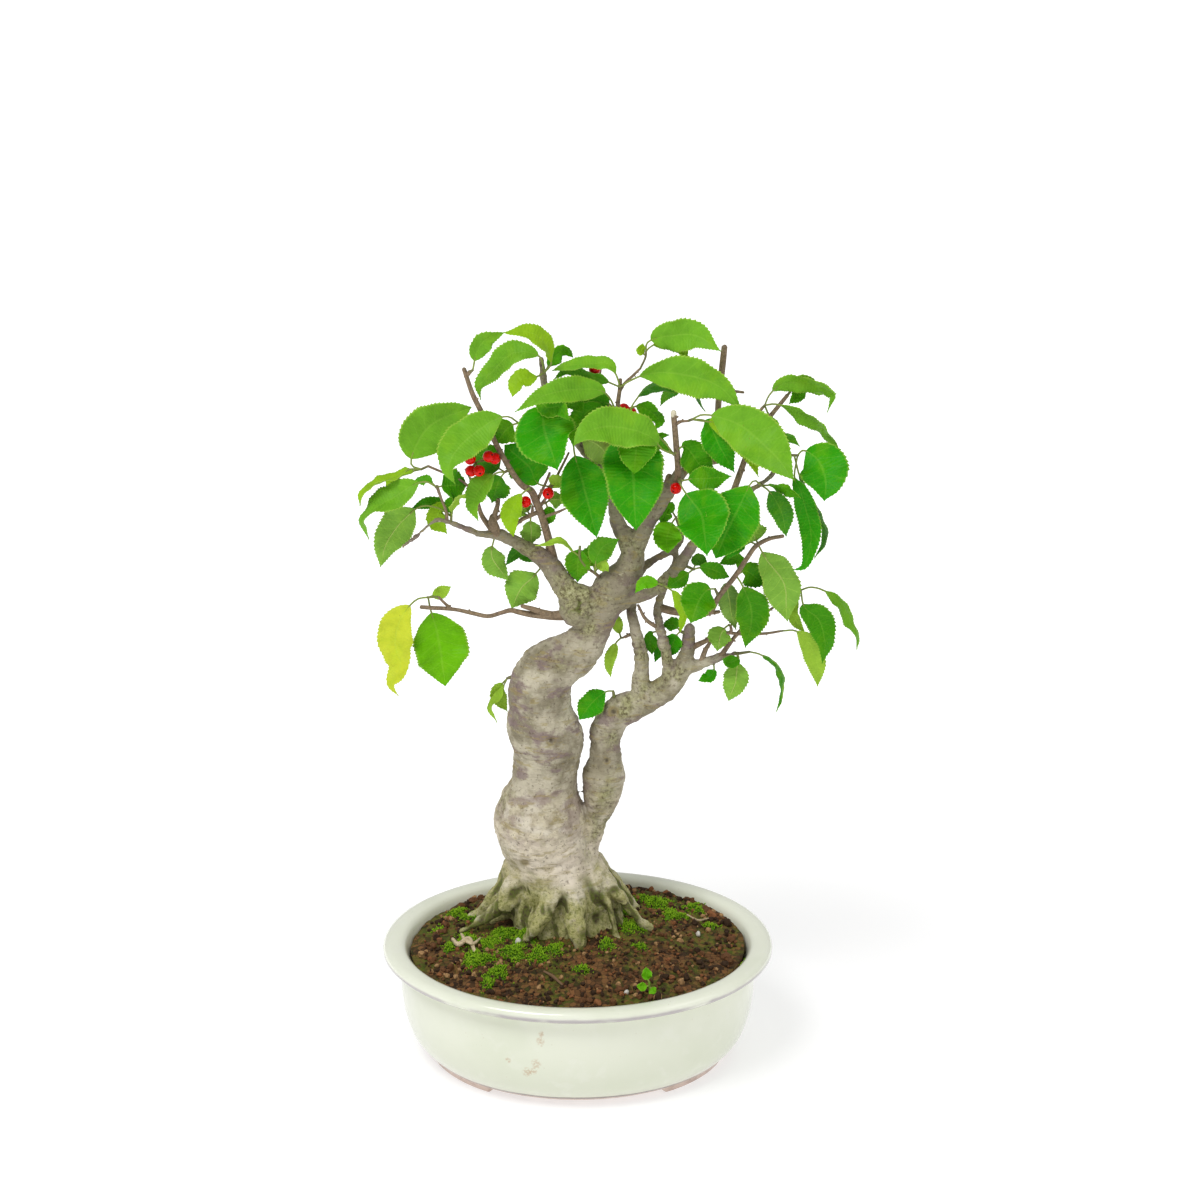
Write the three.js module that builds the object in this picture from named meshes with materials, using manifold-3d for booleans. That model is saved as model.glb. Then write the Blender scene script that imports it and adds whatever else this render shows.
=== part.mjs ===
// Japanese winterberry bonsai in an oval glazed pot: an old trunk with a second stem,
// bare pruned twigs, leafy sprays with toothed leaves, and a few red berries.
// Millimetres, +Z up. The view that the layout is read in looks along +Y, 20 degrees down.
import * as THREE from "three";
import { mergeVertices } from "three/addons/utils/BufferGeometryUtils.js";
import Module from "manifold-3d";

// The pot's driving sizes.
const POT_LENGTH = 182.5;
const POT_DEPTH = 150;
const POT_HEIGHT = 56;
const FOOT_HEIGHT = 3.6;
const FLOOR_TOP = 8;
const DRAIN_HOLE = 9;
const DRAIN_OFFSET = 30;
const GAP = 0.35;

// Leaves, stalks and berries.
const BLADE_THICKNESS = 0.7;
const STALK_WIDTH = 0.95;
const BERRY_RADIUS = 2.6;

// The layout's view: its tilt, how far off the eye is, and the point that it looks at.
const VIEW_TILT = THREE.MathUtils.degToRad(20);
const VIEW_DISTANCE = 1250;
const VIEW_TARGET = new THREE.Vector3(10.4, 0, 224.3);
const VIEW_UP = new THREE.Vector3(0, Math.sin(VIEW_TILT), Math.cos(VIEW_TILT));
const VIEW_AHEAD = new THREE.Vector3(0, Math.cos(VIEW_TILT), -Math.sin(VIEW_TILT));
const EYE = VIEW_TARGET.clone().addScaledVector(VIEW_AHEAD, -VIEW_DISTANCE);

const wasm = await Module();
wasm.setup();

// The point at depth y that is seen u to the right of the target and v above it.
function seen(u, v, y) {
  const onPlane = VIEW_TARGET.clone().addScaledVector(VIEW_UP, v);
  onPlane.x += u;
  const ray = onPlane.sub(EYE);
  return EYE.clone().addScaledVector(ray, (y - EYE.y) / ray.y);
}

// A repeatable draw between 0 and 1.
function seeded(seed) {
  let state = seed;
  return () => {
    state = (state * 1664525 + 1013904223) % 4294967296;
    return state / 4294967296;
  };
}

function solidOf(geometry) {
  const bare = new THREE.BufferGeometry();
  bare.setAttribute("position", geometry.getAttribute("position").clone());
  bare.setIndex(geometry.getIndex());
  const merged = mergeVertices(bare, 1e-3);
  return new wasm.Manifold(
    new wasm.Mesh({
      numProp: 3,
      vertProperties: new Float32Array(merged.attributes.position.array),
      triVerts: new Uint32Array(merged.index.array),
    }),
  );
}

function boxSolid([x, y, z], [atX, atY, atZ]) {
  return solidOf(new THREE.BoxGeometry(x, y, z).translate(atX, atY, atZ));
}

function geometryOf(solid) {
  const mesh = solid.getMesh();
  const geometry = new THREE.BufferGeometry();
  geometry.setAttribute("position", new THREE.BufferAttribute(mesh.vertProperties, 3));
  geometry.setIndex(new THREE.BufferAttribute(mesh.triVerts, 1));
  geometry.computeVertexNormals();
  return geometry;
}

// The largest body of a solid: a cut can leave loose scraps, which are dropped.
function largestBody(solid) {
  const bodies = solid.decompose();
  bodies.sort((a, b) => b.volume() - a.volume());
  return bodies[0];
}

function unionOf(solids) {
  return wasm.Manifold.union(solids);
}

// A closed solid through a row of rings, each with the same number of points, running
// anticlockwise when looked at from the far end. Every quad is split along the diagonal
// from the near ring's first point, or the other one where flip says so for that side.
function ringSolid(rings, flip = () => false) {
  const count = rings[0].length;
  const positions = rings.flat().flatMap((p) => [p.x, p.y, p.z]);
  const index = [];
  for (let i = 0; i + 1 < rings.length; i++) {
    for (let j = 0; j < count; j++) {
      const k = (j + 1) % count;
      const [a, b, c, d] = [i * count + j, i * count + k, (i + 1) * count + k, (i + 1) * count + j];
      if (flip(j)) index.push(a, b, d, b, c, d);
      else index.push(a, b, c, a, c, d);
    }
  }
  const last = (rings.length - 1) * count;
  for (let j = 1; j + 1 < count; j++) {
    index.push(0, j + 1, j);
    index.push(last, last + j, last + j + 1);
  }
  const geometry = new THREE.BufferGeometry();
  geometry.setAttribute("position", new THREE.Float32BufferAttribute(positions, 3));
  geometry.setIndex(index);
  return solidOf(geometry);
}

// Frames carried along a curve without twist: the point, the direction and two side vectors.
function framesAlong(curve, steps) {
  const frames = [];
  let side = null;
  for (let i = 0; i <= steps; i++) {
    const t = i / steps;
    const ahead = curve.getTangent(t);
    side ??= new THREE.Vector3(0.31, 0.87, 0.38);
    side = side.clone().addScaledVector(ahead, -side.dot(ahead)).normalize();
    frames.push({ t, at: curve.getPoint(t), ahead, side, other: ahead.clone().cross(side) });
  }
  return frames;
}

// The points without those that lie within the tolerance of the line past them.
function thinned(points, tolerance) {
  const kept = [points[0]];
  for (let i = 1; i + 1 < points.length; i++) {
    const [a, p, b] = [kept[kept.length - 1], points[i], points[i + 1]];
    const whole = [0, 1, 2].map((k) => b[k] - a[k]);
    const part = [0, 1, 2].map((k) => p[k] - a[k]);
    const share = (whole[0] * part[0] + whole[1] * part[1] + whole[2] * part[2]) / Math.hypot(...whole) ** 2;
    const off = Math.hypot(...whole.map((w, k) => part[k] - w * share));
    const girth = Math.abs(p[3] - (a[3] * (1 - share) + b[3] * share));
    if (off > tolerance || girth > tolerance / 2) kept.push(p);
  }
  kept.push(points[points.length - 1]);
  return kept;
}

// A tapering limb with rounded ends through points [u, v, y, radius], its girth a little
// uneven as wood is. grow makes it fatter, for the clearance that other pieces keep to it.
function limb(allPoints, { tolerance = 0, sides = 6, steps = 2, uneven = 0, grow = 0, seed = 1 } = {}) {
  const points = thinned(allPoints, tolerance);
  const curve = new THREE.CatmullRomCurve3(points.map(([u, v, y]) => seen(u, v, y)), false, "centripetal");
  const count = (points.length - 1) * steps;
  const phase = seed * 1.7;
  const swell = 1 / Math.sqrt(Math.cos(Math.PI / sides));
  const rings = framesAlong(curve, count).map(({ t, at, side, other }, i) => {
    const place = Math.min(t * (points.length - 1), points.length - 1.0001);
    const from = Math.floor(place);
    const share = place - from;
    const radius = (points[from][3] * (1 - share) + points[from + 1][3] * share) * swell;
    return Array.from({ length: sides }, (_, j) => {
      const turn = (2 * Math.PI * j) / sides;
      const wave = Math.sin(3 * turn + 0.9 * i + phase) * 0.6
        + Math.sin(2 * turn - 0.7 * i + 2 * phase) * 0.4;
      const reach = radius * (1 + uneven * wave) + grow;
      return at
        .clone()
        .addScaledVector(side, Math.cos(turn) * reach)
        .addScaledVector(other, Math.sin(turn) * reach);
    });
  });
  const endCap = (ring, at, ahead, radius) =>
    ring.map((p) => p.clone().sub(at).multiplyScalar(0.55).add(at).addScaledVector(ahead, radius * 0.45));
  const first = curve.getPoint(0);
  const final = curve.getPoint(1);
  const startRadius = points[0][3] * swell + grow;
  const endRadius = points[points.length - 1][3] * swell + grow;
  rings.unshift(endCap(rings[0], first, curve.getTangent(0).negate(), startRadius));
  rings.push(endCap(rings[rings.length - 1], final, curve.getTangent(1), endRadius));
  return ringSolid(rings);
}

// The trunk and the thick limbs: [u, v, y, radius] from the root end on.
const TRUNK = [
  [-17, -160, 16, 11], [-17, -150, 16, 15], [-17.5, -140, 16, 18.5], [-18.5, -130, 16, 20.5],
  [-20.5, -120, 16, 21.6], [-22.5, -112, 16, 19.8], [-25.5, -105, 16, 21.2], [-27, -98, 16, 22],
  [-26.4, -90, 16, 19.7], [-25.2, -83, 16, 16], [-24.8, -76, 15, 14.8], [-24, -69, 15, 15.6],
  [-24, -62, 15, 17.2], [-26, -55, 15, 16.6], [-26.8, -47, 15, 14.4], [-27, -40.5, 14, 14.6],
  [-24.5, -33, 13, 13.6], [-18.5, -28, 12, 12.3], [-12, -24, 11, 10.8], [-6.3, -18.5, 10, 9],
  [-2, -12, 10, 7.9], [0.5, -5, 10, 8.4], [4, 2.5, 10, 8.8], [8.8, 8.3, 10, 8.2],
  [12.8, 14, 10, 6.7], [14.6, 20.5, 10, 5.7], [14.6, 26, 10, 4.7],
];
const SECOND_STEM = [
  [-10, -116, 18, 8], [-4.5, -105, 17, 6], [-1.5, -98, 17, 5.6], [0, -92, 17, 7],
  [0.9, -85, 17, 9.5], [1.7, -78, 17, 10.1], [2.7, -71, 17, 7.5], [2.5, -64, 17, 6.9],
  [3.7, -57, 17, 7.9], [8, -50.5, 16, 7.7], [16, -46.8, 15, 7.4], [24, -43, 14, 6.6],
  [31, -38.4, 14, 5.6], [36, -32, 14, 4.9], [38.5, -25, 14, 3.9], [39.6, -18, 14, 3],
  [40, -12, 14, 2.4],
];
const LIMBS = [
  [[-2, -6, 10, 6.5], [-9.5, -3.8, 9, 9.2], [-13, 0, 9, 6.5]],
  [[-8, 0, 9, 7.2], [-13, 3.2, 9, 6], [-17, 8.5, 9, 4.9], [-21.5, 14.5, 8, 4.5], [-27, 20, 8, 3.7],
    [-33, 23, 7, 3.2], [-40, 27, 6, 2.8], [-47, 29.3, 5, 2.2], [-54, 29.6, 4, 1.6], [-60, 32, 3, 1.3],
    [-69, 35.3, 2, 1], [-73, 35.8, 0, 0.8], [-78, 32.5, -2, 0.75], [-83, 28, -3, 0.7], [-88.5, 24, -4, 0.65]],
  [[4, -1.5, 8, 4.8], [9, -1, 7, 4], [13, 0.8, 7, 3.2], [18, 2, 7, 2.8], [24, 3.8, 8, 2.9], [28.5, 8, 9, 3],
    [33.5, 12.5, 9, 3], [37.5, 18.5, 8, 2.8], [42, 25, 6, 2.4], [49, 33, 2, 2], [57, 41, -2, 1.8],
    [65, 47.5, -4, 1.5], [72, 52, -5, 1.2], [77, 56, -5, 1.05], [80, 61, -4, 0.95], [83, 65, -4, 0.9]],
  [[19, -42, 14, 4.8], [18.5, -36, 14, 3.9], [19, -30, 13, 3.6], [18, -23, 13, 3.7], [16, -15, 13, 3.1],
    [14.3, -8, 15, 2.5], [13.8, -2, 19, 2.3], [15, 7, 21, 2.2], [20, 15, 20, 2], [28, 20, 17, 1.8],
    [33, 22.6, 15, 1.4], [36, 25.5, 14, 1.2], [37, 28.5, 13, 0.95]],
  [[31, -37, 14, 3.6], [30.5, -30, 13, 2.9], [29.5, -24, 12, 2.6], [27.7, -16, 12, 2.4], [26, -8, 14, 2.2],
    [26.3, -1, 17, 2.1], [29, 6, 18, 2], [32.5, 13, 18, 1.8], [33.8, 19, 17, 1.5], [34, 23.5, 16, 1.2]],
  [[13.6, 21, 10, 4.6], [12, 27, 10, 4.2], [8.5, 33, 10, 3.5], [6.8, 39, 10, 3], [6.3, 48, 11, 2.8],
    [5, 56, 12, 2.7], [0, 61, 13, 2.6], [-5, 65.5, 14, 2.4], [-10, 71, 14, 2.2], [-15, 79, 14, 2],
    [-20, 88, 13, 1.8], [-24.5, 95, 12, 1.7], [-25.5, 102, 11, 1.5], [-26.3, 108, 10, 1.4]],
  [[15, 21, 10, 4.6], [18, 28, 10, 4.2], [20.5, 33.5, 9, 3.9], [24.5, 40, 8, 3.7], [29, 47, 7, 3.5],
    [33.5, 53, 6, 3.2], [35.5, 57, 6, 2.5]],
  [[36, -31, 14, 3.6], [44, -29, 13, 3], [49, -27.3, 12, 2.1], [54, -25.2, 11, 1.6], [60.5, -24, 10, 1.2]],
];
// Twigs, pruned stubs and spurs, all bare of leaves in their own length.
const TWIGS = [
  [[-18, 8, 10, 3], [-20, 13, 10, 2.7], [-21.3, 20, 10, 2.2], [-23.3, 28, 9, 1.9], [-26, 37, 7, 1.8],
    [-28.7, 44, 5, 1.8], [-31, 49, 4, 1.6], [-35, 51.5, 3, 1.3], [-41, 60, 2, 1.2], [-47.5, 72, 1, 1.15],
    [-53, 84, 1, 1.15], [-57, 92, 1, 1.1], [-61, 103.5, 1, 1]],
  [[-60, 100, 1, 0.8], [-58.3, 102.2, 0, 0.95]],
  [[-46.5, 29.5, 5, 2.3], [-48, 35, 4, 2.1], [-48, 37.5, 4, 1.6]],
  [[-49, 32, 5, 1.3], [-53, 38, 6, 1.1], [-54.8, 44, 7, 0.8], [-57, 49, 8, 0.65], [-58, 54, 8, 0.55],
    [-60.3, 58.6, 8, 0.5]],
  [[-57.2, 49.5, 8, 0.6], [-63, 54, 7, 0.55], [-70, 57, 6, 0.55], [-77, 60, 4, 0.55]],
  [[-47.8, 36, 4, 1.3], [-46.3, 41, 3, 1.1], [-45.5, 45, 3, 0.95]],
  [[-47, 36, 4, 0.9], [-43.5, 38.5, 2, 0.75], [-42, 40, 1, 0.6]],
  [[-25.5, 37, 7, 0.8], [-20, 39, 5, 0.65], [-15.6, 40.8, 4, 0.5]],
  [[-27, 39.5, 6, 1.1], [-31, 38, 4, 1], [-35, 36, 2, 0.95], [-38.7, 33, 1, 0.9]],
  [[-30.5, 38, 4, 0.7], [-30.2, 42, 4, 0.55]],
  [[-27.5, 41, 6, 0.9], [-23.5, 47, 8, 0.65], [-20.5, 53, 9, 0.6], [-17, 60, 10, 0.55], [-14, 66, 10, 0.5]],
  [[-28.6, 43.6, 5, 0.9], [-25.5, 50, 7, 0.65], [-22.5, 57, 8, 0.55]],
  [[-13.5, 6, 11, 2], [-13.3, 12, 11, 1.3], [-14, 18, 11, 0.8]],
  [[2, 8, 10, 1], [-2, 11.8, 8, 0.75], [-6, 14.5, 7, 0.6]],
  [[-12, -6, 9, 3], [-19.5, -7, 9, 2.2], [-25, -7, 8, 1.7], [-31, -6.5, 8, 1.4], [-36, -5.5, 7, 1.2],
    [-40, -4.6, 7, 1.1], [-44, -5.6, 6, 1], [-50, -7.2, 5, 1], [-57, -5.9, 4, 1], [-64, -4.4, 3, 0.9],
    [-70, -3.8, 3, 0.95], [-75, -3.6, 2, 0.95], [-80.2, -3.2, 2, 0.9]],
  [[-22, -6.4, 8, 1.5], [-28, -4.8, 7, 1.3], [-35, -2.6, 6, 0.95]],
  [[-66.5, -4.2, 3.1, 0.9], [-70, -1, 3, 0.65], [-72.5, 1.4, 2.4, 0.55]],
  [[-68.5, 35, 2, 0.85], [-69, 40, 1, 0.65], [-71, 45, 0, 0.6], [-73, 51, -1, 0.75]],
  [[5.3, 53, 12, 1.7], [9, 62, 12, 1.4], [9.5, 72, 11, 1.2], [8.2, 82, 10, 1.1], [8, 88, 9, 1],
    [8.8, 94, 8, 0.95], [9.2, 98.8, 8, 0.85]],
  [[8.6, 93, 8, 0.8], [11, 97, 7, 0.65], [15, 100.8, 6, 0.6], [18, 103.6, 5.2, 0.55]],
  [[8.2, 80, 10, 0.8], [4, 86, 12, 0.75], [0.5, 91, 13, 0.7], [-0.4, 97, 12, 0.7], [0.2, 104.5, 11, 0.6]],
  [[-19.5, 87, 13, 0.9], [-28, 84, 8, 0.65], [-34.3, 79, 3, 0.55]],
  [[29.5, 47, 7, 2.2], [31, 55.5, 7, 1.6]],
  [[33.5, 52, 6, 2.3], [38, 58, 8, 1.9], [45, 61.5, 14, 1.6], [53, 63, 17, 1.5], [53, 74, 18, 1.4],
    [53, 87, 17, 1.4], [54, 98, 15, 1.4], [55, 107, 14, 1.4], [55.8, 113.5, 13, 1.3]],
  [[34.8, 54, 3.5, 1.7], [35, 60, 1, 1.4], [34, 70, 0, 1.35], [33.3, 80, 0, 1.35], [33, 83, 0, 1.2]],
  [[33.4, 78.5, 0, 0.85], [36.5, 80, 0, 0.65], [39.5, 80.2, -1, 0.55]],
  [[53.4, 92, 16, 0.8], [59, 93.5, 14, 0.65], [64.3, 93, 12, 0.6]],
  [[54, 101, 14.6, 1.1], [51.2, 102, 14, 0.9]],
  [[18.6, 30, 10.5, 2.6], [18.8, 38, 13, 1.9], [20, 44.5, 14, 1.2], [23.5, 46.6, 13, 0.6]],
  [[57, 41, -2, 1.5], [62, 55, 0, 1.4], [67, 68, 2, 1.25], [72, 77, 4, 1.1], [76, 82, 5, 1], [80, 87, 5, 0.9],
    [84, 91.8, 5, 0.85]],
  [[72.2, 78, 4, 0.85], [71, 83.5, 4, 0.75], [72.8, 86.1, 4, 0.7]],
  [[27, -3.5, 16, 1.9], [32, -4.8, 14, 1.8], [37, -5.5, 12, 1.7], [44, -6, 8, 1.5], [49, -5.5, 5, 1.3],
    [53, 1.3, 2, 1.2], [60.5, 10.8, -2, 1.15], [66, 19, -4, 1.1], [70, 24.3, -5, 1.1], [76, 27.5, -6, 0.95],
    [82, 28.6, -7, 0.85]],
  [[48, -5.8, 5.5, 1.1], [53.4, -5.3, 5, 0.85]],
  [[26.8, -13.2, 12.8, 1], [20.5, -8.5, 10, 0.85], [17, -2.3, 8, 0.6]],
  [[13.5, -15.5, 13.5, 0.9], [10.5, -16.8, 13, 0.55]],
  [[42, -21, 13.5, 1.5], [48, -18, 10, 1.1], [53, -15.6, 8, 0.95], [58.5, -14.3, 6, 0.85],
    [58.5, -11.5, 6, 0.6]],
  [[54, -25, 11, 1.2], [58.5, -19, 9, 1.05], [61, -15.8, 8.4, 0.9], [64.3, -12, 8, 0.85]],
  [[45.5, -27, 12.5, 1.4], [48, -21, 13, 0.95], [50, -18.3, 13, 0.8]],
  [[57, -14.6, 6.8, 0.8], [66, -15.4, 9, 0.7], [74, -15, 10, 0.65], [80.5, -14, 9.4, 0.55]],
  [[66, -15.4, 9, 0.65], [72, -8, 12, 0.6], [78, -3, 13, 0.6], [84, 1.2, 12, 0.55], [88.6, 3.7, 11, 0.5]],
];
// Surface roots, from under the trunk out and down into the soil.
const ROOTS = [
  [[-13, -128, 6, 9], [-12, -140, 1, 7.2], [-11, -149, -3, 5.4], [-10, -156, -6, 3.4], [-10, -163, -7, 2.6]],
  [[-24, -128, 8, 8], [-24.5, -139, 5, 6], [-27, -147, 2, 4.4], [-30, -152, 0, 3], [-33, -158, 0, 2.2]],
  [[-32, -126, 14, 9], [-39, -135, 13, 5.6], [-46, -141, 14, 3.6], [-52, -146, 14, 2.6], [-57, -151, 13, 2]],
  [[-36, -121, 19, 9], [-42, -130, 23, 5.6], [-49, -136.5, 25, 4], [-56, -142, 26, 2.8], [-61, -147, 26, 2]],
  [[-4, -124, 12, 8], [2.5, -133, 10, 4.8], [5.5, -141, 7, 3], [9.5, -148, 6, 2.2], [12, -153, 5, 1.7]],
  [[-3, -124, 17, 8], [7.5, -132, 21, 5.2], [13.5, -138, 23, 3.8], [20, -143, 24, 2.8], [26, -148, 24, 2]],
  [[-22, -120, 30, 8], [-26, -124, 40, 5.4], [-30, -128, 47, 3.6], [-33, -133, 51, 2.4]],
  [[-10, -122, 27, 8], [0, -128, 35, 5], [7, -132, 41, 3.4], [12, -137, 45, 2.4]],
];

function treeSolid(grow) {
  const solids = [
    limb(TRUNK, { sides: 10, steps: 1, uneven: 0.035, grow, seed: 1 }),
    limb(SECOND_STEM, { sides: 8, steps: 1, uneven: 0.04, grow, seed: 2 }),
  ];
  LIMBS.forEach((points, i) => {
    solids.push(limb(points, { tolerance: 0.9, sides: 5, steps: 1, uneven: 0.05, grow, seed: i + 3 }));
  });
  TWIGS.forEach((points, i) => {
    solids.push(limb(points, { tolerance: 0.9, sides: 3, steps: 1, grow, seed: i + 20 }));
  });
  ROOTS.forEach((points, i) => {
    solids.push(limb(points, { sides: 5, steps: 1, uneven: 0.08, grow, seed: i + 60 }));
  });
  return unionOf(solids);
}

// One leaf on its stalk. leaf = [width, roll at the base, roll at the tip, y of the base, y of the
// tip, then [u, v] points from the stalk's foot to the tip]. A width may be [width, stalk's share].
// At roll 0 the upper face looks at the eye, at 90 the blade is seen edge on, and at 180 it shows
// its underside.
// Broad leaves are folded a little along the midrib; the others are flat.
const BROAD = 13;
const SMALL = 7.5;
const FOOT_WIDTH = 0.3;
const STALK_SHARE = 0.17;
const KEEL = THREE.MathUtils.degToRad(14);
const WIDEST = 0.43;
const SHAPE_BASE = 0.75;
const SHAPE_TIP = 1;
const SHAPE_MOST = WIDEST ** SHAPE_BASE * (1 - WIDEST) ** SHAPE_TIP;

function leafCurve([, , , yBase, yTip, ...points]) {
  const lengths = [0];
  for (let i = 1; i < points.length; i++) {
    const [du, dv] = [points[i][0] - points[i - 1][0], points[i][1] - points[i - 1][1]];
    lengths.push(lengths[i - 1] + Math.hypot(du, dv));
  }
  const whole = lengths[lengths.length - 1];
  return new THREE.CatmullRomCurve3(
    points.map(([u, v], i) => seen(u, v, yBase + ((yTip - yBase) * lengths[i]) / whole)),
    false,
    "centripetal",
  );
}

function leafSolid(leaf) {
  const [size, rollBase, rollTip] = leaf;
  const [width, stalkShare] = Array.isArray(size) ? size : [size, STALK_SHARE];
  const curve = leafCurve(leaf);
  const broad = width >= BROAD;
  const bladeSteps = broad ? 6 : width < SMALL ? 4 : 5;
  const rings = [];
  for (let i = 0; i <= bladeSteps + 1; i++) {
    const blade = Math.max(i - 1, 0) / bladeSteps;
    const along = i ? stalkShare + (1 - stalkShare) * blade : 0;
    const at = curve.getPointAt(along);
    const ahead = curve.getTangentAt(along);
    const facing = EYE.clone().sub(at);
    facing.addScaledVector(ahead, -facing.dot(ahead)).normalize();
    const across = ahead.clone().cross(facing);
    const roll = THREE.MathUtils.degToRad(rollBase + (rollTip - rollBase) * blade);
    const up = facing.clone().multiplyScalar(Math.cos(roll)).addScaledVector(across, Math.sin(roll));
    const side = across.clone().multiplyScalar(Math.cos(roll)).addScaledVector(facing, -Math.sin(roll));
    const tooth = i % 2 ? 1.06 : 0.92;
    const outline = (blade ** SHAPE_BASE * (1 - blade) ** SHAPE_TIP) / SHAPE_MOST;
    const half = i ? Math.max((width / 2) * outline * tooth, STALK_WIDTH / 2) : FOOT_WIDTH;
    const lift = blade > 0 && blade < 1 ? Math.tan(KEEL) * half : 0;
    const point = (share, thick) =>
      at
        .clone()
        .addScaledVector(side, share * half)
        .addScaledVector(up, (Math.abs(share) - 0.6) * lift + (thick * BLADE_THICKNESS) / 2);
    const ring = [point(-1, 1), point(0, 1), point(1, 1), point(1, -1), point(0, -1), point(-1, -1)];
    rings.push(broad ? ring : [ring[0], ring[2], ring[3], ring[5]]);
  }
  return ringSolid(rings, (j) => (broad ? j === 1 || j === 4 : j === 2));
}

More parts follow.
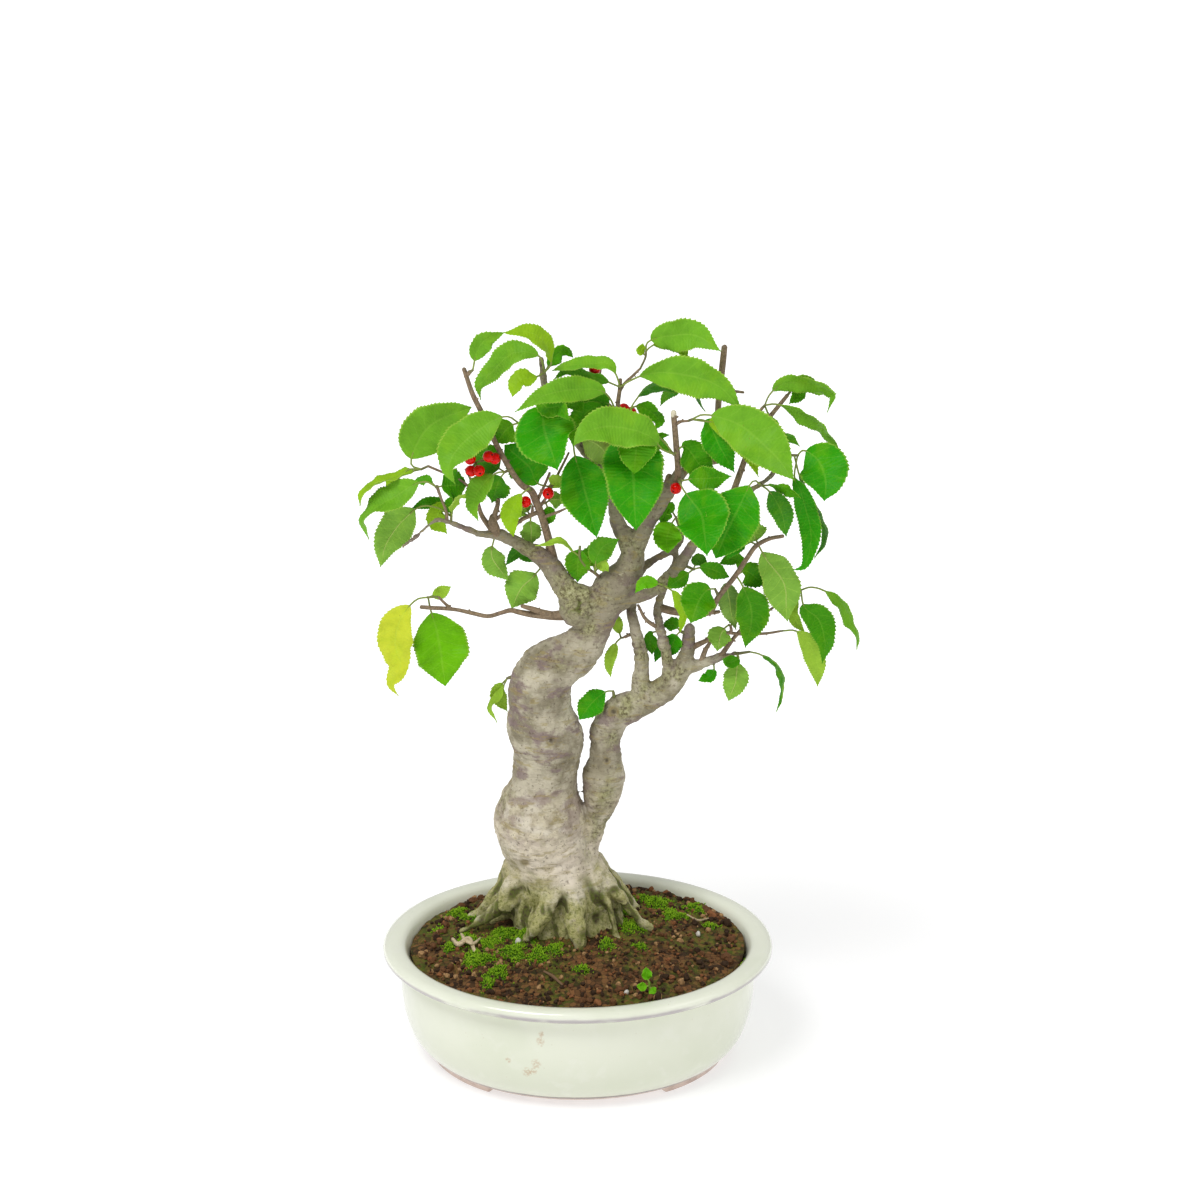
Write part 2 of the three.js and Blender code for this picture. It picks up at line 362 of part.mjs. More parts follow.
// Each spray: its name, the spur's points [u, v, y, radius] from the wood on, and its leaves.
const SPRAYS = [
  ["spray_top_left", [[-58.3, 102.2, 0, 0.7], [-57, 103, -1.6, 0.6]], [
    [9.5, 25, 20, -1.6, 2, [-57, 103], [-55.4, 110], [-51.5, 116.5], [-42.5, 120]],
  ]],
  ["spray_crown_left", [[-25.5, 102, 11, 0.8], [-25, 101.8, 6.5, 0.65]], [
    [9, 55, 20, 6.5, -10, [-25, 101.8], [-21.8, 106], [-23.5, 113.5], [-31, 119.2], [-43.5, 119.8]],
    [12, 20, 45, 6.5, 9, [-25, 101.8], [-27, 109], [-39, 110.5], [-49.5, 102.5], [-54.5, 96], [-53.4, 89.5]],
    [9, 20, 25, 6.5, -2, [-25, 101.8], [-29, 99.8], [-37, 98.3], [-39.3, 91]],
    [7.5, 30, 30, 6.5, 17, [-25, 101.8], [-20, 109.3], [-16, 111.3], [-12, 108.7]],
  ]],
  ["spray_crown_middle", [[9, 95, 8, 0.7], [9, 95.4, 5, 0.6]], [
    [8, 40, 30, 5, 5, [9, 95.4], [7.4, 100.5], [4, 106], [-1.5, 107.2], [-10, 106], [-21.5, 102.6]],
    [17, 30, 10, 5, -8, [9, 95.4], [13, 98], [24, 102], [38, 100.8], [52, 95.6], [63, 86.6]],
  ]],
  ["spray_crown_front", [[8, 86.5, 9.2, 0.75], [6.6, 86, 6, 0.65]], [
    [12, 25, 15, 6, -14, [6.6, 86], [4, 91], [0.5, 94], [-5, 94.9], [-14, 94.2], [-25, 91], [-38.3, 84.2]],
    [9, 10, 10, 6, 8, [6.6, 86], [2, 88.7], [-4, 87.8], [-10, 84.6]],
    [10, 10, 10, 6, 3, [6.6, 86], [-3, 86], [-9.5, 80], [-12, 68.5]],
    [29, 0, 0, 6, -18, [6.6, 86], [12, 79], [14.6, 64], [15.2, 46], [16.2, 31.2]],
  ]],
  ["spray_big_hanging", [[-20.3, 88.5, 12.8, 0.9], [-22.5, 91.5, 5, 0.7]], [
    [27, 5, 5, 5, -18, [-22.5, 91.5], [-25.5, 85], [-24.5, 74], [-19, 58]],
    [10, 0, 0, 5, 0, [-22.5, 91.5], [-17, 91], [-12, 89.5], [-7.6, 84]],
  ]],
  ["spray_middle", [[-10.5, 71.5, 14, 1], [-12, 72.5, 8, 0.8]], [
    [22, 0, 0, 8, -8, [-12, 72.5], [-11.5, 66], [-7, 50], [-1.4, 27.8]],
    [14, 170, 170, 8, 6, [-12, 72.5], [-8, 72.5], [0, 68], [7, 59.5]],
  ]],
  ["spray_arch", [[33.9, 65.5, 0, 0.8], [33.2, 65.2, -3.6, 0.65]], [
    [18, 30, 20, -3.6, -24, [33.2, 65.2], [27.8, 67.5], [24.5, 71.5], [14, 77], [2, 78.3],
      [-7, 75], [-11.8, 69.3]],
    [5, 20, 20, -3.6, 3, [33.2, 65.2], [27.8, 69.5], [26.8, 73], [31.2, 74]],
    [14, 0, 0, -3.6, 5, [33.2, 65.2], [37.5, 69], [44, 61.5], [50, 53.5]],
  ]],
  ["spray_long_right", [[39.5, 80.2, -1, 0.6], [41.2, 80.9, -2, 0.6]], [
    [22, 5, 5, -2, -30, [41.2, 80.9], [46, 83], [60, 79.5], [76, 67.5], [87, 53.6]],
    [14, 0, 0, -2, -4, [41.2, 80.9], [47.5, 80], [54, 68], [60.3, 57]],
    [12, 0, 0, -2, -13, [41.2, 80.9], [60, 77], [67, 66], [71, 55]],
  ]],
  ["spray_crown_right", [[18, 103.6, 5.2, 0.5], [20.3, 108.5, 4.8, 0.5], [20.6, 111, 4.8, 0.5]], [
    [15, 20, 10, 4.8, -6, [20.6, 111], [21, 115], [25, 117.2], [33, 118], [43, 118.4], [54.3, 111.4]],
    [8.5, 40, 40, 4.8, 12, [20.6, 111], [21.5, 112.5], [27, 115.5], [34, 115.3], [39, 106.4]],
    [4.5, 10, 10, 4.8, 2, [20.4, 109.5], [18.6, 111.5], [19.3, 115]],
  ]],
  ["spray_crown_low", [[8.1, 84, 9.8, 0.75], [13.2, 84.6, 6, 0.6]], [
    [9.5, 62, 62, 6, 8, [13.2, 84.6], [15.3, 88.5], [20, 93.5], [30, 95.2], [41, 93.6], [47.2, 84.4]],
    [9.5, 25, 25, 6, 10, [13.2, 84.6], [15.5, 86.7], [22, 84.8], [26.2, 80.5], [25, 76.3]],
  ]],
  ["leaf_crown_back", [[51.2, 102, 14, 0.6], [49.6, 101.4, 14, 0.6]], [
    [8, 30, 30, 14, 18, [49.6, 101.4], [44, 97.5], [35, 96.5], [30, 92.5], [27, 86.8]],
  ]],
  ["spray_right_tip", [[84, 91.8, 5, 0.6], [85, 93, 5.4, 0.6]], [
    [7.5, 30, 30, 5.4, 9, [85, 93], [87, 95.2], [89, 93], [84.8, 87.8]],
    [8, 35, 35, 5.4, 13, [85, 93], [87.5, 98.3], [96, 96.4], [106, 92.3]],
  ]],
  ["spray_right_top", [[72.8, 86.1, 4, 0.65], [73.8, 87.2, 3, 0.6]], [
    [10, 25, 60, 3, -4, [73.8, 87.2], [76, 92], [81, 96], [94, 95.6], [105, 91.7], [101.8, 84]],
    [10, 65, 50, 3, -9, [73.8, 87.2], [78, 87.8], [83.5, 86.3], [92, 80.6], [100, 74],
      [105.5, 70], [107, 65.5]],
    [8, 50, 50, 3, 9, [73.8, 87.2], [75.5, 83.2], [79.5, 77], [85, 72.5], [89.5, 68.8]],
  ]],
  ["spray_right_middle", [[83, 65, -4, 0.7], [88.5, 64.8, -6, 0.6]], [
    [22, 0, 0, -6, -22, [88.5, 64.8], [91, 67], [97, 63.5], [101, 55], [100.5, 44.3]],
    [10, 0, 10, -6, -10, [88.5, 64.8], [87.2, 54.5], [90, 48.5], [92.8, 38], [94, 26],
      [91.5, 15], [86.2, 13.3]],
    [7.5, 60, 60, -5, 4, [87, 64.8], [91, 50], [97, 37], [101.3, 31], [101, 25], [96, 18.6]],
  ]],
  ["spray_round_right", [[72, 52, -5, 0.8], [72.2, 51.4, -9, 0.65]], [
    [24, 0, 0, -9, -22, [72.2, 51.4], [69, 53.5], [62.5, 42], [51.8, 18.6]],
    [8, 60, 60, -9, -14, [72.2, 51.4], [80, 51], [85, 48.5], [90, 45.5]],
    [10.5, 0, 0, -9, -16, [72.2, 51.4], [75.5, 49], [81, 40], [83.5, 28.4]],
  ]],
  ["spray_round_left", [[35.3, 54.8, 4, 0.9], [35.6, 53.2, -2.4, 0.7]], [
    [25, 0, 0, -2.4, -38, [35.6, 53.2], [37, 50], [45, 38], [48, 19.6]],
    [11, 0, 0, -2.4, -15, [35.6, 53.2], [43, 54.5], [50, 54.5], [59, 55.5]],
  ]],
  ["spray_inner_right", [[37, 28.5, 13, 0.7], [34, 37, 6, 0.6]], [
    [13.5, 0, 0, 6, -2, [34, 37], [32, 34], [30, 28], [30.5, 21]],
    [7.5, 10, 10, 6, 9, [34, 37], [31, 41], [27, 34]],
  ]],
  ["spray_inner_low", [[36.5, 16, 8, 0.8], [41.8, 13.8, 6, 0.6]], [
    [8, 20, 20, 6, 1, [41.8, 13.8], [46, 14.5], [52, 12.8], [58, 10.3]],
    [6, 0, 0, 6, 10, [41.8, 13.8], [44, 18], [48.3, 16.5]],
    [8, 10, 10, 6, 5.4, [41.8, 13.8], [39.5, 12], [35, 9], [30, 5.2]],
  ]],
  ["spray_inner_front", [[27, 7, 8, 0.8], [28.6, 6.6, 0.6, 0.6]], [
    [6.5, 30, 30, 0.6, -3, [28.6, 6.6], [34, 2.5], [36.8, -5], [36, -14.5]],
    [6, 0, 0, 0.6, -1, [28.6, 6.6], [23.5, 7.8], [20, 8], [15.7, 3.2]],
  ]],
  ["leaf_dark_inner", [[53.2, 1.6, 2, 0.8], [51.5, 5, -1, 0.6]], [
    [[17, 0.1], 0, 0, -1, -10, [51.5, 5], [48.5, 4.6], [44.5, 0], [40.6, -10.4]],
  ]],
  ["spray_low_right", [[60.5, 10.8, -2, 0.8], [61, 10.9, 1.8, 0.65]], [
    [16, 0, 0, 1.8, 4, [61, 10.9], [63.5, 7], [68, -6], [65, -21.5]],
    [10, 170, 170, 1.8, 10, [61, 10.9], [57.5, 8], [58, -2], [61, -13.5]],
    [12, 0, 0, 1.8, 7, [61, 10.9], [65, 13], [70, 9.8], [75, 7]],
    [6, 0, 0, 1.8, 8, [61, 10.9], [62.5, 17], [60, 18.5], [53.5, 16.2]],
  ]],
  ["leaf_low_pale", [[58.5, -11.5, 6, 0.6], [57.6, -11.2, 7, 0.6]], [
    [11, 170, 170, 7, 4, [57.6, -11.2], [55.5, -13], [53.5, -17], [52.5, -23]],
  ]],
  ["spray_pale_right", [[70, 24.3, -5, 0.8], [71, 24.6, -1.6, 0.65]], [
    [[18, 0.09], 170, 170, -1.6, 4, [71, 24.6], [74, 19], [81, 8], [84, -9.6]],
    [12, 170, 170, -1.6, 2, [71, 24.6], [69.5, 28], [66.5, 36]],
    [7, 0, 0, -1.6, 2, [71, 24.6], [64, 26.5], [56.5, 18]],
  ]],
  ["spray_lowest_right", [[60.5, -24, 10, 0.9], [63, -23.8, 9, 0.7], [67, -23.2, 8, 0.6]], [
    [12, 180, 180, 9.4, 2, [61.5, -24.2], [61.6, -28], [60.6, -36], [57.6, -45.2]],
    [6.5, 10, 10, 9.4, 0, [61.5, -24.2], [62.2, -26], [58.5, -27.8], [54.8, -26.4]],
    [8.5, 68, 68, 8, 2, [67, -23.2], [72, -24.5], [78, -29.5], [82, -37], [82, -44], [79, -50]],
  ]],
  ["leaf_low_small", [[50.5, -26.8, 11.6, 0.8], [51, -29, 9.6, 0.6]], [
    [6.4, 20, 20, 9.6, 6, [51, -29], [51, -31.5], [48.5, -34.5], [44, -36.3]],
  ]],
  ["spray_far_right", [[88.6, 3.7, 11, 0.5], [90, 4.4, 10.6, 0.5]], [
    [[9, 0.26], 30, 78, 10.6, 4, [90, 4.4], [94, 5.7], [99.5, 4.6], [107, -1],
      [112.6, -8], [115.6, -15], [115, -22.3]],
    [13, 0, 0, 10.6, 3, [90, 4.4], [91.5, -3], [98, -9], [101, -18], [99.5, -28.5]],
    [5.5, 20, 20, 10.6, 13, [90, 4.4], [86.5, -6.5], [92, -15]],
  ]],
  ["leaf_far_right_low", [[80.5, -14, 9.4, 0.5], [82, -13.8, 9.2, 0.5]], [
    [10, 10, 10, 9.2, 8, [82, -13.8], [87.5, -13.8], [93, -19], [97, -28], [97.5, -38.8]],
  ]],
  ["spray_far_left_top", [[-77, 60, 4, 0.55], [-80, 58.6, 3, 0.55]], [
    [22, 10, 10, 3, 6, [-80, 58.6], [-84.5, 60.5], [-80, 73], [-70, 81], [-57.5, 86.5]],
    [9, 62, 62, 3, -7, [-80, 58.6], [-87, 58.3], [-98, 52.4], [-106.6, 47.6], [-107.6, 42]],
    [8.5, 60, 60, 3, 7, [-80, 58.6], [-88, 56.5], [-94, 52], [-96.8, 47.8]],
  ]],
  ["spray_left_top", [[-34.3, 79, 3, 0.55], [-36.5, 79.3, 2, 0.55]], [
    [18, 15, 40, 2, -17, [-36.5, 79.3], [-41.5, 82.2], [-54, 77.5], [-65, 66.5], [-67.5, 58.5], [-65, 52]],
    [13, 0, 0, 2, 7, [-36.5, 79.3], [-40, 78], [-46.5, 70.5]],
  ]],
  ["spray_left_middle", [[-40.2, 58.6, 2, 0.8], [-42.6, 57.3, -1.4, 0.6]], [
    [11, 35, 35, -1.4, -9, [-42.6, 57.3], [-46, 57], [-52, 52.4], [-57.5, 44.6], [-54.6, 35.3]],
    [12, 0, 0, -1.4, 9, [-42.6, 57.3], [-45, 54], [-48.5, 43.5]],
    [16, 0, 0, -1.4, 14, [-42.6, 57.3], [-47, 60], [-57, 66.5]],
  ]],
  ["spray_inner_left", [[-21.6, 51, 8.7, 0.6], [-23, 50.8, 6, 0.6]], [
    [19, 0, 0, 6, 9, [-23, 50.8], [-28, 52.3], [-32, 59.5], [-42.8, 69.5]],
    [6.5, 0, 0, 6, 4.6, [-23, 50.8], [-20.5, 53.3], [-16.8, 50.5]],
  ]],
  ["spray_inner_pale", [[-25.3, 43.3, 6.6, 0.6], [-24.3, 43.6, 8.6, 0.6]], [
    [8, 170, 170, 8.6, 11, [-24.3, 43.6], [-21.5, 45], [-16.2, 44.5]],
    [6.5, 0, 0, 8.6, 10, [-24.3, 43.6], [-22.8, 38.5], [-24.2, 33.2]],
  ]],
  ["spray_inner_under", [[-31, 38, 4, 0.7], [-31, 37.6, 6.8, 0.6]], [
    [10, 175, 175, 6.8, 14, [-31, 37.6], [-31.2, 34], [-30.5, 24.8]],
    [8, 170, 170, 6.8, 9, [-31, 37.6], [-34, 41.2], [-39, 36.4]],
  ]],
  ["leaf_bright_left", [[-31, 49, 4, 0.9], [-31.6, 50.2, 0, 0.6]], [
    [9, 15, 15, 0, -6, [-31.6, 50.2], [-36, 46.5], [-40, 39], [-38.8, 28.3]],
  ]],
  ["leaf_under_left", [[-47, 29, 6, 1], [-47.4, 27.8, 9.8, 0.6]], [
    [11, 175, 175, 9.8, 12, [-47.4, 27.8], [-48.5, 20], [-41.2, 8.6]],
  ]],
  ["spray_under_middle", [[-24.5, 17, 8, 1], [-26, 15, 14.4, 0.6]], [
    [16, 175, 175, 14.4, 12, [-26, 15], [-30, 10.5], [-35, 5.5], [-39.6, -3.6]],
    [6.5, 0, 0, 14.4, 15, [-26, 15], [-31, 19], [-36.5, 21.5], [-42.3, 15.6]],
  ]],
  ["spray_left_low", [[-73, 51, -1, 0.7], [-73.4, 50.6, -3.6, 0.6]], [
    [14, 10, 75, -3.6, -8, [-73.4, 50.6], [-78, 53], [-85, 51], [-93, 45.2], [-101, 40],
      [-106.4, 35.5], [-103.6, 27]],
    [5.5, 50, 50, -3.6, 2, [-73.4, 50.6], [-77, 53.8], [-84, 52.8]],
    [14, 0, 0, -3.6, 10, [-73.4, 50.6], [-69, 51.2], [-59.5, 51.5]],
  ]],
  ["spray_left_yellow", [[-66.8, 35, 2, 0.7], [-66.6, 37.3, 5.5, 0.6]], [
    [[16, 0.36], 170, 178, 5.5, 1, [-66.6, 37.3], [-72, 41], [-80, 42], [-88.5, 35.5],
      [-95.5, 25.5], [-98.5, 14.6]],
    [6.5, 20, 20, 5.5, 10, [-66.6, 37.3], [-72, 42.5], [-77, 43.3], [-84.6, 41]],
    [9.5, 10, 10, 5.5, 8, [-66.6, 37.3], [-71, 41], [-73.3, 36], [-68.5, 29.6]],
    [5.5, 0, 0, 5.5, 9, [-66.6, 37.3], [-67.3, 42], [-66, 47]],
    [6.5, 60, 60, 5.5, -1, [-66.6, 37.3], [-65.5, 42], [-63, 45.6], [-59.5, 48]],
  ]],
  ["spray_low_left", [[-72.5, 1.4, 2.4, 0.55], [-77, 1.2, 5, 0.55]], [
    [17, 15, 45, 5, -8, [-77, 1.2], [-82, 0.3], [-89, -8], [-92.5, -20], [-91, -30],
      [-94, -38], [-90.3, -43]],
    [25, 0, 0, 5, 4, [-77, 1.2], [-76, -4], [-72.8, -15], [-69.3, -38.6]],
    [6, 0, 0, 5, 8, [-77, 1.2], [-72.5, 2.8], [-66.8, 6]],
  ]],
  ["spray_trunk_left", [[-37, -34, 18, 1.2], [-41.5, -35, 24, 0.6]], [
    [8, 10, 10, 24, 27, [-41.5, -35], [-44.5, -38.5], [-45.5, -43], [-41.5, -50]],
    [5, 50, 50, 24, 20, [-41.5, -35], [-45, -42], [-48.6, -48], [-46.2, -55]],
  ]],
  ["spray_heart", [[-6, 14.5, 7, 0.6], [-9, 19, 5, 0.6], [-9, 24, 4, 0.6]], [
    [4.5, 55, 55, 5, -3, [-9.2, 19.6], [-13, 22.5], [-18, 26], [-29, 24.4]],
    [[12, 0.08], 0, 0, 4, 8, [-9, 24], [-9.6, 21.5], [-10, 8]],
  ]],
  ["spray_heart_right", [[-2, 11.8, 8, 0.7], [-2.2, 12.8, 5, 0.6]], [
    [13, 0, 0, 5, 14, [-2.2, 12.8], [-3, 17], [-1, 26]],
    [11, 10, 10, 5, 1, [-2.2, 12.8], [-1.5, 19], [2, 24], [8.6, 27.3]],
    [6, 0, 0, 5, 3, [-2.2, 12.8], [1, 15.8], [3.8, 12.8]],
  ]],
  ["spray_between_stems", [[10.5, -16.8, 13, 0.55], [9.4, -17, 12.6, 0.5]], [
    [5.5, 10, 10, 12.6, 10, [9.4, -17], [7.4, -18.9], [6.1, -22], [4, -29], [4.9, -34.5]],
    [5.5, 10, 10, 12.6, 16, [9.4, -17], [8, -12], [6.9, -5.5]],
  ]],
  ["leaf_by_knot", [[6.5, -45, 15, 1], [5.9, -40.8, 13, 0.6]], [
    [12, 0, 0, 13, 8, [5.9, -40.8], [3, -41], [-3, -45.5], [-9.3, -53.6]],
  ]],
  ["spray_behind_stem", [[27.4, -14.5, 13, 0.9], [26.4, -14, 16.8, 0.6]], [
    [6.5, 0, 0, 16.8, 19, [26.4, -14], [22.8, -15], [23.3, -24.5]],
    [5.5, 0, 0, 16.8, 21, [26.4, -14], [27.2, -20], [24.5, -28]],
  ]],
  ["spray_by_stub", [[38.6, -15, 14, 1], [36, -14, 12, 0.6]], [
    [7, 0, 0, 12, 18, [36, -14], [33, -11], [28, -11.4]],
    [9, 0, 0, 12, 17, [36, -14], [33.8, -16.5], [31.3, -25.5]],
  ]],
];

// Each berry group: its name, the stalk's points [u, v, y] from the wood on, and its berries.
const BERRIES = [
  ["berries_left", [[-57.6, 52, 8], [-58.6, 57.5, 3.6], [-55.6, 61.6, 0.4]], [
    [-58.2, 63.2, -2.6], [-49.9, 64.3, -4], [-47.1, 63.4, -1.6], [-57.8, 57.8, -2.4], [-54.2, 57.9, -5.6],
  ]],
  ["berry_upper_left", [[-33.4, 79.6, 3.6], [-33.9, 76.6, -0.8]], [[-35.4, 73.4, -1]]],
  ["berry_inner_left", [[-22.6, 48.8, 8.3], [-23, 48.3, 5]], [[-23.2, 47.8, 2.6]]],
  ["berry_crown_stub", [[-0.1, 100.6, 11.6], [-1.6, 99.8, 9]], [[-2.4, 103.3, 8.4]]],
  ["berry_middle", [[9.3, 74.3, 10.8], [6.6, 75.6, 7.4]], [[5.2, 72.7, 6.6]]],
  ["berries_crown", [[8.1, 83, 9.9], [9, 82.6, 13]], [[3, 86, 14], [10.7, 85.6, 14.5], [13.9, 84, 15]]],
  ["berry_fork", [[35, 55, 3.2], [35.6, 51.8, 1.8]], [[34, 50, -0.4]]],
  ["berry_inner", [[-30.2, 42, 4], [-31, 43.4, 3.4]], [[-33.4, 44, 2.8]]],
];

// A stalk is a thin four-sided limb with an even radius.
function stalk(points, radius = 0.45) {
  return limb(points.map(([u, v, y]) => [u, v, y, radius]), { sides: 3, steps: 1 });
}

function berrySolid([, stem, fruits]) {
  const foot = stem[stem.length - 1];
  const solids = fruits.length > 1 ? [stalk(stem)] : [];
  for (const fruit of fruits) {
    const at = seen(...fruit);
    const ball = new THREE.SphereGeometry(BERRY_RADIUS, 8, 5).translate(at.x, at.y, at.z);
    solids.push(solidOf(ball), stalk(fruits.length > 1 ? [foot, fruit] : [...stem, fruit]));
  }
  return unionOf(solids);
}

// The leaves of a spray stand one behind the other along the spur's end, in the order of their
// tips, so that their stalks part at once.
const LEAF_PITCH = 1.7;

function spraySolid([, spur, leaves]) {
  const solids = [];
  const feet = new Map();
  for (const leaf of leaves) {
    const key = String(leaf[5]);
    feet.set(key, [...(feet.get(key) ?? []), leaf]);
  }
  const [endU, endV, endY, endRadius] = spur[spur.length - 1];
  let stem = spur;
  for (const group of feet.values()) {
    const ordered = [...group].sort((a, b) => a[4] - b[4]);
    const offset = (i) => (i - (group.length - 1) / 2) * LEAF_PITCH;
    ordered.forEach((leaf, i) => solids.push(leafSolid(leaf.with(3, leaf[3] + offset(i)))));
    const [, , , y, , [u, v]] = group[0];
    const reach = offset(group.length - 1) + 0.3;
    if (group.length > 1 && u === endU && v === endV) {
      const towards = Math.sign(endY - spur[spur.length - 2][2]) || 1;
      const ends = [[u, v, y - towards * reach, endRadius], [u, v, y + towards * reach, endRadius]];
      stem = [...spur.slice(0, -1), ...ends];
    } else if (group.length > 1) {
      solids.push(limb([[u, v, y - reach, 0.7], [u, v, y + reach, 0.7]], { sides: 3, steps: 1 }));
    }
  }
  return unionOf([limb(stem, { sides: 3, steps: 1 }), ...solids]);
}

// The oval pot: a lathed bowl with an everted rim, squeezed to its depth, with two drain holes
// and four low feet left by cutting the foot ring.
const HALF_LENGTH = POT_LENGTH / 2;
const SQUEEZE = POT_DEPTH / POT_LENGTH;
const FOOT_RADIUS = 70;
const BODY_RADIUS = 82;
const INNER_RIM_RADIUS = 80.4;
const SIDES_ROUND = 34;

function potSolid() {
  const outline = [
    [0.01, FOOT_HEIGHT - 1.2], [60, FOOT_HEIGHT - 1.2], [61.5, 0], [FOOT_RADIUS, 0], [70.8, FOOT_HEIGHT],
    [76.4, 9], [80.6, 18], [82.8, 31], [82.9, 42], [BODY_RADIUS, 48.2], [88.8, 50.2], [HALF_LENGTH, 52.6],
    [90.3, 55], [87.4, POT_HEIGHT], [82.8, POT_HEIGHT], [INNER_RIM_RADIUS, 54.6], [77.6, 44], [74.6, 20],
    [65.5, FLOOR_TOP],
    [0.01, FLOOR_TOP],
  ];
  const points = outline.map(([r, z]) => new THREE.Vector2(r === 0.01 ? 0 : r, z));
  const bowl = new THREE.LatheGeometry(points, SIDES_ROUND);
  let pot = solidOf(bowl.rotateX(Math.PI / 2).scale(1, SQUEEZE, 1));
  if (pot.volume() < 0) throw new Error("the pot's profile runs the wrong way round");
  for (const side of [-1, 1]) {
    const drill = new THREE.CylinderGeometry(DRAIN_HOLE, DRAIN_HOLE, 30, 20);
    pot = pot.subtract(solidOf(drill.rotateX(Math.PI / 2).translate(side * DRAIN_OFFSET, 0, FLOOR_TOP / 2)));
    pot = pot.subtract(boxSolid([78, 24, 5], [0, side * FOOT_RADIUS * SQUEEZE, 0]));
    pot = pot.subtract(boxSolid([24, 24, 5], [side * FOOT_RADIUS, 0, 0]));
  }
  return pot;
}

// The square net over each drain hole: two crossing rows of flat bars.
const NET_SIDE = 26;
const NET_THICKNESS = 1.2;
const NET_BARS = 3;
const NET_BAR_WIDTH = 2.4;

function netSolid(centre) {
  const bars = [];
  for (let i = 0; i < NET_BARS; i++) {
    const off = (i / (NET_BARS - 1) - 0.5) * (NET_SIDE - NET_BAR_WIDTH);
    const z = FLOOR_TOP + 0.3 + NET_THICKNESS / 2;
    bars.push(boxSolid([NET_SIDE, NET_BAR_WIDTH, NET_THICKNESS], [centre, off, z]));
    bars.push(boxSolid([NET_BAR_WIDTH, NET_SIDE, NET_THICKNESS], [centre + off, 0, z]));
  }
  return unionOf(bars);
}

// The soil fills the bowl up to the rim and rises to a broad mound round the trunk, flat at the wall.
const SOIL_BASE = 52.6;
const MOUND = 11;
const MOUND_SPREAD = 36;
const MOUND_AT = [-4, 20];

function soilHeight(x, y) {
  const away = (x - MOUND_AT[0]) ** 2 + (y - MOUND_AT[1]) ** 2;
  const edge = Math.min(Math.hypot(x, y / SQUEEZE) / 78, 1);
  const mound = MOUND * Math.exp(-away / (2 * MOUND_SPREAD ** 2)) * (1 - edge ** 8);
  const lean = 0.8 * (x / 78) + 0.6 * (y / 63);
  const broadCrumbs = 0.7 * Math.sin(0.31 * x + 0.23 * y) * Math.sin(0.27 * y - 0.19 * x + 1.3);
  const crumbs = broadCrumbs + 0.4 * Math.sin(0.8 * x) * Math.sin(0.7 * y);
  return SOIL_BASE + mound + lean + crumbs * 0.8;
}

function soilSolid(grownTree) {
  const rows = 5;
  const around = 30;
  const wall = [[64.8, FLOOR_TOP + GAP], [74.4, 20], [77.6, 44]];
  const positions = [0, 0, FLOOR_TOP + GAP];
  const ring = (radius, height) => {
    for (let j = 0; j < around; j++) {
      const turn = (2 * Math.PI * j) / around;
      const [x, y] = [Math.cos(turn) * radius, Math.sin(turn) * radius * SQUEEZE];
      positions.push(x, y, height(x, y));
    }
  };
  wall.forEach(([r, z]) => ring(r - GAP - 0.6, () => z));
  for (let i = rows; i > 0; i--) ring(((77.6 - GAP - 0.6) * i) / rows, soilHeight);
  positions.push(0, 0, soilHeight(0, 0));
  const rings = wall.length + rows;
  const index = [];
  for (let j = 0; j < around; j++) {
    const k = (j + 1) % around;
    index.push(0, 1 + k, 1 + j);
    for (let i = 0; i + 1 < rings; i++) {
      const [a, b] = [1 + i * around + j, 1 + i * around + k];
      index.push(a, b, b + around, a, b + around, a + around);
    }
    const last = 1 + (rings - 1) * around;
    index.push(last + j, last + k, positions.length / 3 - 1);
  }
  const geometry = new THREE.BufferGeometry();
  geometry.setAttribute("position", new THREE.Float32BufferAttribute(positions, 3));
  geometry.setIndex(index);
  let soil = solidOf(geometry).subtract(grownTree);
  for (const side of [-1, 1]) {
    const edge = NET_SIDE + 2 * GAP;
    const height = 2 * (0.3 + NET_THICKNESS + GAP);
    soil = soil.subtract(boxSolid([edge, edge, height], [side * DRAIN_OFFSET, 0, FLOOR_TOP]));
  }
  return largestBody(soil);
}

// The seedling at the front edge: a short stem with three small leaves.
const SEEDLING_STEM = [[22.4, -181, -49, 0.7], [22.2, -176, -50, 0.55], [22, -171, -51, 0.5]];
const SEEDLING_LEAVES = [
  [5, 0, 0, -51, -52, [22, -171.2], [21, -169.2], [20.5, -165.4]],
  [4.4, 0, 0, -50.7, -53, [22.1, -172.6], [19.6, -173.2], [16.4, -173]],
  [4, 0, 0, -50.4, -53, [22.2, -173.2], [23.2, -174], [24.6, -176.4]],
];

function seedlingSolid() {
  return unionOf([limb(SEEDLING_STEM, { sides: 4, steps: 1 }), ...SEEDLING_LEAVES.map(leafSolid)]);
}

const colours = {
  bark: 0x968c7d,
  leaf: 0x5fae2c,
  berry: 0xc81414,
  glaze: 0xe6ebda,
  soil: 0x4a3222,
  net: 0x2b2d2e,
  seedling: 0x86c93c,
};
const finishes = Object.fromEntries(
  Object.entries(colours).map(([name, color]) => [
    name,
    new THREE.MeshStandardMaterial({
      color,
      roughness: name === "glaze" || name === "berry" ? 0.2 : 0.7,
      metalness: 0,
    }),
  ]),
);

const bonsai = new THREE.Group();

function addPiece(name, geometry, finish) {
  const mesh = new THREE.Mesh(geometry, finishes[finish]);
  mesh.name = name;
  bonsai.add(mesh);
}

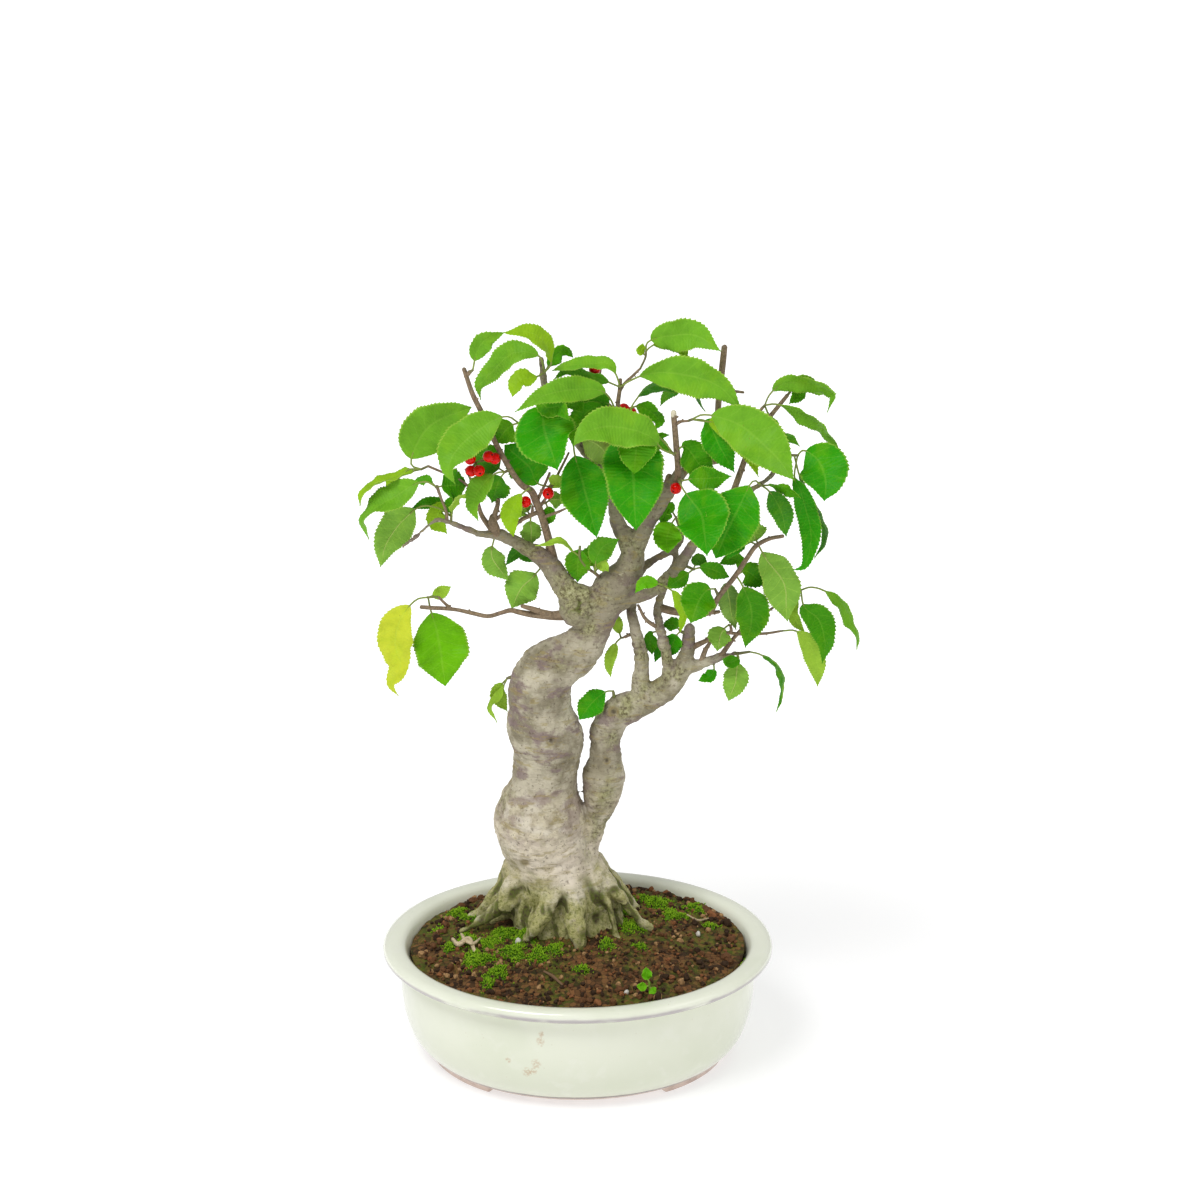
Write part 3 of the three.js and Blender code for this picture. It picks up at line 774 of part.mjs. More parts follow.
const grownTree = treeSolid(GAP);
const potBody = potSolid();
addPiece("pot", geometryOf(potBody), "glaze");
addPiece("drain_net_left", geometryOf(netSolid(-DRAIN_OFFSET)), "net");
addPiece("drain_net_right", geometryOf(netSolid(DRAIN_OFFSET)), "net");
const grownSeedling = limb(SEEDLING_STEM, { sides: 4, steps: 1, grow: GAP });
const soilBody = soilSolid(grownTree.add(grownSeedling));
addPiece("soil", geometryOf(soilBody), "soil");
addPiece("seedling", geometryOf(seedlingSolid()), "seedling");
addPiece("tree", geometryOf(treeSolid(0)), "bark");
for (const spray of SPRAYS) {
  const clear = largestBody(spraySolid(spray).subtract(grownTree));
  addPiece(spray[0], geometryOf(clear), "leaf");
}
for (const group of BERRIES) {
  const clear = largestBody(berrySolid(group).subtract(grownTree));
  addPiece(group[0], geometryOf(clear), "berry");
}

const box = new THREE.Box3().setFromObject(bonsai);
bonsai.position.set(-(box.min.x + box.max.x) / 2, -(box.min.y + box.max.y) / 2, 0);

export default bonsai;
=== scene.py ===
# %% [markdown]
# # A Japanese winterberry bonsai
#
# An old winterberry stands in an oval glazed pot: a thick bent trunk with a second stem, bare pruned
# twigs, sprays of toothed leaves and a few red berries. Its plain solids come from the CAD part. Here
# each gets its bark, veins, glaze and moss, in the same frame, so that every fine piece lies where
# its solid lies.

# %% The frame of solids
import math

import bpy
import numpy as np
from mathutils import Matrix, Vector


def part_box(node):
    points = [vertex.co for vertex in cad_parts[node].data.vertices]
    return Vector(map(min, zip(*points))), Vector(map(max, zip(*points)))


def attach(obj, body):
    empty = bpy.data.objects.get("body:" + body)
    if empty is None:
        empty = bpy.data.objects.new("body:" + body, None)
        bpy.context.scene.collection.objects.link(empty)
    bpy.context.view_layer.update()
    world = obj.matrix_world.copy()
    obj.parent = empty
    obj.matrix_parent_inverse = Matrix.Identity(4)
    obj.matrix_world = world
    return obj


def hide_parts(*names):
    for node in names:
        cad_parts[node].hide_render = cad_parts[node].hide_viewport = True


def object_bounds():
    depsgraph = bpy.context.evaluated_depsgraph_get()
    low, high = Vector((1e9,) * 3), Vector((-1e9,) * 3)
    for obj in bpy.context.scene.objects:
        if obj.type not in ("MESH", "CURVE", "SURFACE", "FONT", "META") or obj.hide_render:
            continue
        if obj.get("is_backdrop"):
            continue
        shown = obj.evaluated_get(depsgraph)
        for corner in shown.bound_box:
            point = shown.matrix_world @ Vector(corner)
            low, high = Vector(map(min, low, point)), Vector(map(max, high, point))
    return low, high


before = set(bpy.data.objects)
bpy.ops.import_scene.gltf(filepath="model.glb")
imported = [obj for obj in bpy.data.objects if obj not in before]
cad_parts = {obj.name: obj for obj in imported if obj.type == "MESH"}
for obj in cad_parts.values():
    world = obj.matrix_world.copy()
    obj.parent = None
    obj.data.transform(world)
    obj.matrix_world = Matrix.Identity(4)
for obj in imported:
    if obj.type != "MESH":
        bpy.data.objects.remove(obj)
solid_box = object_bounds()
print("solids in the frame:", len(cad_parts))

# %% [markdown]
# ## The view that the layout is read in
#
# Each twig and leaf is given by what the eye sees: u to the right and v up on a plane through the
# middle of the tree, in millimetres, and y, how deep it lies. A ray from the eye through (u, v) is
# followed to that depth. The same eye becomes the camera later, so a leaf stands where it is seen.

# %% From what is seen to where it is
MM = 0.001
LOOK = np.array([10.4, 0.0, 224.3])
TILT = math.radians(20)
DISTANCE = 1250.0
UP = np.array([0.0, math.sin(TILT), math.cos(TILT)])
AHEAD = np.array([0.0, math.cos(TILT), -math.sin(TILT)])
EYE = LOOK - DISTANCE * AHEAD
pot_low, pot_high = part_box("pot")
POT_CENTRE = np.array([(pot_low.x + pot_high.x) / 2, (pot_low.y + pot_high.y) / 2, 0.0])


def seen(spots):
    """Where the ray from the eye through (u, v) reaches depth y: eye + ray * (y - eye y) / ray y."""
    spots = np.asarray(spots, float)
    ray = LOOK + spots[..., 1:2] * UP + spots[..., 0:1] * np.array([1.0, 0.0, 0.0]) - EYE
    return EYE + ray * ((spots[..., 2] - EYE[1]) / ray[..., 1])[..., None]


def unit(vectors):
    """Each vector divided by its length."""
    return vectors / np.maximum(np.linalg.norm(vectors, axis=-1, keepdims=True), 1e-12)


print("pot centre in the frame, mm:", np.round(POT_CENTRE * 1000, 2))

# %% [markdown]
# ## Noise as whole arrays
#
# Bark, soil and moss need unevenness that is random but the same at every run. A hash turns the
# number of a lattice cell into a draw between 0 and 1. Blending the draws at the cell's corners gives
# soft lumps, and the distance to one random point in each cell gives grains with dark seams.

# %% Lumps and grains


def drawn(cells, seed):
    """A repeatable draw for whole-number cells: the share after the point of 43758.5 * sin(k . cell)."""
    return np.mod(np.sin(cells @ np.array([127.1, 311.7, 74.7]) + 53.3 * seed) * 43758.5453, 1.0)


def lumps(points, size, seed=0):
    """Soft noise from -1 to 1: draws at the corners of cubes of that size, blended by 3t^2 - 2t^3."""
    scaled = points / size
    base = np.floor(scaled)
    share = scaled - base
    share = share * share * (3 - 2 * share)
    total = np.zeros(points.shape[:-1])
    for corner in np.ndindex(2, 2, 2):
        total += np.prod(np.where(corner, share, 1 - share), axis=-1) * drawn(base + corner, seed)
    return 2 * total - 1


def grains(points, size, seed=0):
    """The distance to the nearest of one random point per cube, over the cube's size, and its draw."""
    scaled = points / size
    base = np.floor(scaled)
    nearest = np.full(points.shape[:-1], 9.0)
    tag = np.zeros(points.shape[:-1])
    for step in np.ndindex(3, 3, 3):
        cell = base + step - 1
        spot = cell + np.stack([drawn(cell, seed + k) for k in (1, 2, 3)], axis=-1)
        away = np.linalg.norm(spot - scaled, axis=-1)
        tag = np.where(away < nearest, drawn(cell, seed + 4), tag)
        nearest = np.minimum(away, nearest)
    return nearest, tag


print("noise check:", round(float(lumps(np.array([[1.0, 2.0, 3.0]]), 2.5)[0]), 3))

# %% [markdown]
# ## Surfaces out of grids
#
# Nearly all of it is made from two things: a grid of points, rows by columns, and a ring of points
# carried along a path. Parts are gathered in a Heap, which keeps for each point its place, its place
# on the pattern (the UV map) and a tone, and then becomes one mesh that sits at the origin.

# %% The heap that becomes a mesh


class Heap:
    """Points, faces, pattern places and tones of one piece, gathered part by part, in millimetres."""

    def __init__(self):
        self.points, self.faces, self.places, self.tones, self.count = [], [], [], [], 0

    def add(self, points, faces, places, tone):
        points = np.asarray(points, float).reshape(-1, 3)
        self.faces += [(np.asarray(part) + self.count).tolist() for part in faces if len(part)]
        self.points.append(points)
        self.places.append(np.broadcast_to(np.asarray(places, float), (len(points), 2)))
        self.tones.append(np.broadcast_to(np.asarray(tone, float), (len(points), 4)))
        self.count += len(points)

    def piece(self, name, finish, nodes=(), slot=None, smooth=True):
        """The mesh, riding on the object's one body and standing for the named solids."""
        mesh = bpy.data.meshes.new(name)
        points = np.concatenate(self.points) * MM + POT_CENTRE
        mesh.from_pydata(points.tolist(), [], [face for part in self.faces for face in part])
        corners = np.empty(len(mesh.loops), int)
        mesh.loops.foreach_get("vertex_index", corners)
        pattern = mesh.uv_layers.new(name="pattern")
        pattern.data.foreach_set("uv", np.concatenate(self.places)[corners].ravel())
        tones = mesh.attributes.new("tone", "FLOAT_COLOR", "POINT")
        tones.data.foreach_set("color", np.concatenate(self.tones).ravel())
        mesh.polygons.foreach_set("use_smooth", np.full(len(mesh.polygons), smooth))
        mesh.update()
        return place_piece(name, mesh, finish, nodes)


def place_piece(name, mesh, finish, nodes=()):
    """Puts a finished mesh in the scene with its material, on the root body, and hides the solids it stands
    for.
    """
    mesh.materials.clear()
    mesh.materials.append(finish)
    piece = bpy.data.objects.new(name, mesh)
    bpy.context.scene.collection.objects.link(piece)
    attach(piece, "root")
    if nodes:
        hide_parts(*nodes)
    return piece


# %% Faces of a grid and of a tube


def grid_faces(rows, columns, around=False):
    """The quads of a grid whose point (i, j) has number i * columns + j, closed round if asked."""
    i, j = np.meshgrid(np.arange(rows - 1), np.arange(columns if around else columns - 1), indexing="ij")
    k = (j + 1) % columns
    here, ahead = i * columns, (i + 1) * columns
    return np.stack([here + j, here + k, ahead + k, ahead + j], -1).reshape(-1, 4)


def fan_faces(ring, hub, outward=True):
    """Triangles from a closed ring of point numbers to the hub's number."""
    ring = np.asarray(ring)
    nxt = np.roll(ring, -1)
    hubs = np.full(len(ring), hub)
    return np.stack([ring, nxt, hubs] if outward else [nxt, ring, hubs], axis=-1)


# %% [markdown]
# ## A path through points
#
# A limb or a leaf's midrib is drawn through a few points. Between two of them runs a cubic whose
# tangents come from the neighbours on both sides, weighed by the root of their distances (a
# centripetal Catmull-Rom curve). It passes through every point and makes no loops, also where the
# points lie unevenly, and the CAD solids use the same curve.

# %% Paths and rings carried along them


def path_points(points, at):
    """The cubic between points i and i + 1 at share w: hermite blend of both ends and their tangents."""
    points = np.asarray(points, float)
    padded = np.vstack([2 * points[0] - points[1], points, 2 * points[-1] - points[-2]])
    first = np.clip(np.floor(at).astype(int), 0, len(points) - 2)
    w = (at - first)[:, None]
    p0, p1, p2, p3 = (padded[first + k] for k in range(4))
    spans = (p1 - p0, p2 - p1, p3 - p2)
    d0, d1, d2 = (np.sqrt(np.linalg.norm(span, axis=1))[:, None] for span in spans)
    t1 = ((p1 - p0) / d0 - (p2 - p0) / (d0 + d1) + (p2 - p1) / d1) * d1
    t2 = ((p2 - p1) / d1 - (p3 - p1) / (d1 + d2) + (p3 - p2) / d2) * d1
    return p1 + t1 * w + (3 * (p2 - p1) - 2 * t1 - t2) * w**2 + (2 * (p1 - p2) + t1 + t2) * w**3


def path_frames(path):
    """The direction at each point, and two side vectors carried along it without twist."""
    ahead = unit(np.gradient(path, axis=0))
    side = np.array([0.31, 0.87, 0.38])
    sides = []
    for direction in ahead:
        side = unit(side - side.dot(direction) * direction)
        sides.append(side)
    sides = np.array(sides)
    return ahead, sides, np.cross(ahead, sides)


def tube(heap, path, radii, columns, tone, waviness=0.0, seed=0, spot=(0.0, -1.0)):
    """A closed tube: path + r(t, a) * (side * cos a + other * sin a), with rounded ends."""
    ahead, side, other = path_frames(path)
    t = np.linspace(0, 1, len(path))
    turn = np.linspace(0, 2 * np.pi, columns, endpoint=False)
    wave = 0.6 * np.sin(3 * turn + 9 * t[:, None] + seed)
    wave = wave + 0.4 * np.sin(2 * turn - 7 * t[:, None] + 2 * seed)
    reach = np.asarray(radii)[:, None] * (1 + waviness * wave)
    out = side[:, None] * np.cos(turn)[:, None] + other[:, None] * np.sin(turn)[:, None]
    rings = path[:, None] + out * reach[..., None]
    caps = []
    for end, sign in ((0, -1), (-1, 1)):
        tip = path[end] + sign * ahead[end] * radii[end] * 0.75
        middle = path[end] + sign * ahead[end] * radii[end] * 0.55 + out[end] * reach[end][:, None] * 0.6
        caps.append((middle, tip))
    rows = np.concatenate([caps[0][0][None], rings, caps[1][0][None]])
    points = np.vstack([rows.reshape(-1, 3), caps[0][1], caps[1][1]])
    last = len(rows) * columns
    ring = np.arange(columns)
    faces = [grid_faces(len(rows), columns, around=True), fan_faces(ring, last, outward=False)]
    faces.append(fan_faces(ring + last - columns, last + 1))
    heap.add(points, faces, spot, tone)


def limb(heap, points, columns, tone, step=1.6, waviness=0.0, seed=0):
    """A tapering limb through rows of u, v, depth and radius."""
    rows = np.asarray(points, float)
    spots = seen(rows[:, :3])
    length = np.linalg.norm(np.diff(spots, axis=0), axis=1).sum()
    at = np.linspace(0, len(rows) - 1, max(int(length / step), 2 * len(rows)) + 1)
    radii = np.interp(at, np.arange(len(rows)), rows[:, 3])
    tube(heap, path_points(spots, at), radii, columns, tone, waviness, seed)


halfway = path_points([[0, 0, 0], [5, 0, 1], [9, 3, 2]], np.array([0.5]))
print("half a step along a path of 3 points:", halfway.round(2).tolist())

# %% [markdown]
# ## Materials as expressions
#
# A material is a net of nodes. Wire stands for one output of a node, and its operators add Math nodes,
# so a mask is written as it is thought. Colours are mixed by Mix nodes, because a Math node would turn
# them grey. Every pattern is laid on Object coordinates, which on these pieces are plain metres.

# %% A small language for materials


class Wire:
    """One output of a node. Sums and products with numbers or other wires add Math nodes."""

    def __init__(self, finish, socket):
        self.finish, self.socket = finish, socket

    def math(self, operation, *values):
        return self.finish.add("ShaderNodeMath", {"operation": operation}, dict(enumerate(values)))

    def __add__(self, other):
        return self.math("ADD", self, other)

    def __sub__(self, other):
        return self.math("SUBTRACT", self, other)

    def __rsub__(self, other):
        return self.math("SUBTRACT", other, self)

    def __mul__(self, other):
        return self.math("MULTIPLY", self, other)

    def __truediv__(self, other):
        return self.math("DIVIDE", self, other)

    def __pow__(self, other):
        return self.math("POWER", self, other)

    __radd__, __rmul__ = __add__, __mul__

    def between(self, low, high):
        """0 below low, 1 above high and a soft step between them (or the other way round)."""
        settings = {"interpolation_type": "SMOOTHSTEP"}
        if low > high:
            return 1 - self.between(high, low)
        return self.finish.add("ShaderNodeMapRange", settings, {0: self, 1: low, 2: high, 3: 0.0, 4: 1.0})

    def size(self):
        return self.math("ABSOLUTE", self)

    def share(self):
        return self.math("FRACT", self)

    def held(self):
        """The value kept between 0 and 1."""
        return self.math("MINIMUM", self.math("MAXIMUM", self, 0.0), 1.0)


class Finish:
    """A material being written, with one Principled shader at its end."""

    def __init__(self, name, **constants):
        self.material = bpy.data.materials.new(name)
        self.material.use_nodes = True
        self.nodes = self.material.node_tree.nodes
        self.nodes.clear()
        self.end = self.nodes.new("ShaderNodeOutputMaterial")
        self.shader = self.nodes.new("ShaderNodeBsdfPrincipled")
        self.link(self.shader.outputs[0], self.end.inputs["Surface"])
        for name, value in constants.items():
            self.shader.inputs[name.replace("_", " ")].default_value = value

    def link(self, output, socket):
        self.material.node_tree.links.new(output, socket)

    def add(self, kind, settings=None, values=None, output=0):
        """Any node: its type, its settings, which are set first, and the values or wires of its inputs."""
        node = self.nodes.new(kind)
        for name, value in (settings or {}).items():
            if name == "stops":
                for stop, (place, colour) in zip(self.stops(node, len(value)), value):
                    stop.position, stop.color = place, (*colour, 1.0)
            else:
                setattr(node, name, value)
        for name, value in (values or {}).items():
            self.put(node.inputs[name], value)
        return Wire(self, node.outputs[output])

    def stops(self, node, count):
        while len(node.color_ramp.elements) < count:
            node.color_ramp.elements.new(1.0)
        return node.color_ramp.elements

    def put(self, socket, value):
        if isinstance(value, Wire):
            self.link(value.socket, socket)
        elif socket.type == "RGBA":
            socket.default_value = (*value, 1.0)
        else:
            socket.default_value = value

    def where(self):
        return self.add("ShaderNodeTexCoord", output="Object")

    def along(self, vector, axis):
        return self.add("ShaderNodeSeparateXYZ", None, {0: vector}, axis)

    def cloud(self, size_mm, detail=3.0, roughness=0.55, stretch=(1, 1, 1), shift=0.0):
        """Soft noise around 0.5 with lumps of that size, stretched along the axes."""
        scaled = self.add("ShaderNodeMapping", None, {0: self.where(), 1: (shift, 0, 0), 3: stretch})
        values = {"Vector": scaled, "Scale": 1000 / size_mm, "Detail": detail, "Roughness": roughness}
        return self.add("ShaderNodeTexNoise", None, values)

    def cells(self, size_mm, feature="F1", output="Distance", stretch=(1, 1, 1)):
        """Cells of that size: the distance to their seed or edge, or a random colour."""
        scaled = self.add("ShaderNodeMapping", None, {0: self.where(), 3: stretch})
        values = {"Vector": scaled, "Scale": 1000 / size_mm}
        return self.add("ShaderNodeTexVoronoi", {"feature": feature}, values, output)

    def tone(self, output="Color"):
        """The tone that the Heap keeps for each point, or its alpha."""
        return self.add("ShaderNodeAttribute", {"attribute_name": "tone"}, output=output)

    def tone_part(self, channel):
        """The tone's red, green or blue share: channel 0, 1 or 2."""
        return self.add("ShaderNodeSeparateColor", None, {0: self.tone()}, channel)

    def mix(self, share, first, second, blend="MIX"):
        """The first colour where share is 0 and the second where it is 1."""
        settings = {"data_type": "RGBA", "blend_type": blend, "clamp_factor": True}
        return self.add("ShaderNodeMix", settings, {0: share, 6: first, 7: second}, 2)

    def feed(self, **wires):
        """Links wires to the shader's sockets, such as Base_Color or Roughness."""
        for name, wire in wires.items():
            self.put(self.shader.inputs[name.replace("_", " ")], wire)
        return self.material

    def relief(self, height, depth_mm, strength=1.0, under=None):
        """A Bump node: the height, from 0 to 1, stands depth_mm out of the surface."""
        values = {"Height": height, "Distance": depth_mm * MM, "Strength": strength}
        if under:
            values["Normal"] = under
        return self.add("ShaderNodeBump", None, values)


def paint(red, green, blue):
    """A colour given as on a screen, 0 to 255, in the linear values that shaders use."""
    shares = np.array([red, green, blue]) / 255
    return tuple(np.where(shares <= 0.04045, shares / 12.92, ((shares + 0.055) / 1.055) ** 2.4))


print("pale glaze in linear values:", np.round(paint(232, 236, 218), 3))

# %% [markdown]
# ## The pot
#
# The pot is thrown stoneware, pressed oval, with a rim that turns outwards and four low feet. A lathe
# does the same here: a profile is turned round the axis, squeezed in depth, and the foot ring lifted
# where it is cut away between the feet. The drain holes are cut by two cylinders, as a potter would.

# %% The pot's wall
POT_LENGTH = 182.5
POT_DEPTH = 150.0
SQUEEZE = POT_DEPTH / POT_LENGTH
FOOT_HEIGHT = 3.6
DRAIN_HOLE = 9.0
DRAIN_OFFSET = 30.0
FRONT_ARCH = 39.0
END_ARCH = 12.0
ARCH_HEIGHT = 2.5
ARCH_SLOPE = 1.4
RING_INSIDE = 59.0
PROFILE = [
    [0, 2.4], [30, 2.4], [59.4, 2.4], [60.4, 1.8], [61.3, 0.5], [62.2, 0], [65, 0], [68.6, 0], [69.8, 0.5],
    [70.4, 2], [71.2, 3.6], [73.6, 5.8], [76.4, 9], [78.8, 13], [80.6, 18], [82, 24], [82.8, 31], [83, 37],
    [82.9, 42], [82.3, 46.4], [82.4, 48.3], [84.2, 49.4], [87.4, 49.9], [89.8, 50.7], [91.0, 52.0],
    [91.1, 53.4], [90.3, 54.9], [88.6, 55.8], [86.4, 56], [84, 55.9], [82, 55.4], [80.5, 54.1], [78.9, 50],
    [77.7, 44], [76.2, 32], [74.6, 20], [70.4, 11.5], [65.5, 8.3], [30, 8], [0, 8],
]


def lathe(profile, around, per_step=2):
    """The points (r cos a, squeeze r sin a, z) of a profile turned round the axis, pole to pole."""
    profile = np.array(profile, float)
    at = np.linspace(0, len(profile) - 1, per_step * (len(profile) - 1) + 1)
    r, z = (np.interp(at, np.arange(len(profile)), column) for column in profile.T)
    turn = np.linspace(0, 2 * np.pi, around, endpoint=False)
    x = r[:, None] * np.cos(turn)
    y = r[:, None] * np.sin(turn) * SQUEEZE
    return np.stack([x, y, np.broadcast_to(z[:, None], x.shape)], axis=-1)


def drilled(piece, cutters):
    """The piece's mesh after the cutters are taken away from it."""
    for cutter in cutters:
        cut = piece.modifiers.new("hole", "BOOLEAN")
        cut.object, cut.solver = cutter, "EXACT"
    view = bpy.context.evaluated_depsgraph_get()
    mesh = bpy.data.meshes.new_from_object(piece.evaluated_get(view))
    piece.modifiers.clear()
    piece.data = mesh
    for cutter in cutters:
        bpy.data.objects.remove(cutter)
    return piece


AROUND = 300
wall = lathe(PROFILE, AROUND)
wall_reach = np.hypot(wall[..., 0], wall[..., 1] / SQUEEZE)
ring_part = np.clip((FOOT_HEIGHT - wall[..., 2]) / FOOT_HEIGHT, 0, 1) * (wall_reach > RING_INSIDE)
front_arch = 1 - np.clip((np.abs(wall[..., 0]) - FRONT_ARCH) / ARCH_SLOPE, 0, 1)
end_arch = 1 - np.clip((np.abs(wall[..., 1]) - END_ARCH) / ARCH_SLOPE, 0, 1)
wall[..., 2] += ring_part * np.maximum(front_arch, end_arch) * ARCH_HEIGHT
wobble = 0.18 * lumps(wall, 34.0, 3) + 0.05 * lumps(wall, 7.0, 4)
wall[..., :2] *= (1 + wobble / 80)[..., None]
pot_heap = Heap()
rows = len(wall) - 2
pot_points = np.vstack([wall[1:-1].reshape(-1, 3), wall[0, 0], wall[-1, 0]])
first_ring = np.arange(AROUND)
pot_faces = [
    grid_faces(rows, AROUND, around=True),
    fan_faces(first_ring, rows * AROUND, outward=False),
    fan_faces(first_ring + (rows - 1) * AROUND, rows * AROUND + 1),
]
pot_heap.add(pot_points, pot_faces, (0, 0), (1, 1, 1, 1))
print("pot wall:", len(pot_points), "points")

# %% [markdown]
# ## The pot's glaze
#
# The glaze is a pale greenish cream that grows a little darker low down, and its edge over the foot
# has burnt to a purple brown. A lilac-grey band runs round the rim's outer edge, and under the rim
# runs a brownish line of painted shadow. The feet are bare pinkish clay. Height above the table picks
# the band, noise makes its edge run, and a few brown stains sit where the photograph has them on the
# front. Gloss comes from low roughness and a coat, with pale patches painted on as sheen.

# %% The glaze
CREAM = paint(235, 238, 220)
CREAM_LOW = paint(220, 224, 203)
GLAZE_EDGE = paint(92, 66, 62)
BARE_CLAY = paint(214, 190, 176)
STAIN = paint(186, 142, 88)
glaze = Finish("glaze", Coat_Weight=0.6, Coat_Roughness=0.06, Specular_IOR_Level=0.5)
height = glaze.along(glaze.where(), "Z") * 1000
sideways = glaze.along(glaze.where(), "X") * 1000
depth = glaze.along(glaze.where(), "Y") * 1000
run = glaze.cloud(9, 2.0) * 1.6 - 0.8
cloudy = glaze.cloud(38, 3.0)
painted_sheen = glaze.cloud(9, 3.0, shift=0.6)
# Darker towards the foot, by height.
body = glaze.mix(height.between(46.0, 6.0), CREAM, CREAM_LOW)
body = glaze.mix(cloudy.between(0.45, 0.75) * 0.35, body, paint(210, 217, 190))
speckle = glaze.cells(2.6).between(0.16, 0.06) * glaze.cloud(14, 2.0).between(0.52, 0.68)
body = glaze.mix(speckle * 0.3, body, paint(186, 168, 130))
# Painted sheen: paler patches stand in for the glaze's gloss.
body = glaze.mix(painted_sheen.between(0.55, 0.7) * 0.22, body, paint(240, 241, 230))
lip = (height - 51.7 - run * 0.5).size().between(2.4, 0.3)
from_centre = {0: sideways - POT_CENTRE[0] * 1000, 1: depth / SQUEEZE, 2: 0.0}
rounded = glaze.add("ShaderNodeCombineXYZ", None, from_centre)
outside = glaze.add("ShaderNodeVectorMath", {"operation": "LENGTH"}, {0: rounded}, "Value")
lip = lip * outside.between(88.6, 90.4) * glaze.cloud(24, 3.0, shift=0.2).between(0.24, 0.46)
body = glaze.mix(lip * 0.8, body, paint(160, 148, 158))
# Painted shadow: a brownish line under the rim's overhang.
painted_rim_shadow = (height - 50.3 - run * 0.3).size().between(0.9, 0.2) * outside.between(86.0, 88.0)
body = glaze.mix(painted_rim_shadow * 0.6, body, paint(128, 104, 96))
edge = (height - 4.6 - run * 0.5).size().between(1.3, 0.35)
body = glaze.mix(edge * 0.9, body, GLAZE_EDGE)
bare = height.between(4.3, 3.5)
clay = glaze.mix(glaze.cloud(6, 4.0).between(0.4, 0.65), BARE_CLAY, paint(186, 160, 146))
body = glaze.mix(bare, body, clay)
glaze_relief = glaze.relief(glaze.cloud(16, 2.0), 0.25, 0.35)
print("glaze nodes:", len(glaze.nodes))

# %% Stains on the front
STAINS = [
    (-26.4, -193.5, 1.5), (-26.9, -196.6, 2.2), (-28.7, -206.9, 2.6),
    (-30.0, -210.5, 2.0), (-32.7, -211.4, 2.4), (-41.2, -206.9, 1.5),
]
FRONT_DEPTH = -64.0
for u, v, wide in STAINS:
    on_wall = seen([u, v, FRONT_DEPTH]) + POT_CENTRE * 1000
    across = (sideways - on_wall[0] + run * 1.2) / wide
    upward = (height - on_wall[2] + run * 1.5) / (wide * 1.2)
    away = across * across + upward * upward + glaze.cloud(1.8, 3.0) * 1.4 - 0.7
    spot = away.between(1.1, 0.1) * depth.between(0.0, -10.0)
    spot = spot * glaze.cloud(1.1, 3.0, shift=0.1).between(0.35, 0.6)
    body = glaze.mix(spot * 0.5, body, STAIN)
glaze.feed(Base_Color=body, Roughness=bare * 0.5 + cloudy * 0.1 + 0.12, Normal=glaze_relief)
pot = pot_heap.piece("glazed_pot", glaze.material, ["pot"], "glaze")
cutters = []
for side in (-1, 1):
    drill = Heap()
    through = np.array([[side * DRAIN_OFFSET, 0, z] for z in (-4.0, 5.0, 14.0)])
    tube(drill, through, [DRAIN_HOLE] * 3, 48, (1, 1, 1, 1))
    cutter = drill.piece(f"drill_{side}", glaze.material)
    cutters.append(cutter)
pot = drilled(pot, cutters)
print("pot faces:", len(pot.data.polygons))

# %% [markdown]
# ## The drain nets
#
# A square of black plastic net lies over each hole, under the soil, so that it stays in. It is a plain
# solid with flat bars, so the CAD mesh is kept and only gets its plastic: dark, slightly scuffed and
# dusted with soil.

# %% Net plastic on the CAD nets
plastic = Finish("net plastic", Specular_IOR_Level=0.4)
dust = plastic.cloud(3, 4.0).between(0.42, 0.7)
plastic.feed(
    Base_Color=plastic.mix(dust * 0.6, paint(38, 40, 42), paint(92, 74, 58)),
    Roughness=dust * 0.3 + 0.42,
    Normal=plastic.relief(plastic.cloud(1.2, 2.0), 0.1, 0.5),
)
for name in ("drain_net_left", "drain_net_right"):
    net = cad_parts[name]
    net.data.materials.clear()
    net.data.materials.append(plastic.material)
print("nets finished")

# %% [markdown]
# ## The soil
#
# Granules of dark red-brown clay fill the pot up to its rim and rise to a broad mound round the trunk.
# The body is a closed surface: a fine field of heights on top, with grains pressed into it, and the
# wall and floor that the pot hides. Loose granules of a few dozen faces each lie on it later.

# %% Height of the soil
SOIL_BASE = 52.6
MOUND = 11.0
MOUND_SPREAD = 36.0
MOUND_AT = (-4.0, 20.0)


def soil_height(x, y):
    """base + mound * exp(-d^2 / 2 spread^2) * (1 - edge^8) about the trunk + a slight lean + crumbs."""
    away = (x - MOUND_AT[0]) ** 2 + (y - MOUND_AT[1]) ** 2
    edge = np.minimum(np.hypot(x, y / SQUEEZE) / 78, 1)
    mound = MOUND * np.exp(-away / (2 * MOUND_SPREAD**2)) * (1 - edge**8)
    crumbs = 0.7 * np.sin(0.31 * x + 0.23 * y) * np.sin(0.27 * y - 0.19 * x + 1.3)
    crumbs = crumbs + 0.4 * np.sin(0.8 * x) * np.sin(0.7 * y)
    return SOIL_BASE + mound + 0.8 * x / 78 + 0.6 * y / 63 + 0.8 * crumbs


def on_soil(u, v):
    """The first spot where the ray through (u, v) comes down to the soil, nearest first."""
    depths = np.linspace(-64, 64, 600)
    spots = seen(np.stack([np.full_like(depths, u), np.full_like(depths, v), depths], axis=-1))
    above = spots[:, 2] - soil_height(spots[:, 0], spots[:, 1])
    return spots[np.argmax(above < 0)]


SOIL_RINGS = 96
SOIL_AROUND = 300
soil_turn = np.linspace(0, 2 * np.pi, SOIL_AROUND, endpoint=False)


def soil_rings(radii, heights):
    """Oval rings of those radii at those heights, or on the field of heights where none is given."""
    x = radii[:, None] * np.cos(soil_turn)
    y = radii[:, None] * np.sin(soil_turn) * SQUEEZE
    z = soil_height(x, y) if heights is None else heights[:, None] + 0 * x
    return np.stack([x, y, z], axis=-1)


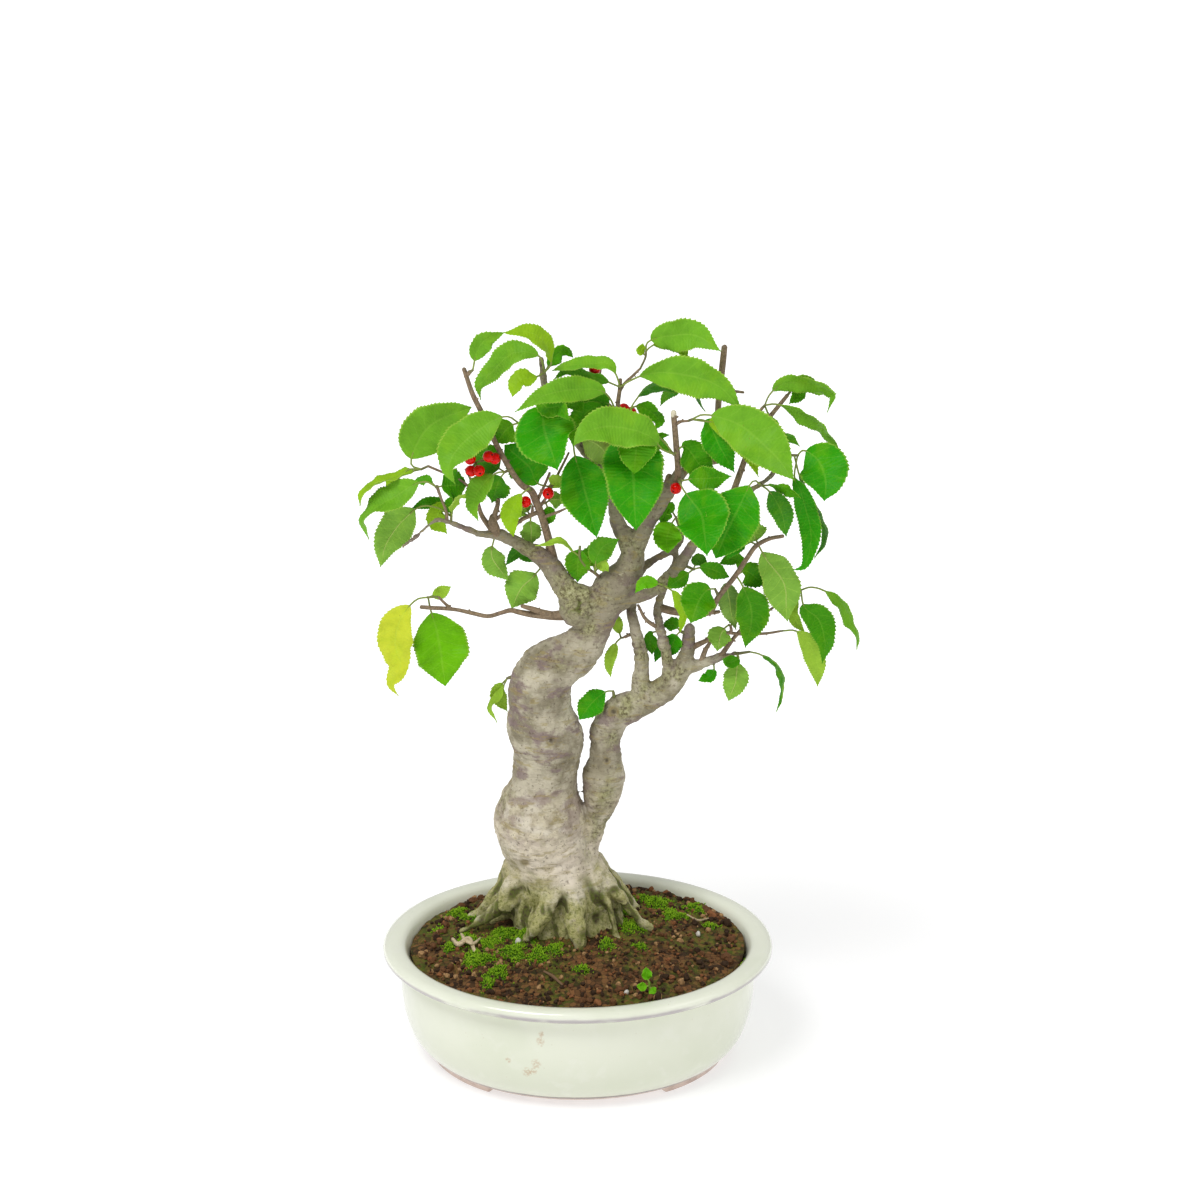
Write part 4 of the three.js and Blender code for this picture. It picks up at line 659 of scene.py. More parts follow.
hidden = soil_rings(np.array([64.0, 73.4, 76.6]), np.array([8.4, 20.0, 44.0]))
top = soil_rings(np.linspace(78.2, 0.8, SOIL_RINGS), None)
grain, _ = grains(top, 2.6, 5)
fine_grain, _ = grains(top, 1.3, 6)
top[..., 2] += 0.9 * (0.5 - grain) + 0.35 * (0.5 - fine_grain) - 0.6
soil_hubs = [[0, 0, 8.4], [0, 0, soil_height(0, 0)]]
soil_points = np.vstack([np.concatenate([hidden, top]).reshape(-1, 3), soil_hubs])
soil_rows = len(hidden) + len(top)
soil_ring = np.arange(SOIL_AROUND)
soil_faces = [
    grid_faces(soil_rows, SOIL_AROUND, around=True),
    fan_faces(soil_ring, soil_rows * SOIL_AROUND, outward=False),
    fan_faces(soil_ring + (soil_rows - 1) * SOIL_AROUND, soil_rows * SOIL_AROUND + 1),
]
soil_heap = Heap()
soil_heap.add(soil_points, soil_faces, (0, 0), (1, 1, 1, 1))
print("soil:", len(soil_points), "points")

# %% The soil's colour
earth = Finish("granular soil", Specular_IOR_Level=0.25)
clod = earth.cells(2.4, output="Color")
clod_share = earth.add("ShaderNodeSeparateColor", None, {0: clod})
EARTH_STOPS = [
    (0.0, paint(42, 30, 17)), (0.35, paint(84, 58, 32)), (0.6, paint(126, 86, 50)),
    (0.85, paint(100, 74, 42)), (1.0, paint(158, 124, 82)),
]
earth_share = clod_share * 0.8 + earth.cloud(1.1, 3.0) * 0.3 - 0.1
earth_colour = earth.add("ShaderNodeValToRGB", {"stops": EARTH_STOPS}, {0: earth_share})
# Painted shade: the seams between the granules are darkened.
painted_seam_shade = earth.cells(2.4, "DISTANCE_TO_EDGE").between(0.09, 0.0)
earth_colour = earth.mix(painted_seam_shade * 0.75, earth_colour, paint(26, 18, 10))
green_film = earth.cloud(20, 5.0, 0.65).between(0.42, 0.58) * earth.cloud(2, 3.0, shift=0.4).between(0.3, 0.6)
earth_colour = earth.mix(green_film * 0.6, earth_colour, paint(84, 104, 22))
earth.feed(
    Base_Color=earth_colour,
    Roughness=earth.cloud(2, 2.0) * 0.25 + 0.7,
    Normal=earth.relief(earth.cloud(0.7, 3.0), 0.25, 0.7),
)
soil = soil_heap.piece("soil_bed", earth.material, ["soil"], "soil")
print("soil faces:", len(soil.data.polygons))

# %% [markdown]
# ## Loose granules
#
# On the bed lie loose granules, angular but worn. Each is a ball of twenty triangles split once, its
# corners pushed in and out at random and squeezed, so that fifteen hundred stay light. They are
# sown by a seeded draw over the open soil, and the tree's foot keeps its own clear ground.

# %% One granule, sown many times
GOLD = (1 + 5**0.5) / 2


def ball_of_triangles():
    """The icosahedron's 12 corners and the middles of its 30 edges, all at distance 1, in 80 faces."""
    pairs = [(x, y) for x in (-1, 1) for y in (-GOLD, GOLD)]
    corners = [(x, y, 0) for x, y in pairs] + [(0, x, y) for x, y in pairs] + [(y, 0, x) for x, y in pairs]
    points = [np.array(corner, float) for corner in corners]

    def longest(*three):
        return max(np.linalg.norm(points[a] - points[b]) for a, b in zip(three, three[1:] + three[:1]))

    triples = [(i, j, k) for i in range(12) for j in range(i + 1, 12) for k in range(j + 1, 12)]
    faces, middles = [], {}
    for i, j, k in [three for three in triples if longest(*three) < 2.1]:
        if np.dot(np.cross(points[j] - points[i], points[k] - points[i]), points[i]) < 0:
            j, k = k, j
        m = []
        for a, b in ((i, j), (j, k), (k, i)):
            key = (min(a, b), max(a, b))
            if key not in middles:
                middles[key] = len(points)
                points.append((points[a] + points[b]) / 2)
            m.append(middles[key])
        faces += [(i, m[0], m[2]), (m[0], j, m[1]), (m[2], m[1], k), (m[0], m[1], m[2])]
    return unit(np.array(points)), np.array(faces)


BALL, BALL_FACES = ball_of_triangles()


def sown(heap, spots, sizes, tones, seed, lift=0.25):
    """At each spot a ball, every corner moved by up to a quarter, squeezed and turned at random."""
    dice = np.random.default_rng(seed)
    count = len(spots)
    shape = BALL * (1 + dice.uniform(-0.24, 0.24, (count, len(BALL), 1)))
    shape = shape * dice.uniform(0.65, 1.15, (count, 1, 3)) * sizes[:, None, None]
    turn = dice.uniform(0, 2 * np.pi, count)[:, None]
    x = shape[..., 0] * np.cos(turn) - shape[..., 1] * np.sin(turn)
    y = shape[..., 0] * np.sin(turn) + shape[..., 1] * np.cos(turn)
    placed = np.stack([x, y, shape[..., 2]], axis=-1) + spots[:, None]
    placed[..., 2] += (sizes * lift)[:, None]
    faces = (BALL_FACES[None] + len(BALL) * np.arange(count)[:, None, None]).reshape(-1, 3)
    heap.add(placed, [faces], (0, 0), np.repeat(tones, len(BALL), axis=0))


dice = np.random.default_rng(11)
across, along = dice.uniform(-1, 1, (2, 3800))
inside = np.hypot(across, along) < 1
x, y = across[inside] * 75.0, along[inside] * 75.0 * SQUEEZE
clear = np.hypot((x + 18) / 28, (y - 16) / 26) > 1
x, y = x[clear][:1500], y[clear][:1500]
rim_share = np.clip(np.hypot(x, y / SQUEEZE) / 75.0, 0, 1)
sizes = dice.uniform(0.5, 1.15, len(x)) ** 1.2
sizes = sizes * (0.8 + 1.7 * rim_share**3 * dice.uniform(0.0, 1.0, len(x)) ** 2)
bed = np.stack([x, y, soil_height(x, y) - 0.35], axis=-1)
shades = dice.choice(4, len(x), p=[0.42, 0.33, 0.15, 0.10])
GRANULES = np.array([paint(60, 42, 25), paint(108, 72, 43), paint(142, 92, 56), paint(176, 138, 94)])
granule_heap = Heap()
sown(granule_heap, bed, sizes, np.concatenate([GRANULES[shades], np.ones((len(x), 1))], axis=1), 12)
crumb = Finish("clay granules", Specular_IOR_Level=0.25)
crumb.feed(
    Base_Color=crumb.mix(crumb.cloud(0.9, 3.0).between(0.35, 0.75) * 0.45, crumb.tone(), paint(46, 30, 22)),
    Roughness=crumb.cloud(1.5) * 0.2 + 0.72,
    Normal=crumb.relief(crumb.cloud(0.5, 2.0), 0.12, 0.6),
)
granule_heap.piece("loose_granules", crumb.material, ["soil"], "soil", smooth=False)
print("granules:", len(x))

# %% [markdown]
# ## Moss
#
# Moss grows on the mound's left, at the trunk's foot and on the right. Close up it is a cushion of
# upright shoots. Each shoot here is a four-sided spike of a few faces, leaning a little outwards, sown
# in patches with ragged edges over a lumpy cushion, so the cushion reads as fur and not as paint.

# %% Moss patches: u, v, how wide, how deep and how tall
MOSS = [
    (-55, -161, 8, 5, 0.7), (-46, -167, 6, 4, 0.8), (-39, -158, 7, 5, 0.6), (-50, -172, 4, 3, 0.4),
    (-60, -153, 6, 5, 0.5), (-34, -151, 6, 4, 0.4), (-28, -159, 5, 4, 0.4), (24, -135, 10, 5, 0.6),
    (33, -141, 7, 4, 0.4), (14, -146, 7, 4, 0.3), (-8, -165, 4, 2.5, 0.2), (42, -138, 6, 4, 0.4),
    (-64, -140, 5, 4, 0.3), (66, -163, 3, 2, 0.3), (3, -154, 4, 3, 0.3), (-57, -142, 7, 4, 0.4),
    (-43, -149, 7, 4, 0.4), (-67, -155, 4, 3, 0.3), (-20, -156, 5, 3, 0.3), (18, -155, 4, 2, 0.2),
    (-72, -148, 3, 3, 0.2), (50, -146, 4, 2, 0.2), (-30, -146, 6, 3, 0.3), (10, -139, 5, 3, 0.3),
    (-50, -154, 6, 4, 0.4),
]
MOSS_DEPTH = 1.6
print("moss patches:", len(MOSS))

# %% The cushion under the fur


def ragged(turn, patch):
    """The outline's reach at that turn: 0.86 and two waves, of 3 and 7 lobes."""
    return 0.86 + 0.24 * np.sin(3 * turn + patch[0]) + 0.16 * np.sin(7 * turn + patch[1])


def add_cushion(heap, middle, patch, columns=48, rings=12):
    """A dome: the soil's height + (1.2 + 1.5 tall) * (1 - r^3) + lumps, over a ragged oval."""
    u, v, wide, deep, tall = patch
    turn, r = np.meshgrid(np.linspace(0, 2 * np.pi, columns, endpoint=False), np.linspace(1, 0.04, rings))
    x = middle[0] + np.cos(turn) * r * wide * ragged(turn, patch)
    y = middle[1] + np.sin(turn) * r * deep * MOSS_DEPTH * ragged(turn, patch)
    ground = soil_height(x, y)
    dome = ground - 1.2 + (1.2 + 1.5 * tall) * (1 - r**3)
    dome = dome + 0.25 * (1 - r) * lumps(np.stack([x, y, ground], -1), 2.2, 3)
    cushion = np.stack([x, y, dome], axis=-1).reshape(-1, 3)
    outer, count = np.arange(columns), len(cushion)
    faces = [
        grid_faces(rings, columns, around=True),
        fan_faces(outer + count - columns, count),
        fan_faces(outer, count + 1, outward=False),
    ]
    hubs = [[*middle[:2], dome[-1].mean() + 0.1], [*middle[:2], ground.min() - 1.6]]
    heap.add(np.vstack([cushion, hubs]), faces, (0, 0.2), (0.35, 0.4, 0.4, 1))


# %% The shoots of the fur
SHOOT_SIDES = np.array([[1, 0, 0], [0, 1, 0], [-1, 0, 0], [0, -1, 0]]) * 0.26
SHOOT_QUADS = np.array([[i, (i + 1) % 4, (i + 1) % 4 + 4, i + 4] for i in range(4)])
SHOOT_TIP = np.array([[i + 4, (i + 1) % 4 + 4, 8] for i in range(4)])
SHOOT_FOOT = np.array([[3, 2, 1, 0]])


def add_shoots(heap, middle, patch, dice):
    """Spikes of four sides, 9 points each: a foot, a wider middle and a tip, leaning outwards."""
    u, v, wide, deep, tall = patch
    count = int(wide * deep * 12)
    turn, away = dice.uniform(0, 2 * np.pi, count), np.sqrt(dice.uniform(0, 1.05, count))
    away = np.where(dice.uniform(0, 1, count) < 0.16, away * 1.7, away)
    x = middle[0] + np.cos(turn) * away * wide * ragged(turn, patch)
    y = middle[1] + np.sin(turn) * away * deep * MOSS_DEPTH * ragged(turn, patch)
    z = soil_height(x, y) - 1.3 + (1.2 + 1.5 * tall) * (1 - np.minimum(away, 1) ** 3)
    foot = np.stack([x, y, z], axis=-1)
    lean = np.stack([np.cos(turn) * 0.5 * away, np.sin(turn) * 0.5 * away, np.ones(count)], -1)
    lean = lean + dice.normal(0, 0.28, (count, 3))
    tips = foot + unit(lean) * dice.uniform(0.8, 1.9, count)[:, None]
    belly = foot * 0.45 + tips * 0.55
    points = [foot[:, None] + SHOOT_SIDES, belly[:, None] + SHOOT_SIDES * 1.25, tips[:, None]]
    first = 9 * np.arange(count)[:, None, None]
    faces = [(part + first).reshape(-1, part.shape[1]) for part in (SHOOT_QUADS, SHOOT_FOOT, SHOOT_TIP)]
    shade = np.repeat(dice.uniform(0.2, 1.0, count), 9)
    tone = np.stack([shade, shade, shade, np.ones(len(shade))], axis=-1)
    up_share = np.tile(np.repeat([0.15, 0.6, 1.0], [4, 4, 1]), count)
    heap.add(np.concatenate(points, axis=1), faces, np.stack([0 * up_share, up_share], axis=-1), tone)


moss_heap = Heap()
dice = np.random.default_rng(21)
for patch in MOSS:
    middle = on_soil(patch[0], patch[1])
    add_cushion(moss_heap, middle, patch)
    add_shoots(moss_heap, middle, patch, dice)
print("moss points:", moss_heap.count)

# %% The colour of moss
moss = Finish("moss", Specular_IOR_Level=0.2)
tip_share = moss.along(moss.add("ShaderNodeUVMap", {"uv_map": "pattern"}), "Y")
MOSS_STOPS = [
    (0.0, paint(36, 50, 10)), (0.4, paint(84, 126, 12)),
    (0.75, paint(132, 176, 24)), (1.0, paint(184, 208, 70)),
]
moss_share = tip_share * 0.5 + moss.tone_part(0) * 0.3 + moss.cloud(6, 3.0) * 0.45 - 0.12
moss.feed(
    Base_Color=moss.add("ShaderNodeValToRGB", {"stops": MOSS_STOPS}, {0: moss_share}),
    Roughness=moss.cloud(3) * 0.2 + 0.65,
    Normal=moss.relief(moss.cloud(0.8), 0.2, 0.6),
)
moss_piece = moss_heap.piece("moss_cushions", moss.material, ["soil"], "soil")
print("moss faces:", len(moss_piece.data.polygons))

# %% [markdown]
# ## The tree's bones
#
# The trunk leans left, turns, and ends in a fan of limbs, and a second stem rises beside it. A wood
# form like this could be sculpted. Here each limb is one tapering tube through listed points, and a
# fine voxel remesh melts the thick ones into one skin, with fillets in the forks as wood has. The thin
# twigs would be lost in the voxels, so they stay tubes that start inside the thick wood.

# %% Trunk, stems, limbs, twigs, roots and the flared foot as rows of u, v, depth and radius
TRUNK = [
  [-17, -160, 16, 11], [-17, -150, 16, 15], [-17.5, -140, 16, 18.5], [-18.5, -130, 16, 20.5],
  [-20.5, -120, 16, 21.6], [-22.5, -112, 16, 19.8], [-25.5, -105, 16, 21.2], [-27, -98, 16, 22],
  [-26.4, -90, 16, 19.7], [-25.2, -83, 16, 16], [-24.8, -76, 15, 14.8], [-24, -69, 15, 15.6],
  [-24, -62, 15, 17.2], [-26, -55, 15, 16.6], [-26.8, -47, 15, 14.4], [-27, -40.5, 14, 14.6],
  [-24.5, -33, 13, 13.6], [-18.5, -28, 12, 12.3], [-12, -24, 11, 10.8], [-6.3, -18.5, 10, 9],
  [-2, -12, 10, 7.9], [0.5, -5, 10, 8.4], [4, 2.5, 10, 8.8], [8.8, 8.3, 10, 8.2],
  [12.8, 14, 10, 6.7], [14.6, 20.5, 10, 5.7], [14.6, 26, 10, 4.7],
]
SECOND_STEM = [
  [-10, -116, 18, 8], [-4.5, -105, 17, 6], [-1.5, -98, 17, 5.6], [0, -92, 17, 7],
  [0.9, -85, 17, 9.5], [1.7, -78, 17, 10.1], [2.7, -71, 17, 7.5], [2.5, -64, 17, 6.9],
  [3.7, -57, 17, 7.9], [8, -50.5, 16, 7.7], [16, -46.8, 15, 7.4], [24, -43, 14, 6.6],
  [31, -38.4, 14, 5.6], [36, -32, 14, 4.9], [38.5, -25, 14, 3.9], [39.6, -18, 14, 3],
  [40, -12, 14, 2.4],
]
LIMBS = [
  [[-2, -6, 10, 6.5], [-9.5, -3.8, 9, 9.2], [-13, 0, 9, 6.5]],
  [[-8, 0, 9, 7.2], [-13, 3.2, 9, 6], [-17, 8.5, 9, 4.9], [-21.5, 14.5, 8, 4.5], [-27, 20, 8, 3.7],
    [-33, 23, 7, 3.2], [-40, 27, 6, 2.8], [-47, 29.3, 5, 2.2], [-54, 29.6, 4, 1.6], [-60, 32, 3, 1.3],
    [-69, 35.3, 2, 1], [-73, 35.8, 0, 0.8], [-78, 32.5, -2, 0.75], [-83, 28, -3, 0.7], [-88.5, 24, -4, 0.65]],
  [[4, -1.5, 8, 4.8], [9, -1, 7, 4], [13, 0.8, 7, 3.2], [18, 2, 7, 2.8], [24, 3.8, 8, 2.9], [28.5, 8, 9, 3],
    [33.5, 12.5, 9, 3], [37.5, 18.5, 8, 2.8], [42, 25, 6, 2.4], [49, 33, 2, 2], [57, 41, -2, 1.8],
    [65, 47.5, -4, 1.5], [72, 52, -5, 1.2], [77, 56, -5, 1.05], [80, 61, -4, 0.95], [83, 65, -4, 0.9]],
  [[19, -42, 14, 4.8], [18.5, -36, 14, 3.9], [19, -30, 13, 3.6], [18, -23, 13, 3.7], [16, -15, 13, 3.1],
    [14.3, -8, 15, 2.5], [13.8, -2, 19, 2.3], [15, 7, 21, 2.2], [20, 15, 20, 2], [28, 20, 17, 1.8],
    [33, 22.6, 15, 1.4], [36, 25.5, 14, 1.2], [37, 28.5, 13, 0.95]],
  [[31, -37, 14, 3.6], [30.5, -30, 13, 2.9], [29.5, -24, 12, 2.6], [27.7, -16, 12, 2.4], [26, -8, 14, 2.2],
    [26.3, -1, 17, 2.1], [29, 6, 18, 2], [32.5, 13, 18, 1.8], [33.8, 19, 17, 1.5], [34, 23.5, 16, 1.2]],
  [[13.6, 21, 10, 4.6], [12, 27, 10, 4.2], [8.5, 33, 10, 3.5], [6.8, 39, 10, 3], [6.3, 48, 11, 2.8],
    [5, 56, 12, 2.7], [0, 61, 13, 2.6], [-5, 65.5, 14, 2.4], [-10, 71, 14, 2.2], [-15, 79, 14, 2],
    [-20, 88, 13, 1.8], [-24.5, 95, 12, 1.7], [-25.5, 102, 11, 1.5], [-26.3, 108, 10, 1.4]],
  [[15, 21, 10, 4.6], [18, 28, 10, 4.2], [20.5, 33.5, 9, 3.9], [24.5, 40, 8, 3.7], [29, 47, 7, 3.5],
    [33.5, 53, 6, 3.2], [35.5, 57, 6, 2.5]],
  [[36, -31, 14, 3.6], [44, -29, 13, 3], [49, -27.3, 12, 2.1], [54, -25.2, 11, 1.6], [60.5, -24, 10, 1.2]],
]
TWIGS = [
  [[-18, 8, 10, 3], [-20, 13, 10, 2.7], [-21.3, 20, 10, 2.2], [-23.3, 28, 9, 1.9], [-26, 37, 7, 1.8],
    [-28.7, 44, 5, 1.8], [-31, 49, 4, 1.6], [-35, 51.5, 3, 1.3], [-41, 60, 2, 1.2], [-47.5, 72, 1, 1.15],
    [-53, 84, 1, 1.15], [-57, 92, 1, 1.1], [-61, 103.5, 1, 1]],
  [[-60, 100, 1, 0.8], [-58.3, 102.2, 0, 0.95]],
  [[-46.5, 29.5, 5, 2.3], [-48, 35, 4, 2.1], [-48, 37.5, 4, 1.6]],
  [[-49, 32, 5, 1.3], [-53, 38, 6, 1.1], [-54.8, 44, 7, 0.8], [-57, 49, 8, 0.65], [-58, 54, 8, 0.55],
    [-60.3, 58.6, 8, 0.5]],
  [[-57.2, 49.5, 8, 0.6], [-63, 54, 7, 0.55], [-70, 57, 6, 0.55], [-77, 60, 4, 0.55]],
  [[-47.8, 36, 4, 1.3], [-46.3, 41, 3, 1.1], [-45.5, 45, 3, 0.95]],
  [[-47, 36, 4, 0.9], [-43.5, 38.5, 2, 0.75], [-42, 40, 1, 0.6]],
  [[-25.5, 37, 7, 0.8], [-20, 39, 5, 0.65], [-15.6, 40.8, 4, 0.5]],
  [[-27, 39.5, 6, 1.1], [-31, 38, 4, 1], [-35, 36, 2, 0.95], [-38.7, 33, 1, 0.9]],
  [[-30.5, 38, 4, 0.7], [-30.2, 42, 4, 0.55]],
  [[-27.5, 41, 6, 0.9], [-23.5, 47, 8, 0.65], [-20.5, 53, 9, 0.6], [-17, 60, 10, 0.55], [-14, 66, 10, 0.5]],
  [[-28.6, 43.6, 5, 0.9], [-25.5, 50, 7, 0.65], [-22.5, 57, 8, 0.55]],
  [[-13.5, 6, 11, 2], [-13.3, 12, 11, 1.3], [-14, 18, 11, 0.8]],
  [[2, 8, 10, 1], [-2, 11.8, 8, 0.75], [-6, 14.5, 7, 0.6]],
  [[-12, -6, 9, 3], [-19.5, -7, 9, 2.2], [-25, -7, 8, 1.7], [-31, -6.5, 8, 1.4], [-36, -5.5, 7, 1.2],
    [-40, -4.6, 7, 1.1], [-44, -5.6, 6, 1], [-50, -7.2, 5, 1], [-57, -5.9, 4, 1], [-64, -4.4, 3, 0.9],
    [-70, -3.8, 3, 0.95], [-75, -3.6, 2, 0.95], [-80.2, -3.2, 2, 0.9]],
  [[-22, -6.4, 8, 1.5], [-28, -4.8, 7, 1.3], [-35, -2.6, 6, 0.95]],
  [[-66.5, -4.2, 3.1, 0.9], [-70, -1, 3, 0.65], [-72.5, 1.4, 2.4, 0.55]],
  [[-68.5, 35, 2, 0.85], [-69, 40, 1, 0.65], [-71, 45, 0, 0.6], [-73, 51, -1, 0.75]],
  [[5.3, 53, 12, 1.7], [9, 62, 12, 1.4], [9.5, 72, 11, 1.2], [8.2, 82, 10, 1.1], [8, 88, 9, 1],
    [8.8, 94, 8, 0.95], [9.2, 98.8, 8, 0.85]],
  [[8.6, 93, 8, 0.8], [11, 97, 7, 0.65], [15, 100.8, 6, 0.6], [18, 103.6, 5.2, 0.55]],
  [[8.2, 80, 10, 0.8], [4, 86, 12, 0.75], [0.5, 91, 13, 0.7], [-0.4, 97, 12, 0.7], [0.2, 104.5, 11, 0.6]],
  [[-19.5, 87, 13, 0.9], [-28, 84, 8, 0.65], [-34.3, 79, 3, 0.55]],
  [[29.5, 47, 7, 2.2], [31, 55.5, 7, 1.6]],
  [[33.5, 52, 6, 2.3], [38, 58, 8, 1.9], [45, 61.5, 14, 1.6], [53, 63, 17, 1.5], [53, 74, 18, 1.4],
    [53, 87, 17, 1.4], [54, 98, 15, 1.4], [55, 107, 14, 1.4], [55.8, 113.5, 13, 1.3]],
  [[34.8, 54, 3.5, 1.7], [35, 60, 1, 1.4], [34, 70, 0, 1.35], [33.3, 80, 0, 1.35], [33, 83, 0, 1.2]],
  [[33.4, 78.5, 0, 0.85], [36.5, 80, 0, 0.65], [39.5, 80.2, -1, 0.55]],
  [[53.4, 92, 16, 0.8], [59, 93.5, 14, 0.65], [64.3, 93, 12, 0.6]],
  [[54, 101, 14.6, 1.1], [51.2, 102, 14, 0.9]],
  [[18.6, 30, 10.5, 2.6], [18.8, 38, 13, 1.9], [20, 44.5, 14, 1.2], [23.5, 46.6, 13, 0.6]],
  [[57, 41, -2, 1.5], [62, 55, 0, 1.4], [67, 68, 2, 1.25], [72, 77, 4, 1.1], [76, 82, 5, 1], [80, 87, 5, 0.9],
    [84, 91.8, 5, 0.85]],
  [[72.2, 78, 4, 0.85], [71, 83.5, 4, 0.75], [72.8, 86.1, 4, 0.7]],
  [[27, -3.5, 16, 1.9], [32, -4.8, 14, 1.8], [37, -5.5, 12, 1.7], [44, -6, 8, 1.5], [49, -5.5, 5, 1.3],
    [53, 1.3, 2, 1.2], [60.5, 10.8, -2, 1.15], [66, 19, -4, 1.1], [70, 24.3, -5, 1.1], [76, 27.5, -6, 0.95],
    [82, 28.6, -7, 0.85]],
  [[48, -5.8, 5.5, 1.1], [53.4, -5.3, 5, 0.85]],
  [[26.8, -13.2, 12.8, 1], [20.5, -8.5, 10, 0.85], [17, -2.3, 8, 0.6]],
  [[13.5, -15.5, 13.5, 0.9], [10.5, -16.8, 13, 0.55]],
  [[42, -21, 13.5, 1.5], [48, -18, 10, 1.1], [53, -15.6, 8, 0.95], [58.5, -14.3, 6, 0.85],
    [58.5, -11.5, 6, 0.6]],
  [[54, -25, 11, 1.2], [58.5, -19, 9, 1.05], [61, -15.8, 8.4, 0.9], [64.3, -12, 8, 0.85]],
  [[45.5, -27, 12.5, 1.4], [48, -21, 13, 0.95], [50, -18.3, 13, 0.8]],
  [[57, -14.6, 6.8, 0.8], [66, -15.4, 9, 0.7], [74, -15, 10, 0.65], [80.5, -14, 9.4, 0.55]],
  [[66, -15.4, 9, 0.65], [72, -8, 12, 0.6], [78, -3, 13, 0.6], [84, 1.2, 12, 0.55], [88.6, 3.7, 11, 0.5]],
]
ROOTS = [
  [[-13, -128, 6, 9], [-12, -140, 1, 7.2], [-11, -149, -3, 5.4], [-10, -156, -6, 3.4], [-10, -163, -7, 2.6]],
  [[-24, -128, 8, 8], [-24.5, -139, 5, 6], [-27, -147, 2, 4.4], [-30, -152, 0, 3], [-33, -158, 0, 2.2]],
  [[-32, -126, 14, 9], [-39, -135, 13, 5.6], [-46, -141, 14, 3.6], [-52, -146, 14, 2.6], [-57, -151, 13, 2]],
  [[-36, -121, 19, 9], [-42, -130, 23, 5.6], [-49, -136.5, 25, 4], [-56, -142, 26, 2.8], [-61, -147, 26, 2]],
  [[-4, -124, 12, 8], [2.5, -133, 10, 4.8], [5.5, -141, 7, 3], [9.5, -148, 6, 2.2], [12, -153, 5, 1.7]],
  [[-3, -124, 17, 8], [7.5, -132, 21, 5.2], [13.5, -138, 23, 3.8], [20, -143, 24, 2.8], [26, -148, 24, 2]],
  [[-22, -120, 30, 8], [-26, -124, 40, 5.4], [-30, -128, 47, 3.6], [-33, -133, 51, 2.4]],
  [[-10, -122, 27, 8], [0, -128, 35, 5], [7, -132, 41, 3.4], [12, -137, 45, 2.4]],
]
SKIRT = [
    [-22, -106, 17, 18], [-21, -114, 17, 20.4], [-20, -120, 17.5, 22.4], [-18, -126, 18.5, 24.8],
    [-16.5, -132, 19.5, 27.2], [-15.5, -138, 20.5, 29.2], [-15, -147, 21, 31],
]
FIBRES = [
    [[-14, -126, 0, 4.5], [-12, -135, -5, 5], [-10.5, -144, -10, 4.8], [-9.5, -152, -13, 4],
      [-9, -159, -15, 2.6]],
    [[-20, -131, -3, 4], [-24, -139, -7, 4.2], [-29, -147, -9, 3.4], [-34, -153, -9, 2.2]],
    [[-36, -124, 6, 5], [-41, -133, 3, 4.6], [-47, -140, 2, 3.6], [-55, -145, 3, 2.4], [-62, -149, 4, 1.5]],
    [[-38, -120, 16, 4], [-44, -130, 17, 4], [-50, -137, 19, 3], [-57, -142, 21, 2]],
    [[0, -131, 0, 2.4], [3.4, -138, -2, 2.3], [6.4, -147, -4, 2], [8.6, -155, -5, 1.2]],
    [[5, -129, 5, 2.8], [11, -136, 4, 2.6], [17, -143, 4, 2], [23, -148, 5, 1.3]],
]
print("limbs:", len(LIMBS), "twigs:", len(TWIGS), "roots:", len(ROOTS))

# %% The thick wood melted into one skin
VOXEL = 0.82
thick = Heap()
WOOD = (1, 1, 1, 1)
limb(thick, TRUNK, 40, WOOD, waviness=0.035, seed=1.7)
limb(thick, SECOND_STEM, 32, WOOD, waviness=0.04, seed=3.4)
for number, points in enumerate(LIMBS):
    limb(thick, points, 20, WOOD, waviness=0.1, seed=number + 5.0)
for number, points in enumerate(ROOTS):
    limb(thick, points, 20, WOOD, waviness=0.08, seed=number + 50.0)
limb(thick, SKIRT, 48, WOOD, waviness=0.05, seed=4.4)
for number, points in enumerate(FIBRES):
    limb(thick, points, 14, WOOD, waviness=0.1, seed=number + 80.0)
mould = thick.piece("trunk_mould", bpy.data.materials.new("mould"))
remesh = mould.modifiers.new("melt", "REMESH")
remesh.mode, remesh.voxel_size, remesh.use_smooth_shade = "VOXEL", VOXEL * MM, True
melted = bpy.data.meshes.new_from_object(mould.evaluated_get(bpy.context.evaluated_depsgraph_get()))
bpy.data.objects.remove(mould)
print("melted wood:", len(melted.vertices), "points", len(melted.polygons), "faces")

# %% [markdown]
# ## Bark
#
# Winterberry bark is thin and grey, with low lumps, cross-lying pores and old pruning scars, and it
# breaks into fibres where the roots begin. Every point of the skin moves along its own normal by sums
# of soft noise, with finer noise added where the wood is rough: the foot, the burl and the knots.

# %% Lumps, fibres and knots pressed into the skin


def near(points, spot, reach):
    """exp(-(distance / reach)^2) round a spot given as u, v and depth."""
    away = np.linalg.norm(points - seen(spot), axis=-1)
    return np.exp(-((away / reach) ** 2))


